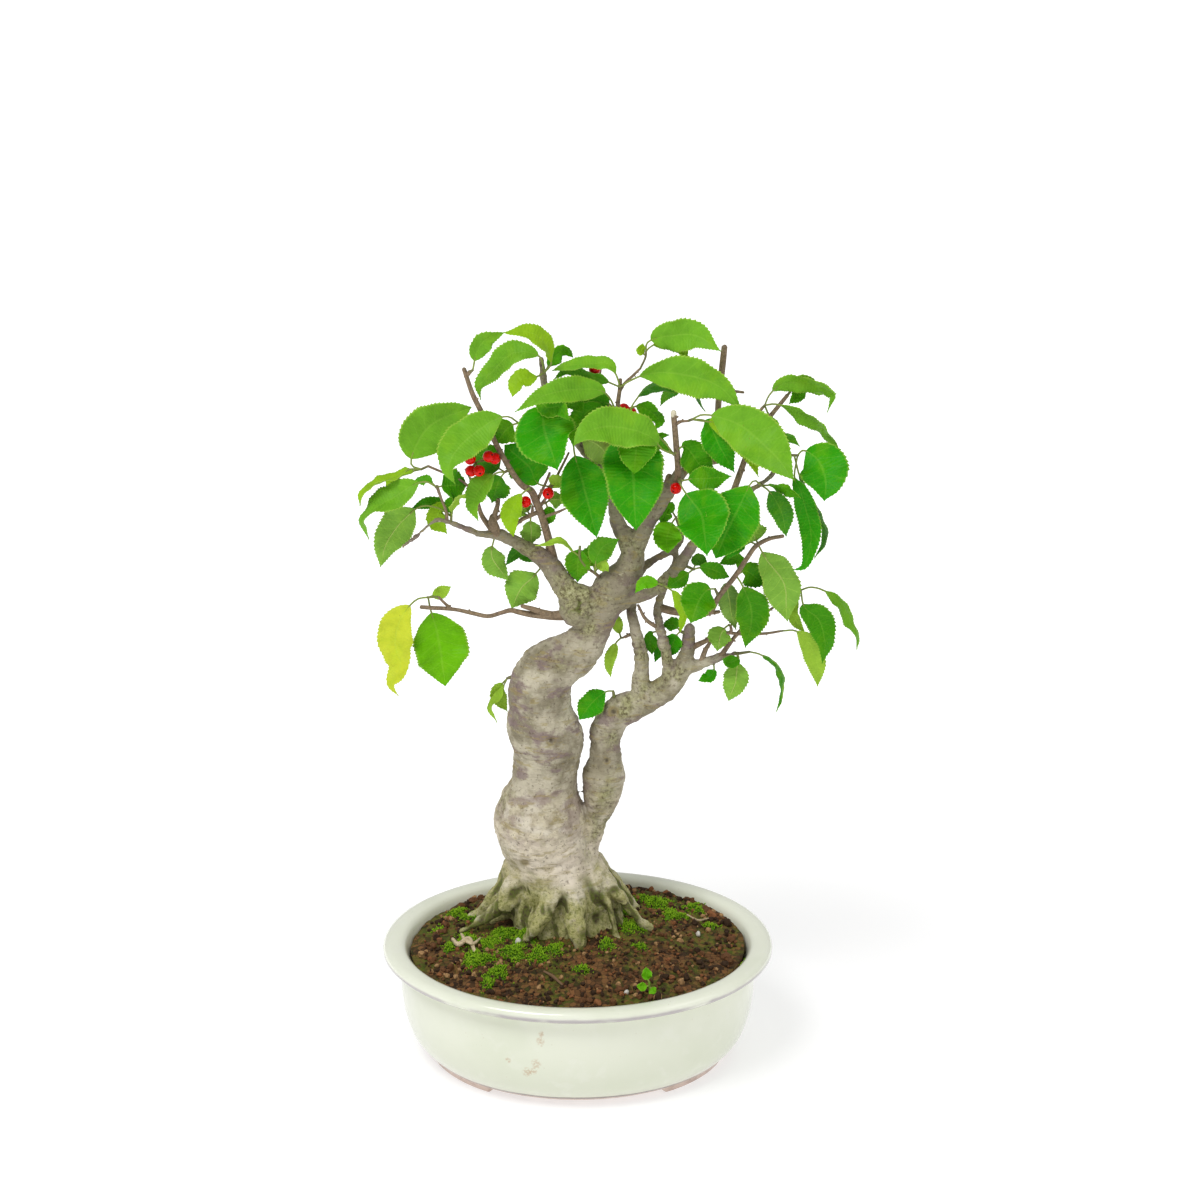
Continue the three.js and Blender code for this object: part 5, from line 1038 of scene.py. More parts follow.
points = np.empty(len(melted.vertices) * 3)
melted.vertices.foreach_get("co", points)
normals = np.empty(len(melted.vertices) * 3)
melted.vertices.foreach_get("normal", normals)
points = (points.reshape(-1, 3) - POT_CENTRE) / MM
normals = normals.reshape(-1, 3)
low = np.clip((95 - points[:, 2]) / 17, 0, 1)
girth = np.clip(1 - (points[:, 2] - 215) / 60, 0.5, 1)
move = 0.55 * lumps(points, 9.0, 31) * girth + 0.36 * lumps(points, 3.6, 32) * girth
move += 0.2 * lumps(points, 1.6, 33)
wrinkle = lumps(points * [0.3, 0.3, 1.7], 2.0, 34)
move -= 0.55 * (1 - np.abs(wrinkle)) ** 6 * (1 - low) * girth
spots_near, _ = grains(points, 6.5, 38)
move += 1.3 * np.clip(0.5 - spots_near, 0, 1) * np.clip((points[:, 2] - 150) / 40, 0, 1)
outward = unit(points[:, :2] - [-17, 19])
flow = np.column_stack([outward * 23, 0.14 * points[:, 2]])
flow = flow + np.array([3.4, -3.0, 0.4]) * lumps(points, 11.0, 37)[:, None]
wide_ridge = 1 - np.abs(lumps(flow, 4.6, 35))
thin_ridge = 1 - np.abs(lumps(flow, 1.9, 36))
grooves = 1.7 * wide_ridge**1.4 - 1.15 + 0.9 * thin_ridge**1.5 - 0.5 + 0.8 * lumps(points, 5.0, 44)
grooves = grooves * low
move += grooves
KNOTS = [
    ((6, -50, 9.5), 3.4), ((-22, -63, -1), 3.2), ((-37, -74, 12), 3.0), ((-18, -97, -4), 4.4),
    ((-30, -45, 1), 2.4), ((-26, -95, -5), 3.0), ((-33, -116, -1), 4.2), ((15, 20, 4), 2.6),
    ((-8, -118, -4), 2.4), ((3, -72, 10), 2.4),
]
for spot, reach in KNOTS:
    hill = near(points, spot, reach * 1.7) - 1.6 * near(points, spot, reach * 0.6)
    move += 1.0 * hill
burl = near(points, (-10, -3, 3), 8.5)
pits, _ = grains(points, 3.0, 41)
warts, _ = grains(points, 5.5, 43)
move += burl * (0.9 * (0.55 - pits) + 3.2 * (0.5 - warts) + 0.5 * lumps(points, 1.6, 42))
hollow = near(points, (0.5, -142, -5), 4.4) + 0.6 * near(points, (3, -149, -6), 3.4)
move -= 3.2 * hollow
OLIVE_SPOTS = [
    ((-9, -1, 3), 9), ((-4, -13, 5), 5), ((-15, 8, 5), 7), ((-32, 23, 4), 6), ((14, 22, 6), 6),
    ((4, 2, 6), 5), ((8, -50, 8), 5), ((20, -40, 9), 7), ((33, -34, 9), 6), ((19, -24, 9), 6),
    ((2, -88, 8), 6), ((1, -100, 12), 7), ((30, -25, 9), 5), ((27, 8, 6), 5), ((5, -62, 10), 4),
    ((4, -78, 14), 5), ((12, -46, 9), 4), ((-18, -28, 4), 4), ((-41, -90, 10), 6), ((-38, -112, 8), 7),
    ((-3, -112, 6), 6),
]
olive = np.clip(sum(near(points, spot, reach) for spot, reach in OLIVE_SPOTS), 0, 1)
points += normals * move[:, None]
melted.vertices.foreach_set("co", (points * MM + POT_CENTRE).ravel())
for name in [attribute.name for attribute in melted.attributes if attribute.name in ("tone", "pattern")]:
    melted.attributes.remove(melted.attributes[name])
rough = np.clip(sum(near(points, spot, reach * 0.75) for spot, reach in KNOTS), 0, 1)
# Recesses (the hollow, gaps between warts, grooves, pushed-in places) get dark moss and painted shade.
gaps = burl * np.clip((warts - 0.5) * 4, 0, 1)
recess_shade_and_moss = hollow * 1.2 + 0.9 * gaps + np.clip(0.1 - grooves, 0, 1) * low + 0.3 * np.clip(-move - 0.5, 0, 1)
recess_shade_and_moss = np.clip(recess_shade_and_moss, 0, 1)
worn = melted.attributes.new("tone", "FLOAT_COLOR", "POINT")
worn.data.foreach_set("color", np.stack([rough, recess_shade_and_moss, 0 * rough, olive], axis=-1).ravel())
melted.update()
print("bark moved by up to", round(float(np.abs(move).max()), 2), "mm")

# %% [markdown]
# ## The bark's colours
#
# The foot is olive with algae, the lower trunk a pale pinkish beige with a painted highlight round its
# swelling, and higher up the bark is grey taupe with purple-grey blotches and short yellow-olive
# streaks across, darker on the limbs under the crown, partly as painted shade. The fine wrinkles are
# darkened as painted shade. Height picks the band, and noise in three sizes breaks it. The tone made
# above marks single places: its red the knots, its green the recesses, painted dark as moss and shade,
# its blue the young twigs, and its alpha the damp olive places.

# %% The bark's bands, blotches and streaks
bark = Finish("winterberry bark", Specular_IOR_Level=0.3)
height = bark.along(bark.where(), "Z") * 1000
blotch = bark.cloud(14, 4.0, 0.6)
smudge = bark.cloud(5, 4.0, 0.6, shift=0.3)
fleck = bark.cloud(1.6, 3.0, 0.7)
upper = bark.mix(blotch.between(0.38, 0.62), paint(134, 126, 104), paint(190, 182, 160))
stain = bark.cloud(11, 5.0, 0.62, stretch=(0.7, 0.7, 1.2), shift=0.5)
upper = bark.mix(stain.between(0.5, 0.6) * 0.75, upper, paint(124, 104, 106))
# Darker olive-brown higher up, under the crown: partly the limbs' own bark, partly painted shade.
crown_shade_and_olive_bark = (height - 185).between(0.0, 45.0) * (blotch.between(0.4, 0.58) * 0.6 + 0.1)
upper = bark.mix(crown_shade_and_olive_bark, upper, paint(108, 98, 76))
lower = bark.mix(smudge.between(0.4, 0.64), paint(206, 196, 170), paint(168, 156, 134))
lower = bark.mix(stain.between(0.5, 0.6) * 0.6, lower, paint(150, 132, 126))
lower = bark.mix(blotch.between(0.5, 0.6) * 0.6, lower, paint(222, 214, 198))
skin = bark.mix((height + blotch * 30).between(128.0, 156.0), lower, upper)
# Painted highlight: a pale band round the trunk's swelling.
painted_highlight_belt = (height + blotch * 16 - 104).size().between(18.0, 6.0)
skin = bark.mix(painted_highlight_belt * 0.55, skin, paint(232, 220, 200))
streak = bark.cloud(3.4, 3.0, 0.6, stretch=(0.32, 0.32, 1.5)).between(0.55, 0.64)
skin = bark.mix(streak * 0.5, skin, paint(150, 134, 78))
wrinkles = bark.cloud(1.3, 3.0, 0.6, stretch=(0.22, 0.22, 1.5))
# Painted shade: the fine wrinkles are darkened in their grooves.
skin = bark.mix(wrinkles.between(0.43, 0.35) * 0.28, skin, paint(112, 94, 70))
pores = bark.cells(2.2, stretch=(0.45, 0.45, 1.3)).between(0.2, 0.1) * smudge.between(0.4, 0.6)
skin = bark.mix(pores * 0.4, skin, paint(218, 206, 182))
print("bark nodes for the bands:", len(bark.nodes))

# %% Algae, knots, recesses in moss and painted shade, and young bark
marks = bark.tone_part(0)
recess_shade_and_moss_mask = bark.tone_part(1)
damp = (bark.tone("Alpha") * smudge.between(0.3, 0.55) * 0.9 + smudge.between(0.56, 0.7) * 0.3).held()
skin = bark.mix(damp, skin, bark.mix(fleck.between(0.35, 0.62), paint(98, 92, 58), paint(164, 162, 118)))
algae = (height + blotch * 30 - 15).between(94.0, 74.0)
moss_skin = bark.mix(fleck.between(0.38, 0.6), paint(186, 182, 120), paint(136, 138, 70))
skin = bark.mix(algae * smudge.between(0.2, 0.5) * 0.85, skin, moss_skin)
skin = bark.mix(algae * fleck.between(0.56, 0.66) * 0.6, skin, paint(92, 96, 36))
skin = bark.mix(fleck.between(0.43, 0.32) * 0.6, skin, paint(84, 72, 52))
knot = marks.between(0.2, 0.5) * marks.between(0.95, 0.6)
lichen = fleck.between(0.58, 0.68) * (height - 120).between(0.0, 30.0) * smudge.between(0.42, 0.56)
skin = bark.mix(lichen * 0.35, skin, paint(190, 188, 160))
skin = bark.mix(knot * smudge.between(0.3, 0.5) * 0.6, skin, paint(150, 134, 84))
skin = bark.mix(marks.between(0.72, 0.95) * fleck.between(0.3, 0.5) * 0.85, skin, paint(66, 56, 42))
skin = bark.mix(marks * fleck.between(0.4, 0.6) * 0.6, skin, paint(80, 68, 52))
deep_green = bark.mix(fleck.between(0.4, 0.6), paint(62, 54, 26), paint(90, 100, 34))
# Recesses painted dark: partly moss, partly painted shade.
skin = bark.mix(recess_shade_and_moss_mask.between(0.1, 0.8) * 0.88, skin, deep_green)
twig_skin = bark.mix(fleck.between(0.35, 0.65), paint(150, 126, 100), paint(102, 80, 62))
skin = bark.mix(bark.tone_part(2), skin, twig_skin)
fine = bark.relief(bark.cloud(0.9, 3.0, 0.65) + wrinkles * 1.1, 0.26, 0.95)
coarse = bark.relief(bark.cloud(3.2, 4.0, 0.6, stretch=(0.5, 0.5, 1.4)), 0.5, 0.8, under=fine)
bark.feed(Base_Color=skin, Roughness=fleck * 0.25 + 0.62, Normal=coarse)
place_piece("trunk_and_limbs", melted, bark.material, ["tree"])
print("bark nodes in all:", len(bark.nodes))

# %% Twigs as tubes
twig_heap = Heap()
TWIG_TONE = (0.0, 0.0, 0.75, 0.15)
for number, points in enumerate(TWIGS):
    limb(twig_heap, points, 12, TWIG_TONE, step=0.8, waviness=0.12, seed=number + 20.0)
BUDS = [0.22, 0.45, 0.68, 0.9]
for number, points in enumerate(TWIGS):
    rows = np.asarray(points, float)
    for share in BUDS:
        at = share * (len(rows) - 1)
        spot = path_points(seen(rows[:, :3]), np.array([at]))
        girth = np.interp(at, np.arange(len(rows)), rows[:, 3])
        push = unit(np.random.default_rng(number * 7 + int(share * 100)).normal(size=(1, 3)))
        bud = np.vstack([spot, spot + push * (girth * 0.7), spot + push * (girth + 0.55)])
        tube(twig_heap, bud, np.array([0.7, 0.65, 0.35]) * min(girth, 1.3), 8, TWIG_TONE)
twigs = twig_heap.piece("bare_twigs", bark.material, ["tree"], "bark")
print("twig faces:", len(twigs.data.polygons))

# %% [markdown]
# ## The leaves
#
# A winterberry leaf is pointed at both ends, widest before its middle, folded a little along the
# midrib, and edged with fine forward teeth. Each blade is a grid: rows along the midrib, columns from
# edge to edge, an upper and a lower face a third of a millimetre apart. Its edge steps out and jumps
# back three rows at a time, which makes the teeth, and the blade bulges between its side veins.
#
# A row reads: tone, width (or width and the stalk's share), how far the blade is rolled at its base
# and its tip, the depth of both ends, and the midrib's points as u and v. At roll 0 the upper face
# looks at the eye, and past 90 the pale underside does.

# %% Sprays: name, the spur it grows on, and its leaves
SPRAYS = [
  ["spray_top_left", [[-58.3, 102.2, 0, 0.7], [-57, 103, -1.6, 0.6]], [
    ["lit", 9.5, 25, 20, -1.6, 2, [-57, 103], [-55.4, 110], [-51.5, 116.5], [-42.5, 120]],
  ]],
  ["spray_crown_left", [[-25.5, 102, 11, 0.8], [-25, 101.8, 6.5, 0.65]], [
    ["lime", 9, 55, 20, 6.5, -10, [-25, 101.8], [-21.8, 106], [-23.5, 113.5], [-31, 119.2], [-43.5, 119.8]],
    ["lit", 12, 20, 45, 6.5, 9, [-25, 101.8], [-27, 109], [-39, 110.5], [-49.5, 102.5],
     [-54.5, 96], [-53.4, 89.5]],
    ["lime", 9, 20, 25, 6.5, -2, [-25, 101.8], [-29, 99.8], [-37, 98.3], [-39.3, 91]],
    ["mid", 7.5, 30, 30, 6.5, 17, [-25, 101.8], [-20, 109.3], [-16, 111.3], [-12, 108.7]],
  ]],
  ["spray_crown_middle", [[9, 95, 8, 0.7], [9, 95.4, 5, 0.6]], [
    ["lit", 8, 40, 30, 5, 5, [9, 95.4], [7.4, 100.5], [4, 106], [-1.5, 107.2], [-10, 106], [-21.5, 102.6]],
    ["under", 8, -40, -40, 5, 8, [9, 95.4], [-1, 99.5], [-9, 102], [-15, 102.3], [-20.5, 99]],
    ["lit", 17, 30, 10, 5, -8, [9, 95.4], [13, 98], [24, 102], [38, 100.8], [52, 95.6], [63, 86.6]],
  ]],
  ["spray_crown_front", [[8, 86.5, 9.2, 0.75], [6.6, 86, 6, 0.65]], [
    ["lit", 12, 25, 15, 6, -14, [6.6, 86], [4, 91], [0.5, 94], [-5, 94.9], [-14, 94.2], [-25, 91],
     [-38.3, 84.2]],
    ["dark", 9, 10, 10, 6, 8, [6.6, 86], [2, 88.7], [-4, 87.8], [-10, 84.6]],
    ["dark", 10, 10, 10, 6, 3, [6.6, 86], [-3, 86], [-9.5, 80], [-12, 68.5]],
    ["rich", 28, 8, -8, 6, -18, [6.6, 86], [12, 79], [14.6, 64], [15.2, 46], [16.2, 31.2]],
  ]],
  ["spray_big_hanging", [[-20.3, 88.5, 12.8, 0.9], [-22.5, 91.5, 5, 0.7]], [
    ["rich", 27, 5, 5, 5, -18, [-22.5, 91.5], [-25.5, 85], [-24.5, 74], [-19, 58]],
    ["dark", 10, 0, 0, 5, 0, [-22.5, 91.5], [-17, 91], [-12, 89.5], [-7.6, 84]],
    ["dark", 9, 0, 0, 5, -18, [-22.5, 91.5], [-26.5, 89.5], [-24, 86.5], [-18.5, 86], [-13.6, 80.5]],
  ]],
  ["spray_middle", [[-10.5, 71.5, 14, 1], [-12, 72.5, 8, 0.8]], [
    ["rich", 22, 0, 0, 8, -8, [-12, 72.5], [-11.5, 66], [-7, 50], [-1.4, 27.8]],
    ["olive", 14, 170, 170, 8, 6, [-12, 72.5], [-8, 72.5], [0, 68], [7, 59.5]],
  ]],
  ["spray_arch", [[33.9, 65.5, 0, 0.8], [33.2, 65.2, -3.6, 0.65]], [
    ["lit", 18, 30, 20, -3.6, -24, [33.2, 65.2], [27.8, 67.5], [24.5, 71.5], [14, 77], [2, 78.3],
     [-7, 75], [-11.8, 69.3]],
    ["mid", 5, 20, 20, -3.6, 3, [33.2, 65.2], [27.8, 69.5], [26.8, 73], [31.2, 74]],
    ["dark", 14, 0, 0, -3.6, 5, [33.2, 65.2], [37.5, 69], [44, 61.5], [50, 53.5]],
    ["mid", [17, 0.4], 0, 0, -3.6, -12, [33.2, 65.2], [28, 71.5], [21, 76.2], [17.4, 73], [15.2, 56.5]],
  ]],
  ["spray_long_right", [[39.5, 80.2, -1, 0.6], [41.2, 80.9, -2, 0.6]], [
    ["lit", 22, 5, 5, -2, -30, [41.2, 80.9], [46, 83], [60, 79.5], [76, 67.5], [87, 53.6]],
    ["rich", 14, 0, 0, -2, -4, [41.2, 80.9], [47.5, 80], [54, 68], [60.3, 57]],
    ["lime", 12, 0, 0, -2, -13, [41.2, 80.9], [60, 77], [67, 66], [71, 55]],
  ]],
  ["spray_crown_right", [[18, 103.6, 5.2, 0.5], [20.3, 108.5, 4.8, 0.5], [20.6, 111, 4.8, 0.5]], [
    ["lit", 15, 20, 10, 4.8, -6, [20.6, 111], [21, 115], [25, 117.2], [33, 118], [43, 118.4], [54.3, 111.4]],
    ["lime", 8.5, 40, 40, 4.8, 12, [20.6, 111], [21.5, 112.5], [27, 115.5], [34, 115.3], [39, 106.4]],
    ["lime", 4.5, 10, 10, 4.8, 2, [20.4, 109.5], [18.6, 111.5], [19.3, 115]],
  ]],
  ["spray_crown_low", [[8.1, 84, 9.8, 0.75], [13.2, 84.6, 6, 0.6]], [
    ["teal", 9.5, 62, 62, 6, 8, [13.2, 84.6], [15.3, 88.5], [20, 93.5], [30, 95.2], [41, 93.6], [47.2, 84.4]],
    ["mid", 9.5, 25, 25, 6, 10, [13.2, 84.6], [15.5, 86.7], [22, 84.8], [26.2, 80.5], [25, 76.3]],
  ]],
  ["leaf_crown_back", [[51.2, 102, 14, 0.6], [49.6, 101.4, 14, 0.6]], [
    ["teal", 8, 30, 30, 14, 18, [49.6, 101.4], [44, 97.5], [35, 96.5], [30, 92.5], [27, 86.8]],
  ]],
  ["spray_right_tip", [[84, 91.8, 5, 0.6], [85, 93, 5.4, 0.6]], [
    ["mid", 7.5, 30, 30, 5.4, 9, [85, 93], [87, 95.2], [89, 93], [84.8, 87.8]],
    ["lit", 8, 35, 35, 5.4, 13, [85, 93], [87.5, 98.3], [96, 96.4], [106, 92.3]],
  ]],
  ["spray_right_top", [[72.8, 86.1, 4, 0.65], [73.8, 87.2, 3, 0.6]], [
    ["lit", 10, 25, 60, 3, -4, [73.8, 87.2], [76, 92], [81, 96], [94, 95.6], [105, 91.7], [101.8, 84]],
    ["lit", 10, 65, 50, 3, -9, [73.8, 87.2], [78, 87.8], [83.5, 86.3], [92, 80.6], [100, 74],
     [105.5, 70], [107, 65.5]],
    ["mid", 8, 50, 50, 3, 9, [73.8, 87.2], [75.5, 83.2], [79.5, 77], [85, 72.5], [89.5, 68.8]],
  ]],
  ["spray_right_middle", [[83, 65, -4, 0.7], [88.5, 64.8, -6, 0.6]], [
    ["rich", 22, 0, 0, -6, -22, [88.5, 64.8], [91, 67], [97, 63.5], [101, 55], [100.5, 44.3]],
    ["rich", 10, 0, 10, -6, -10, [88.5, 64.8], [87.2, 54.5], [90, 48.5], [92.8, 38], [94, 26],
     [91.5, 15], [86.2, 13.3]],
    ["teal", 7.5, 60, 60, -5, 4, [87, 64.8], [91, 50], [97, 37], [101.3, 31], [101, 25], [96, 18.6]],
  ]],
  ["spray_round_right", [[72, 52, -5, 0.8], [72.2, 51.4, -9, 0.65]], [
    ["rich", 24, 0, 0, -9, -22, [72.2, 51.4], [69, 53.5], [62.5, 42], [51.8, 18.6]],
    ["mid", 8, 60, 60, -9, -14, [72.2, 51.4], [80, 51], [85, 48.5], [90, 45.5]],
    ["teal", 10.5, 0, 0, -9, -16, [72.2, 51.4], [75.5, 49], [81, 40], [83.5, 28.4]],
  ]],
  ["spray_round_left", [[35.3, 54.8, 4, 0.9], [35.6, 53.2, -2.4, 0.7]], [
    ["rich", 25, 0, 0, -2.4, -38, [35.6, 53.2], [37, 50], [45, 38], [48, 19.6]],
    ["dark", 11, 0, 0, -2.4, -15, [35.6, 53.2], [43, 54.5], [50, 54.5], [59, 55.5]],
  ]],
  ["spray_inner_right", [[37, 28.5, 13, 0.7], [34, 37, 6, 0.6]], [
    ["bright", 13.5, 0, 0, 6, -2, [34, 37], [32, 34], [30, 28], [30.5, 21]],
    ["mid", 7.5, 10, 10, 6, 9, [34, 37], [31, 41], [27, 34]],
  ]],
  ["spray_inner_low", [[36.5, 16, 8, 0.8], [41.8, 13.8, 6, 0.6]], [
    ["dark", 8, 20, 20, 6, 1, [41.8, 13.8], [46, 14.5], [52, 12.8], [58, 10.3]],
    ["teal", 6, 0, 0, 6, 10, [41.8, 13.8], [44, 18], [48.3, 16.5]],
    ["dark", 8, 10, 10, 6, 5.4, [41.8, 13.8], [39.5, 12], [35, 9], [30, 5.2]],
  ]],
  ["spray_inner_front", [[27, 7, 8, 0.8], [28.6, 6.6, 0.6, 0.6]], [
    ["lime", 6.5, 30, 30, 0.6, -3, [28.6, 6.6], [34, 2.5], [36.8, -5], [36, -14.5]],
    ["bright", 6, 0, 0, 0.6, -1, [28.6, 6.6], [23.5, 7.8], [20, 8], [15.7, 3.2]],
  ]],
  ["leaf_dark_inner", [[53.2, 1.6, 2, 0.8], [51.5, 5, -1, 0.6]], [
    ["dark", [17, 0.1], 0, 0, -1, -10, [51.5, 5], [48.5, 4.6], [44.5, 0], [40.6, -10.4]],
  ]],
  ["spray_low_right", [[60.5, 10.8, -2, 0.8], [61, 10.9, 1.8, 0.65]], [
    ["dark", 16, 0, 0, 1.8, 4, [61, 10.9], [63.5, 7], [68, -6], [65, -21.5]],
    ["grey", 10, 170, 170, 1.8, 10, [61, 10.9], [57.5, 8], [58, -2], [61, -13.5]],
    ["dark", 12, 0, 0, 1.8, 7, [61, 10.9], [65, 13], [70, 9.8], [75, 7]],
    ["dark", 6, 0, 0, 1.8, 8, [61, 10.9], [62.5, 17], [60, 18.5], [53.5, 16.2]],
  ]],
  ["leaf_low_pale", [[58.5, -11.5, 6, 0.6], [57.6, -11.2, 7, 0.6]], [
    ["under", 11, 170, 170, 7, 4, [57.6, -11.2], [55.5, -13], [53.5, -17], [52.5, -23]],
  ]],
  ["spray_pale_right", [[70, 24.3, -5, 0.8], [71, 24.6, -1.6, 0.65]], [
    ["under", [18, 0.09], 170, 170, -1.6, 4, [71, 24.6], [74, 19], [81, 8], [84, -9.6]],
    ["under", 12, 170, 170, -1.6, 2, [71, 24.6], [69.5, 28], [66.5, 36]],
    ["rich", 7, 0, 0, -1.6, 2, [71, 24.6], [64, 26.5], [56.5, 18]],
  ]],
  ["spray_lowest_right", [[60.5, -24, 10, 0.9], [63, -23.8, 9, 0.7], [67, -23.2, 8, 0.6]], [
    ["under", 12, 180, 180, 9.4, 2, [61.5, -24.2], [61.6, -28], [60.6, -36], [57.6, -45.2]],
    ["dark", 6.5, 10, 10, 9.4, 0, [61.5, -24.2], [62.2, -26], [58.5, -27.8], [54.8, -26.4]],
    ["dark", 8.5, 68, 68, 8, 2, [67, -23.2], [72, -24.5], [78, -29.5], [82, -37], [82, -44], [79, -50]],
  ]],
  ["leaf_low_small", [[50.5, -26.8, 11.6, 0.8], [51, -29, 9.6, 0.6]], [
    ["rich", 6.4, 20, 20, 9.6, 6, [51, -29], [51, -31.5], [48.5, -34.5], [44, -36.3]],
  ]],
  ["spray_far_right", [[88.6, 3.7, 11, 0.5], [90, 4.4, 10.6, 0.5]], [
    ["lit", [9, 0.26], 30, 78, 10.6, 4, [90, 4.4], [94, 5.7], [99.5, 4.6], [107, -1], [112.6, -8],
     [115.6, -15], [115, -22.3]],
    ["dark", 13, 0, 0, 10.6, 3, [90, 4.4], [91.5, -3], [98, -9], [101, -18], [99.5, -28.5]],
    ["pale", 5.5, 20, 20, 10.6, 13, [90, 4.4], [86.5, -6.5], [92, -15]],
  ]],
  ["leaf_far_right_low", [[80.5, -14, 9.4, 0.5], [82, -13.8, 9.2, 0.5]], [
    ["pale", 10, 10, 10, 9.2, 8, [82, -13.8], [87.5, -13.8], [93, -19], [97, -28], [97.5, -38.8]],
  ]],
  ["spray_far_left_top", [[-77, 60, 4, 0.55], [-80, 58.6, 3, 0.55]], [
    ["lit", 22, 10, 10, 3, 6, [-80, 58.6], [-84.5, 60.5], [-80, 73], [-70, 81], [-57.5, 86.5]],
    ["lime", 9, 62, 62, 3, -7, [-80, 58.6], [-87, 58.3], [-98, 52.4], [-106.6, 47.6], [-107.6, 42]],
    ["lime", 8.5, 60, 60, 3, 7, [-80, 58.6], [-88, 56.5], [-94, 52], [-96.8, 47.8]],
  ]],
  ["spray_left_top", [[-34.3, 79, 3, 0.55], [-36.5, 79.3, 2, 0.55]], [
    ["lit", 18, 15, 40, 2, -17, [-36.5, 79.3], [-41.5, 82.2], [-54, 77.5], [-65, 66.5],
     [-67.5, 58.5], [-65, 52]],
    ["dark", 13, 0, 0, 2, 7, [-36.5, 79.3], [-40, 78], [-46.5, 70.5]],
  ]],
  ["spray_left_middle", [[-40.2, 58.6, 2, 0.8], [-42.6, 57.3, -1.4, 0.6]], [
    ["lit", 11, 35, 35, -1.4, -9, [-42.6, 57.3], [-46, 57], [-52, 52.4], [-57.5, 44.6], [-54.6, 35.3]],
    ["dark", 12, 0, 0, -1.4, 9, [-42.6, 57.3], [-45, 54], [-48.5, 43.5]],
    ["dark", 16, 0, 0, -1.4, 14, [-42.6, 57.3], [-47, 60], [-57, 66.5]],
  ]],
  ["spray_inner_left", [[-21.6, 51, 8.7, 0.6], [-23, 50.8, 6, 0.6]], [
    ["rich", 19, 0, 0, 6, 9, [-23, 50.8], [-28, 52.3], [-32, 59.5], [-42.8, 69.5]],
    ["pale", 6.5, 0, 0, 6, 4.6, [-23, 50.8], [-20.5, 53.3], [-16.8, 50.5]],
  ]],
  ["spray_inner_pale", [[-25.3, 43.3, 6.6, 0.6], [-24.3, 43.6, 8.6, 0.6]], [
    ["under", 8, 170, 170, 8.6, 11, [-24.3, 43.6], [-21.5, 45], [-16.2, 44.5]],
    ["mid", 6.5, 0, 0, 8.6, 10, [-24.3, 43.6], [-22.8, 38.5], [-24.2, 33.2]],
  ]],
  ["spray_inner_under", [[-31, 38, 4, 0.7], [-31, 37.6, 6.8, 0.6]], [
    ["under", 10, 175, 175, 6.8, 14, [-31, 37.6], [-31.2, 34], [-30.5, 24.8]],
    ["under", 8, 170, 170, 6.8, 9, [-31, 37.6], [-34, 41.2], [-39, 36.4]],
  ]],
  ["leaf_bright_left", [[-31, 49, 4, 0.9], [-31.6, 50.2, 0, 0.6]], [
    ["lime", 9, 15, 15, 0, -6, [-31.6, 50.2], [-36, 46.5], [-40, 39], [-38.8, 28.3]],
  ]],
  ["leaf_under_left", [[-47, 29, 6, 1], [-47.4, 27.8, 9.8, 0.6]], [
    ["under", 11, 175, 175, 9.8, 12, [-47.4, 27.8], [-48.5, 20], [-41.2, 8.6]],
  ]],
  ["spray_under_middle", [[-24.5, 17, 8, 1], [-26, 15, 14.4, 0.6]], [
    ["under", 16, 175, 175, 14.4, 12, [-26, 15], [-30, 10.5], [-35, 5.5], [-39.6, -3.6]],
    ["teal", 6.5, 0, 0, 14.4, 15, [-26, 15], [-31, 19], [-36.5, 21.5], [-42.3, 15.6]],
  ]],
  ["spray_left_low", [[-73, 51, -1, 0.7], [-73.4, 50.6, -3.6, 0.6]], [
    ["lit", 14, 10, 75, -3.6, -8, [-73.4, 50.6], [-78, 53], [-85, 51], [-93, 45.2], [-101, 40],
     [-106.4, 35.5], [-103.6, 27]],
    ["mid", 5.5, 50, 50, -3.6, 2, [-73.4, 50.6], [-77, 53.8], [-84, 52.8]],
    ["dark", 14, 0, 0, -3.6, 10, [-73.4, 50.6], [-69, 51.2], [-59.5, 51.5]],
  ]],
  ["spray_left_yellow", [[-66.8, 35, 2, 0.7], [-66.6, 37.3, 5.5, 0.6]], [
    ["under", [16, 0.36], 170, 178, 5.5, 1, [-66.6, 37.3], [-72, 41], [-80, 42], [-88.5, 35.5],
     [-95.5, 25.5], [-98.5, 14.6]],
    ["dark", 6.5, 20, 20, 5.5, 10, [-66.6, 37.3], [-72, 42.5], [-77, 43.3], [-84.6, 41]],
    ["lime", 9.5, 10, 10, 5.5, 8, [-66.6, 37.3], [-71, 41], [-73.3, 36], [-68.5, 29.6]],
    ["mid", 5.5, 0, 0, 5.5, 9, [-66.6, 37.3], [-67.3, 42], [-66, 47]],
    ["pale", 6.5, 60, 60, 5.5, -1, [-66.6, 37.3], [-65.5, 42], [-63, 45.6], [-59.5, 48]],
  ]],
  ["spray_low_left", [[-72.5, 1.4, 2.4, 0.55], [-77, 1.2, 5, 0.55]], [
    ["mottled", 17, 15, 45, 5, -8, [-77, 1.2], [-82, 0.3], [-89, -8], [-92.5, -20], [-91, -30],
     [-94, -38], [-90.3, -43]],
    ["fresh", 25, 0, 0, 5, 4, [-77, 1.2], [-76, -4], [-72.8, -15], [-69.3, -38.6]],
    ["pale", 6, 0, 0, 5, 8, [-77, 1.2], [-72.5, 2.8], [-66.8, 6]],
  ]],
  ["spray_trunk_left", [[-37, -34, 18, 1.2], [-41.5, -35, 24, 0.6]], [
    ["pale", 8, 10, 10, 24, 27, [-41.5, -35], [-44.5, -38.5], [-45.5, -43], [-41.5, -50]],
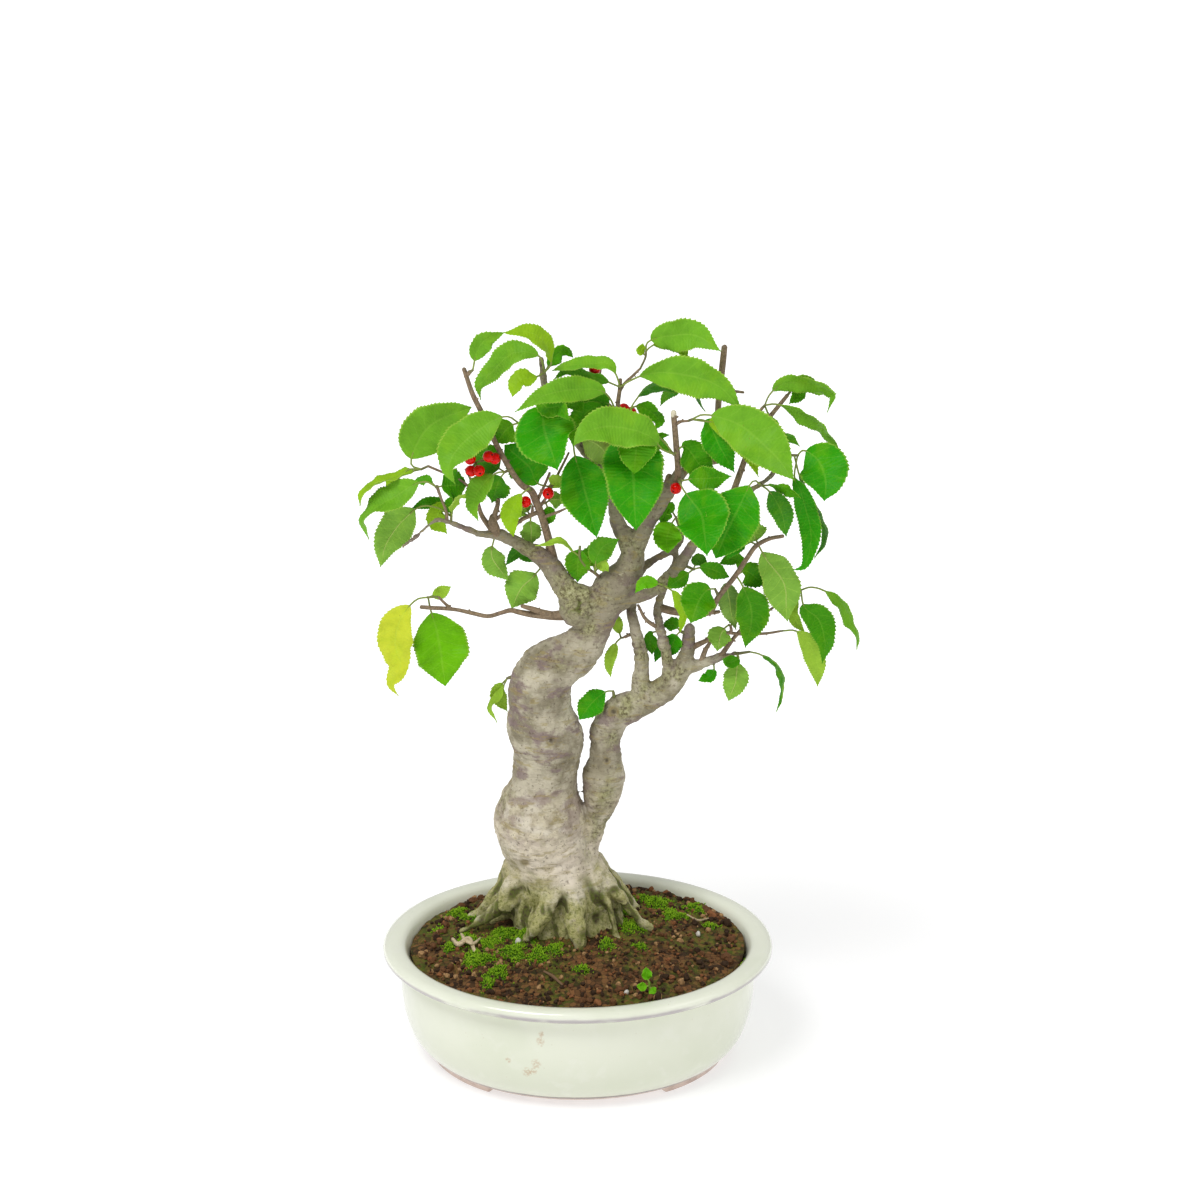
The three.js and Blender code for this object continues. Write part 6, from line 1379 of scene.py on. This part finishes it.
    ["pale", 5, 50, 50, 24, 20, [-41.5, -35], [-45, -42], [-48.6, -48], [-46.2, -55]],
  ]],
  ["spray_heart", [[-6, 14.5, 7, 0.6], [-9, 19, 5, 0.6], [-9, 24, 4, 0.6]], [
    ["pale", 4.5, 55, 55, 5, -3, [-9.2, 19.6], [-13, 22.5], [-18, 26], [-29, 24.4]],
    ["dark", [12, 0.08], 0, 0, 4, 8, [-9, 24], [-9.6, 21.5], [-10, 8]],
  ]],
  ["spray_heart_right", [[-2, 11.8, 8, 0.7], [-2.2, 12.8, 5, 0.6]], [
    ["mid", 13, 0, 0, 5, 14, [-2.2, 12.8], [-3, 17], [-1, 26]],
    ["under", 11, 10, 10, 5, 1, [-2.2, 12.8], [-1.5, 19], [2, 24], [8.6, 27.3]],
    ["pale", 6, 0, 0, 5, 3, [-2.2, 12.8], [1, 15.8], [3.8, 12.8]],
  ]],
  ["spray_between_stems", [[10.5, -16.8, 13, 0.55], [9.4, -17, 12.6, 0.5]], [
    ["pale", 5.5, 10, 10, 12.6, 10, [9.4, -17], [7.4, -18.9], [6.1, -22], [4, -29], [4.9, -34.5]],
    ["pale", 5.5, 10, 10, 12.6, 16, [9.4, -17], [8, -12], [6.9, -5.5]],
  ]],
  ["leaf_by_knot", [[6.5, -45, 15, 1], [5.9, -40.8, 13, 0.6]], [
    ["rich", 12, 0, 0, 13, 8, [5.9, -40.8], [3, -41], [-3, -45.5], [-9.3, -53.6]],
  ]],
  ["spray_behind_stem", [[27.4, -14.5, 13, 0.9], [26.4, -14, 16.8, 0.6]], [
    ["dark", 6.5, 0, 0, 16.8, 19, [26.4, -14], [22.8, -15], [23.3, -24.5]],
    ["rich", 5.5, 0, 0, 16.8, 21, [26.4, -14], [27.2, -20], [24.5, -28]],
  ]],
  ["spray_by_stub", [[38.6, -15, 14, 1], [36, -14, 12, 0.6]], [
    ["dark", 7, 0, 0, 12, 18, [36, -14], [33, -11], [28, -11.4]],
    ["rich", 9, 0, 0, 12, 17, [36, -14], [33.8, -16.5], [31.3, -25.5]],
  ]],
]
print("sprays:", len(SPRAYS), "leaves:", sum(len(leaves) for _, _, leaves in SPRAYS))

# %% Tones of the upper and the lower face
TONES = {
    # Painted light and shade: 'lit' is the green lightened for leaves in light, 'dark' darkened for leaves in
    # shade.
    "lit": (paint(108, 168, 36), paint(132, 182, 70)),
    "rich": (paint(46, 150, 0), paint(122, 176, 50)),
    "mid": (paint(78, 158, 4), paint(126, 178, 56)),
    "fresh": (paint(104, 178, 0), paint(140, 190, 50)),
    "dark": (paint(62, 142, 0), paint(118, 170, 48)),
    "teal": (paint(56, 128, 22), paint(112, 164, 56)),
    "lime": (paint(140, 184, 24), paint(160, 196, 64)),
    "pale": (paint(156, 196, 60), paint(176, 206, 96)),
    "bright": (paint(98, 178, 8), paint(146, 198, 64)),
    "under": (paint(78, 148, 20), paint(130, 180, 66)),
    "grey": (paint(70, 130, 34), paint(124, 162, 82)),
    "olive": (paint(96, 132, 30), paint(146, 176, 84)),
    "mottled": (paint(196, 206, 52), paint(196, 210, 90)),
}
STALK_TONE = (*paint(136, 150, 76), 0.5)
RIB_TONE = (*paint(172, 196, 104), 0.5)
SPUR_TONE = (*paint(120, 116, 82), 0.5)
STALK_SHARE = 0.17
KEEL = math.radians(14)
LEAF_PITCH = 1.7
BLADE = 0.36

# %% One leaf


def even_path(points, y_base, y_tip):
    """The midrib as a dense path, its depth growing evenly with the drawn length."""
    flat = np.asarray(points, float)
    length = np.concatenate([[0], np.cumsum(np.linalg.norm(np.diff(flat, axis=0), axis=1))])
    spots = seen(np.column_stack([flat, y_base + (y_tip - y_base) * length / length[-1]]))
    path = path_points(spots, np.linspace(0, len(flat) - 1, 240))
    run = np.concatenate([[0], np.cumsum(np.linalg.norm(np.diff(path, axis=0), axis=1))])
    return path, run


def at_share(path, run, shares):
    """The points where those shares of the path's length have been run."""
    return np.stack([np.interp(shares * run[-1], run, column) for column in path.T], axis=-1)


def blade(leaf, seed):
    """The leaf's stalk path and its blade: at + side * s * half + up * (fold + bulge + wave)."""
    tone, size, roll_base, roll_tip, y_base, y_tip, *points = leaf
    width, stalk_share = size if isinstance(size, list) else (size, STALK_SHARE)
    path, run = even_path(points, y_base, y_tip)
    teeth = int(np.clip(run[-1] * (1 - stalk_share) / 1.35, 9, 30))
    rows = np.arange(3 * teeth + 1)
    b = (rows // 3 + np.array([0.0, 0.5, 0.9])[rows % 3]) / teeth
    dice = np.random.default_rng(seed)
    phase, beat, hump, twist = dice.uniform(0, 6.28, 4)
    swell, taper = dice.uniform(0.66, 0.92), dice.uniform(1.0, 1.28)
    widest = swell / (swell + taper)
    at = at_share(path, run, stalk_share + (1 - stalk_share) * np.minimum(b, 1))
    ahead = unit(at_share(path, run, np.minimum(stalk_share + (1 - stalk_share) * b + 0.01, 1)) -
                 at_share(path, run, np.maximum(stalk_share + (1 - stalk_share) * b - 0.01, 0)))
    facing = EYE - at
    facing = unit(facing - (facing * ahead).sum(1)[:, None] * ahead)
    across = np.cross(ahead, facing)
    sway = 12 * np.sin(np.pi * b) * np.sin(2 * np.pi * b * 0.9 + twist)
    roll = np.radians(roll_base + (roll_tip - roll_base) * b + sway)[:, None]
    up = facing * np.cos(roll) + across * np.sin(roll)
    side = across * np.cos(roll) - facing * np.sin(roll)
    form = (np.maximum(b, 1e-6) / widest) ** swell * (np.maximum(1 - b, 0) / (1 - widest)) ** taper
    tooth = np.array([-0.3, 0.0, 0.42])[rows % 3] * min(1.0, width / 12)
    tooth = tooth * np.sin(np.pi * np.clip(b, 0.04, 0.97)) ** 0.5
    half = np.maximum(width / 2 * form + tooth, 0.22)
    half[-1] = 0.05
    s = np.array([-1, -0.86, -0.62, -0.36, -0.1, 0.1, 0.36, 0.62, 0.86, 1])
    at = at + up * (0.038 * run[-1] * np.sin(np.pi * b) * np.sin(2 * np.pi * b * 0.75 + hump))[:, None]
    uneven = 0.045 * np.sin(2 * np.pi * 1.3 * b[:, None] + phase + 2.2 * np.sign(s))
    uneven += 0.015 * np.sin(2 * np.pi * 3.6 * b[:, None] + beat - np.sign(s))
    reach = half[:, None] * (1 + uneven)
    veins = np.cos(2 * np.pi * (b[:, None] * 7.5 - np.abs(s) * 1.5))
    bulge = 0.17 * veins * (1 - np.abs(s) ** 4) * np.minimum(half, 4)[:, None] / 4
    slow = np.sin(2 * np.pi * 2.1 * b[:, None] + phase + np.sign(s) * beat)
    quick = np.sin(2 * np.pi * 5.3 * b[:, None] + beat - np.sign(s) * phase)
    wave = half[:, None] * (0.17 * np.abs(s) ** 2 * slow + 0.06 * np.abs(s) ** 3 * quick)
    fold = (np.abs(s) ** 1.15 - 0.6) * math.tan(KEEL) * half[:, None]
    fold = fold * np.sin(np.pi * np.clip(b, 0, 1))[:, None] ** 0.4
    lift = fold + wave + bulge - 0.12 * (np.abs(s) < 0.2)
    middle = at[:, None] + side[:, None] * (s * reach)[..., None] + up[:, None] * lift[..., None]
    thick = BLADE / 2 * (1 - 0.55 * np.abs(s) ** 3)[None, :, None] * up[:, None]
    return path, run, stalk_share, b, s, middle + thick, middle - thick, up


def add_leaf(heap, leaf, seed):
    """The blade as a closed shell of two grids, and a round stalk that runs on below as the midrib."""
    path, run, stalk_share, b, s, upper, lower, up = blade(leaf, seed)
    high_tone, low_tone = TONES[leaf[0]]
    rows, columns = upper.shape[:2]
    count = rows * columns
    top = grid_faces(rows, columns)
    number = np.arange(count).reshape(rows, columns)
    left, right = number[:, 0], number[:, -1]
    first, last = number[0], number[-1]
    rims = [
        np.stack([left[:-1], left[1:], left[1:] + count, left[:-1] + count], -1),
        np.stack([right[:-1] + count, right[1:] + count, right[1:], right[:-1]], -1),
        np.stack([first[:-1], first[:-1] + count, first[1:] + count, first[1:]], -1),
        np.stack([last[:-1], last[1:], last[1:] + count, last[:-1] + count], -1),
    ]
    places = np.stack(np.broadcast_arrays(0.5 + 0.5 * s[None, :], b[:, None]), axis=-1).reshape(-1, 2)
    tones = np.array([(*high_tone, 1.0)] * count + [(*low_tone, 0.0)] * count)
    points = np.vstack([upper.reshape(-1, 3), lower.reshape(-1, 3)])
    heap.add(points, [top, top[:, ::-1] + count, *rims], np.vstack([places, places]), tones)
    shares = np.linspace(0.002, min(stalk_share + 0.8 * (1 - stalk_share), 0.97), 22)
    beyond = np.clip((shares - stalk_share) / (1 - stalk_share), 0, 1)
    keel = lower[:, 4:6].mean(axis=1) - 0.02 * up
    under = np.stack([np.interp(beyond, b, column) for column in keel.T], axis=-1)
    settled = np.clip(beyond / 0.04, 0, 1)[:, None]
    rib = at_share(path, run, shares) * (1 - settled) + under * settled
    tube(heap, rib[beyond < 0.1], np.full((beyond < 0.1).sum(), 0.42), 6, STALK_TONE)
    tube(heap, rib[beyond > 0], 0.3 * (1 - 0.6 * beyond[beyond > 0]), 6, RIB_TONE)


print("leaf functions ready")

# %% [markdown]
# ## The leaf's material
#
# Upper faces are glossy green and differ from leaf to leaf, partly as painted light and shade in the
# lit and dark tones. Undersides are matt and paler. Midrib and side veins are paler lines, drawn from
# the blade's own UV map: the side veins are sloping stripes that arch towards the tip. Between them
# runs a fine net. The teeth are yellowish, and some leaves carry brown specks and yellow mottling, as
# late summer leaves do.

# %% Veins, specks and edges
leaf_finish = Finish("winterberry leaf", Specular_IOR_Level=0.12)
leaf_tone = leaf_finish.tone()
top_side = leaf_finish.tone("Alpha")
on_leaf = leaf_finish.add("ShaderNodeUVMap", {"uv_map": "pattern"})
to_edge = (leaf_finish.along(on_leaf, "X") - 0.5).size() * 2
along_rib = leaf_finish.along(on_leaf, "Y")
on_blade = along_rib.between(-0.5, -0.1)
arch = to_edge * (1.5 - to_edge * 0.45)
slope = (along_rib * 7.5 - arch + leaf_finish.cloud(7, 1.0) * 0.25).share()
side_vein = (slope - 0.5).size().between(0.43, 0.495) * to_edge.between(0.97, 0.72)
midrib = to_edge.between(0.07, 0.02)
net = leaf_finish.cells(1.5, "DISTANCE_TO_EDGE").between(0.07, 0.02)
ribs = (midrib + side_vein * 0.75).held() * on_blade
depth_of_tone = leaf_finish.cloud(5.5, 3.0, 0.6)
deeper = leaf_finish.mix(0.5, leaf_tone, paint(30, 92, 4))
leaf_colour = leaf_finish.mix(depth_of_tone.between(0.38, 0.66) * 0.3, leaf_tone, deeper)
yellowing = leaf_finish.cloud(11, 2.0, shift=0.2).between(0.5, 0.68)
leaf_colour = leaf_finish.mix(yellowing * 0.16, leaf_colour, paint(150, 196, 20))
leaf_colour = leaf_finish.mix(net * on_blade * 0.1, leaf_colour, paint(140, 200, 30))
leaf_colour = leaf_finish.mix(ribs * (0.5 - top_side * 0.38), leaf_colour, paint(170, 212, 84))
margin = to_edge.between(0.9, 0.985) * on_blade
leaf_colour = leaf_finish.mix(margin * 0.35, leaf_colour, paint(196, 216, 96))
specks = leaf_finish.cells(2.8).between(0.1, 0.05) * leaf_finish.cloud(16, 2.0, shift=0.7).between(0.56, 0.66)
leaf_colour = leaf_finish.mix(specks * 0.6, leaf_colour, paint(120, 84, 36))
matt = 0.62 - top_side * 0.2
wavy = leaf_finish.relief(depth_of_tone, 0.35, 0.3)
leaf_finish.feed(
    Base_Color=leaf_colour,
    Roughness=matt + depth_of_tone * 0.12,
    Normal=leaf_finish.relief(ribs * (1 - top_side * 1.6) + net * 0.15, 0.16, 0.6, under=wavy),
)
print("leaf nodes:", len(leaf_finish.nodes))

# %% Sprays put together
seed = 100
for name, spur, leaves in SPRAYS:
    spray = Heap()
    feet = {}
    for leaf in leaves:
        feet.setdefault(str(leaf[6]), []).append(leaf)
    end = spur[-1]
    stem = [list(point) for point in spur]
    for group in feet.values():
        group = sorted(group, key=lambda leaf: leaf[5])
        middle = (len(group) - 1) / 2
        for number, leaf in enumerate(group):
            seed += 1
            set_off = [*leaf[:4], leaf[4] + (number - middle) * LEAF_PITCH, *leaf[5:]]
            add_leaf(spray, set_off, seed)
        if len(group) > 1:
            (u, v), y = group[0][6], group[0][4]
            reach = middle * LEAF_PITCH + 0.3
            if [u, v] == end[:2]:
                towards = math.copysign(1, end[2] - spur[-2][2])
                ends = [[u, v, y - towards * reach, end[3]], [u, v, y + towards * reach, end[3]]]
                stem = [list(point) for point in spur[:-1]] + ends
            else:
                limb(spray, [[u, v, y - reach, 0.6], [u, v, y + reach, 0.6]], 8, SPUR_TONE)
    limb(spray, stem, 10, SPUR_TONE, step=0.8, waviness=0.08, seed=seed)
    spray.piece("foliage_" + name.replace("spray_", ""), leaf_finish.material, [name], "leaf")
print("sprays made:", len(SPRAYS))

# %% [markdown]
# ## The berries
#
# Glossy red drupes, a little flattened, each on a short stalk, with the dark remains of the flower at
# the far end. A profile turned round the stalk's direction gives the body with its two dimples. The
# colour deepens towards the stalk and the end mark is nearly black.

# %% Berry groups: name, stalk points and fruits
BERRIES = [
  ["berries_left", [[-57.6, 52, 8], [-58.6, 57.5, 3.6], [-55.6, 61.6, 0.4]], [
    [-58.2, 63.2, -2.6], [-49.9, 64.3, -4], [-47.1, 63.4, -1.6], [-57.8, 57.8, -2.4], [-54.2, 57.9, -5.6],
  ]],
  ["berry_upper_left", [[-33.4, 79.6, 3.6], [-33.9, 76.6, -0.8]], [[-35.4, 73.4, -1]]],
  ["berry_inner_left", [[-22.6, 48.8, 8.3], [-23, 48.3, 5]], [[-23.2, 47.8, 2.6]]],
  ["berry_crown_stub", [[-0.1, 100.6, 11.6], [-1.6, 99.8, 9]], [[-2.4, 103.3, 8.4]]],
  ["berry_middle", [[9.3, 74.3, 10.8], [6.6, 75.6, 7.4]], [[5.2, 72.7, 6.6]]],
  ["berries_crown", [[8.1, 83, 9.9], [9, 82.6, 13]], [[3, 86, 14], [10.7, 85.6, 14.5], [13.9, 84, 15]]],
  ["berry_fork", [[35, 55, 3.2], [35.6, 51.8, 1.8]], [[34, 50, -0.4]]],
  ["berry_inner", [[-30.2, 42, 4], [-31, 43.4, 3.4]], [[-33.4, 44, 2.8]]],
]
BERRY_RADIUS = 2.6
BERRY_COLUMNS = 28
STALK_MARK = (0, 0, 0, 0.4)
print("berry groups:", len(BERRIES))

# %% One berry


def add_berry(heap, at, foot):
    """The profile (sin p, cos p) of a ball with dimpled poles, turned round the way from the foot."""
    axis = unit(at - foot)
    side = unit(np.cross(axis, [0.3, 0.2, 0.9]))
    other = np.cross(axis, side)
    p = np.linspace(0.06, np.pi - 0.06, 22)
    turn = np.linspace(0, 2 * np.pi, BERRY_COLUMNS, endpoint=False)
    round_part = 1 - 0.1 * np.exp(-((p / 0.3) ** 2)) - 0.12 * np.exp(-(((np.pi - p) / 0.26) ** 2))
    out = np.sin(p) * BERRY_RADIUS
    height = -np.cos(p) * BERRY_RADIUS * 0.97 * round_part
    ring = side[None, :] * np.cos(turn)[:, None] + other[None, :] * np.sin(turn)[:, None]
    body = at + axis * height[:, None, None] + ring[None] * out[:, None, None]
    poles = [at + axis * height[0], at + axis * height[-1]]
    points = np.vstack([body.reshape(-1, 3), poles])
    last = len(p) * BERRY_COLUMNS
    ring_numbers = np.arange(BERRY_COLUMNS)
    faces = [
        grid_faces(len(p), BERRY_COLUMNS, around=True),
        fan_faces(ring_numbers, last, outward=False),
        fan_faces(ring_numbers + last - BERRY_COLUMNS, last + 1),
    ]
    shares = np.concatenate([np.repeat(p / np.pi, BERRY_COLUMNS), [0, 1]])
    places = np.column_stack([np.zeros(last + 2), shares])
    heap.add(points, faces, places, (1, 1, 1, 1))
    crown = at + axis * (height[-1] + 0.02)
    button = np.array([crown - axis * 0.3, crown, crown + axis * 0.22])
    tube(heap, button, [0.5, 0.5, 0.3], 8, (0, 0, 0, 0.0), spot=(0, 2.0))


print("berry columns:", BERRY_COLUMNS)

# %% The skin of the berries, and the bunches
peel = Finish("berry skin", Coat_Weight=0.12, Coat_Roughness=0.05, Specular_IOR_Level=0.15)
to_tip = peel.along(peel.add("ShaderNodeUVMap", {"uv_map": "pattern"}), "Y")
is_fruit = peel.tone("Alpha")
red = peel.mix(peel.cloud(2.4, 2.0).between(0.35, 0.7), paint(232, 8, 2), paint(196, 2, 0))
red = peel.mix(to_tip.between(0.3, 0.02) * 0.5, red, paint(190, 60, 20))
red = peel.mix(to_tip.between(0.93, 0.965), red, paint(40, 16, 12))
whole = peel.mix(is_fruit.between(0.6, 0.9), paint(128, 132, 64), red)
whole = peel.mix(to_tip.between(1.4, 1.8), whole, paint(30, 18, 12))
peel.feed(
    Base_Color=whole,
    Roughness=0.5 - is_fruit * 0.3,
    Normal=peel.relief(peel.cloud(1.1, 2.0), 0.05, 0.3),
)
for name, stem, fruits in BERRIES:
    bunch = Heap()
    foot = stem[-1]
    if len(fruits) > 1:
        limb(bunch, [[*point, 0.42] for point in stem], 8, STALK_MARK, step=0.8)
    for fruit in fruits:
        way = [foot, fruit] if len(fruits) > 1 else [*stem, fruit]
        limb(bunch, [[*point, 0.38] for point in way], 8, STALK_MARK, step=0.8)
        add_berry(bunch, seen(fruit), seen(way[-2]))
    bunch.piece("red_" + name, peel.material, [name], "berry")
print("berry skin nodes:", len(peel.nodes))

# %% [markdown]
# ## The seedling and the small things on the soil
#
# A seedling with three leaves stands at the front edge. On the left lie a pale twisted root and a
# white stone, on the right a stick, and a sprout shows at the rim. They rest on the soil, which is
# found by following the eye's ray down to it. High in the tree one stub was cut lately, so a short pale
# cap closes it.

# %% Seedling
SEEDLING_STEM = [[22.4, -181, -49, 0.7], [22.2, -176, -50, 0.55], [22, -171, -51, 0.5]]
SEEDLING_LEAVES = [
    ["bright", 4.8, 0, 0, -51, -52, [22, -171.4], [21.2, -169.2], [20.6, -164.6]],
    ["bright", 4.2, 0, 0, -50.7, -53, [22.1, -172.8], [19.7, -173.2], [16.4, -172.9]],
    ["bright", 4.0, 0, 0, -50.4, -53, [22.2, -173.4], [23.0, -174.2], [24.6, -176.6]],
]
seedling = Heap()
limb(seedling, SEEDLING_STEM, 10, (*paint(120, 150, 60), 0.5), step=0.5)
for number, leaf in enumerate(SEEDLING_LEAVES):
    add_leaf(seedling, leaf, 700 + number)
seedling.piece("young_seedling", leaf_finish.material, ["seedling"], "seedling_leaf")
print("seedling made")

# %% Root, stones, sticks and the fresh cut
wood = Finish("weathered wood", Specular_IOR_Level=0.3)
grain_lines = wood.cloud(1.4, 4.0, 0.7)
wood.feed(
    Base_Color=wood.mix(grain_lines.between(0.4, 0.65) * 0.5, wood.tone(), paint(110, 92, 72)),
    Roughness=grain_lines * 0.2 + 0.65,
    Normal=wood.relief(grain_lines, 0.2, 0.7),
)


def lying(places, radii, lift):
    """Points of a thing that lies on the soil: where each (u, v) meets it, raised by its own girth."""
    spots = np.array([on_soil(u, v) for u, v in places])
    spots[:, 2] += np.asarray(radii) * 0.6 + np.asarray(lift)
    return path_points(spots, np.linspace(0, len(spots) - 1, 12 * len(spots)))


def add_lying(heap, places, radii, lift, tone, seed, columns):
    """A knobbly tube along that path, its girth read off the radii at the same share of the way."""
    path = lying(places, radii, lift)
    girth = np.interp(np.linspace(0, 1, len(path)), np.linspace(0, 1, len(radii)), radii)
    tube(heap, path, girth, columns, tone, waviness=0.16, seed=seed)


PALE_ROOT = (*paint(214, 196, 160), 1)
SCRAPS = [
    ([(-66, -153), (-63, -156), (-59, -153.5), (-56, -158)], [0.9, 1.3, 1.2, 0.8], [0.6, 1.2, 1.4, 0.2],
     PALE_ROOT, 3, 12),
    ([(-62, -150), (-60.5, -154), (-57, -155.5), (-53.5, -152)], [0.6, 0.9, 0.9, 0.5], [0.2, 1.6, 1.2, 0.3],
     PALE_ROOT, 8, 12),
    ([(-25, -167), (-21, -169.5), (-17, -173)], [0.5, 0.7, 0.5], [0.4, 0.5, 0.4],
     (*paint(120, 92, 66), 1), 5, 12),
    ([(39, -141.5), (44, -144.5), (49, -143)], [0.4, 0.5, 0.35], [0.3, 1.0, 0.3],
     (*paint(196, 176, 140), 1), 6, 12),
    ([(66, -164), (67, -163), (68.5, -162.5)], [0.5, 0.7, 0.3], [0.1, 0.9, 0.6],
     (*paint(150, 190, 60), 1), 7, 8),
]
scraps = Heap()
for scrap in SCRAPS:
    add_lying(scraps, *scrap)
scraps.piece("roots_and_sticks", wood.material, ["soil"], "soil")
fresh_cut = Heap()
limb(fresh_cut, [[33, 82.4, 0, 1.32], [33, 84.2, 0, 1.25]], 12, (*paint(224, 216, 190), 1))
fresh_cut.piece("pale_cut_end", wood.material, ["tree"], "bark")
stones = Heap()
stone_spots = np.array([on_soil(-36.5, -153.5), on_soil(12, -176), on_soil(44, -150)])
sown(stones, stone_spots, np.array([2.1, 1.2, 1.3]), np.array([[*paint(224, 220, 210), 1]] * 3), 33)
pebble = Finish("pale stone")
pebble_cloud = pebble.cloud(1.8, 3.0)
pebble.feed(
    Base_Color=pebble.mix(pebble_cloud, paint(236, 232, 222), paint(176, 170, 160)),
    Roughness=pebble_cloud * 0.3 + 0.4,
    Normal=pebble.relief(pebble_cloud, 0.3, 0.6),
)
stones.piece("pale_stones", pebble.material, ["soil"], "soil")
print("small things made")

# %% [markdown]
# ## Floor, light and camera
#
# The tree stands on a plain pale floor under soft, even studio light. The world fills every shadow at
# half strength and shows the camera plain white. One broad lamp from the upper left gives the leaves and
# the glaze their sheen, and a second one keeps the right side open. The floor glows a little as painted
# light, more away from the pot, so that the lamp's fall-off leaves no grey on it, and near the pot
# enough to pale the pot's shadow. The camera takes the place of the eye that the layout is read in.

# %% Stage
floor_finish = Finish("pale floor", Roughness=0.9, Specular_IOR_Level=0.1, Emission_Strength=1.0)
to_pot = floor_finish.add("ShaderNodeVectorMath", {"operation": "LENGTH"}, {0: floor_finish.where()}, "Value")
# Painted light: the floor glows 0.58 near the pot and 0.95 further out.
painted_floor_glow = floor_finish.mix(to_pot.between(0.12, 0.5), (0.58, 0.58, 0.58), (0.95, 0.95, 0.95))
floor_finish.feed(Base_Color=paint(190, 190, 190), Emission_Color=painted_floor_glow)
floor_mesh = bpy.data.meshes.new("floor")
floor_mesh.from_pydata([(-6, -6, 0), (6, -6, 0), (6, 6, 0), (-6, 6, 0)], [], [(0, 1, 2, 3)])
floor_mesh.materials.append(floor_finish.material)
floor = bpy.data.objects.new("floor", floor_mesh)
bpy.context.scene.collection.objects.link(floor)
floor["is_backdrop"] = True

world = bpy.data.worlds.new("studio")
world.use_nodes = True
glow = world.node_tree.nodes["Background"]
glow.inputs["Color"].default_value = (1.0, 1.0, 1.0, 1.0)
backdrop = world.node_tree.nodes.new("ShaderNodeBackground")
backdrop.inputs["Color"].default_value = (1.0, 1.0, 1.0, 1.0)
ray = world.node_tree.nodes.new("ShaderNodeLightPath")
glow.inputs["Strength"].default_value = 0.5
chosen = world.node_tree.nodes.new("ShaderNodeMixShader")
for output, socket in (
    (ray.outputs["Is Camera Ray"], chosen.inputs[0]),
    (glow.outputs[0], chosen.inputs[1]),
    (backdrop.outputs[0], chosen.inputs[2]),
    (chosen.outputs[0], world.node_tree.nodes["World Output"].inputs["Surface"]),
):
    world.node_tree.links.new(output, socket)
bpy.context.scene.world = world
bpy.context.scene.view_settings.view_transform = "Standard"


def soft_lamp(name, spot, target, wide, power):
    """A square lamp of that width at a spot, turned towards the target."""
    lamp = bpy.data.lights.new(name, "AREA")
    lamp.size, lamp.energy = wide, power
    holder = bpy.data.objects.new(name, lamp)
    bpy.context.scene.collection.objects.link(holder)
    holder.location = spot
    way = holder.location - type(holder.location)(target)
    holder.rotation_euler = way.to_track_quat("Z", "Y").to_euler()


soft_lamp("broad lamp", (-0.6, -0.75, 1.6), (0, 0, 0.2), 0.7, 16)
soft_lamp("side lamp", (1.1, -0.6, 1.0), (0, 0, 0.2), 0.8, 2.5)
print("lamps placed")

# %% Camera
lens = bpy.data.cameras.new("camera")
lens.lens, lens.sensor_width, lens.clip_end = 83.7, 36.0, 50
camera = bpy.data.objects.new("camera", lens)
camera.location = EYE * MM + POT_CENTRE
camera.rotation_euler = (math.radians(90) - TILT, 0, 0)
bpy.context.scene.collection.objects.link(camera)
bpy.context.scene.camera = camera
print("camera at", np.round(np.array(camera.location), 3).tolist())

# %% Sizes and the end
bpy.context.view_layer.update()
dressed_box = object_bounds()
sizes = {"cad": [list(corner) for corner in solid_box], "visual": [list(corner) for corner in dressed_box]}
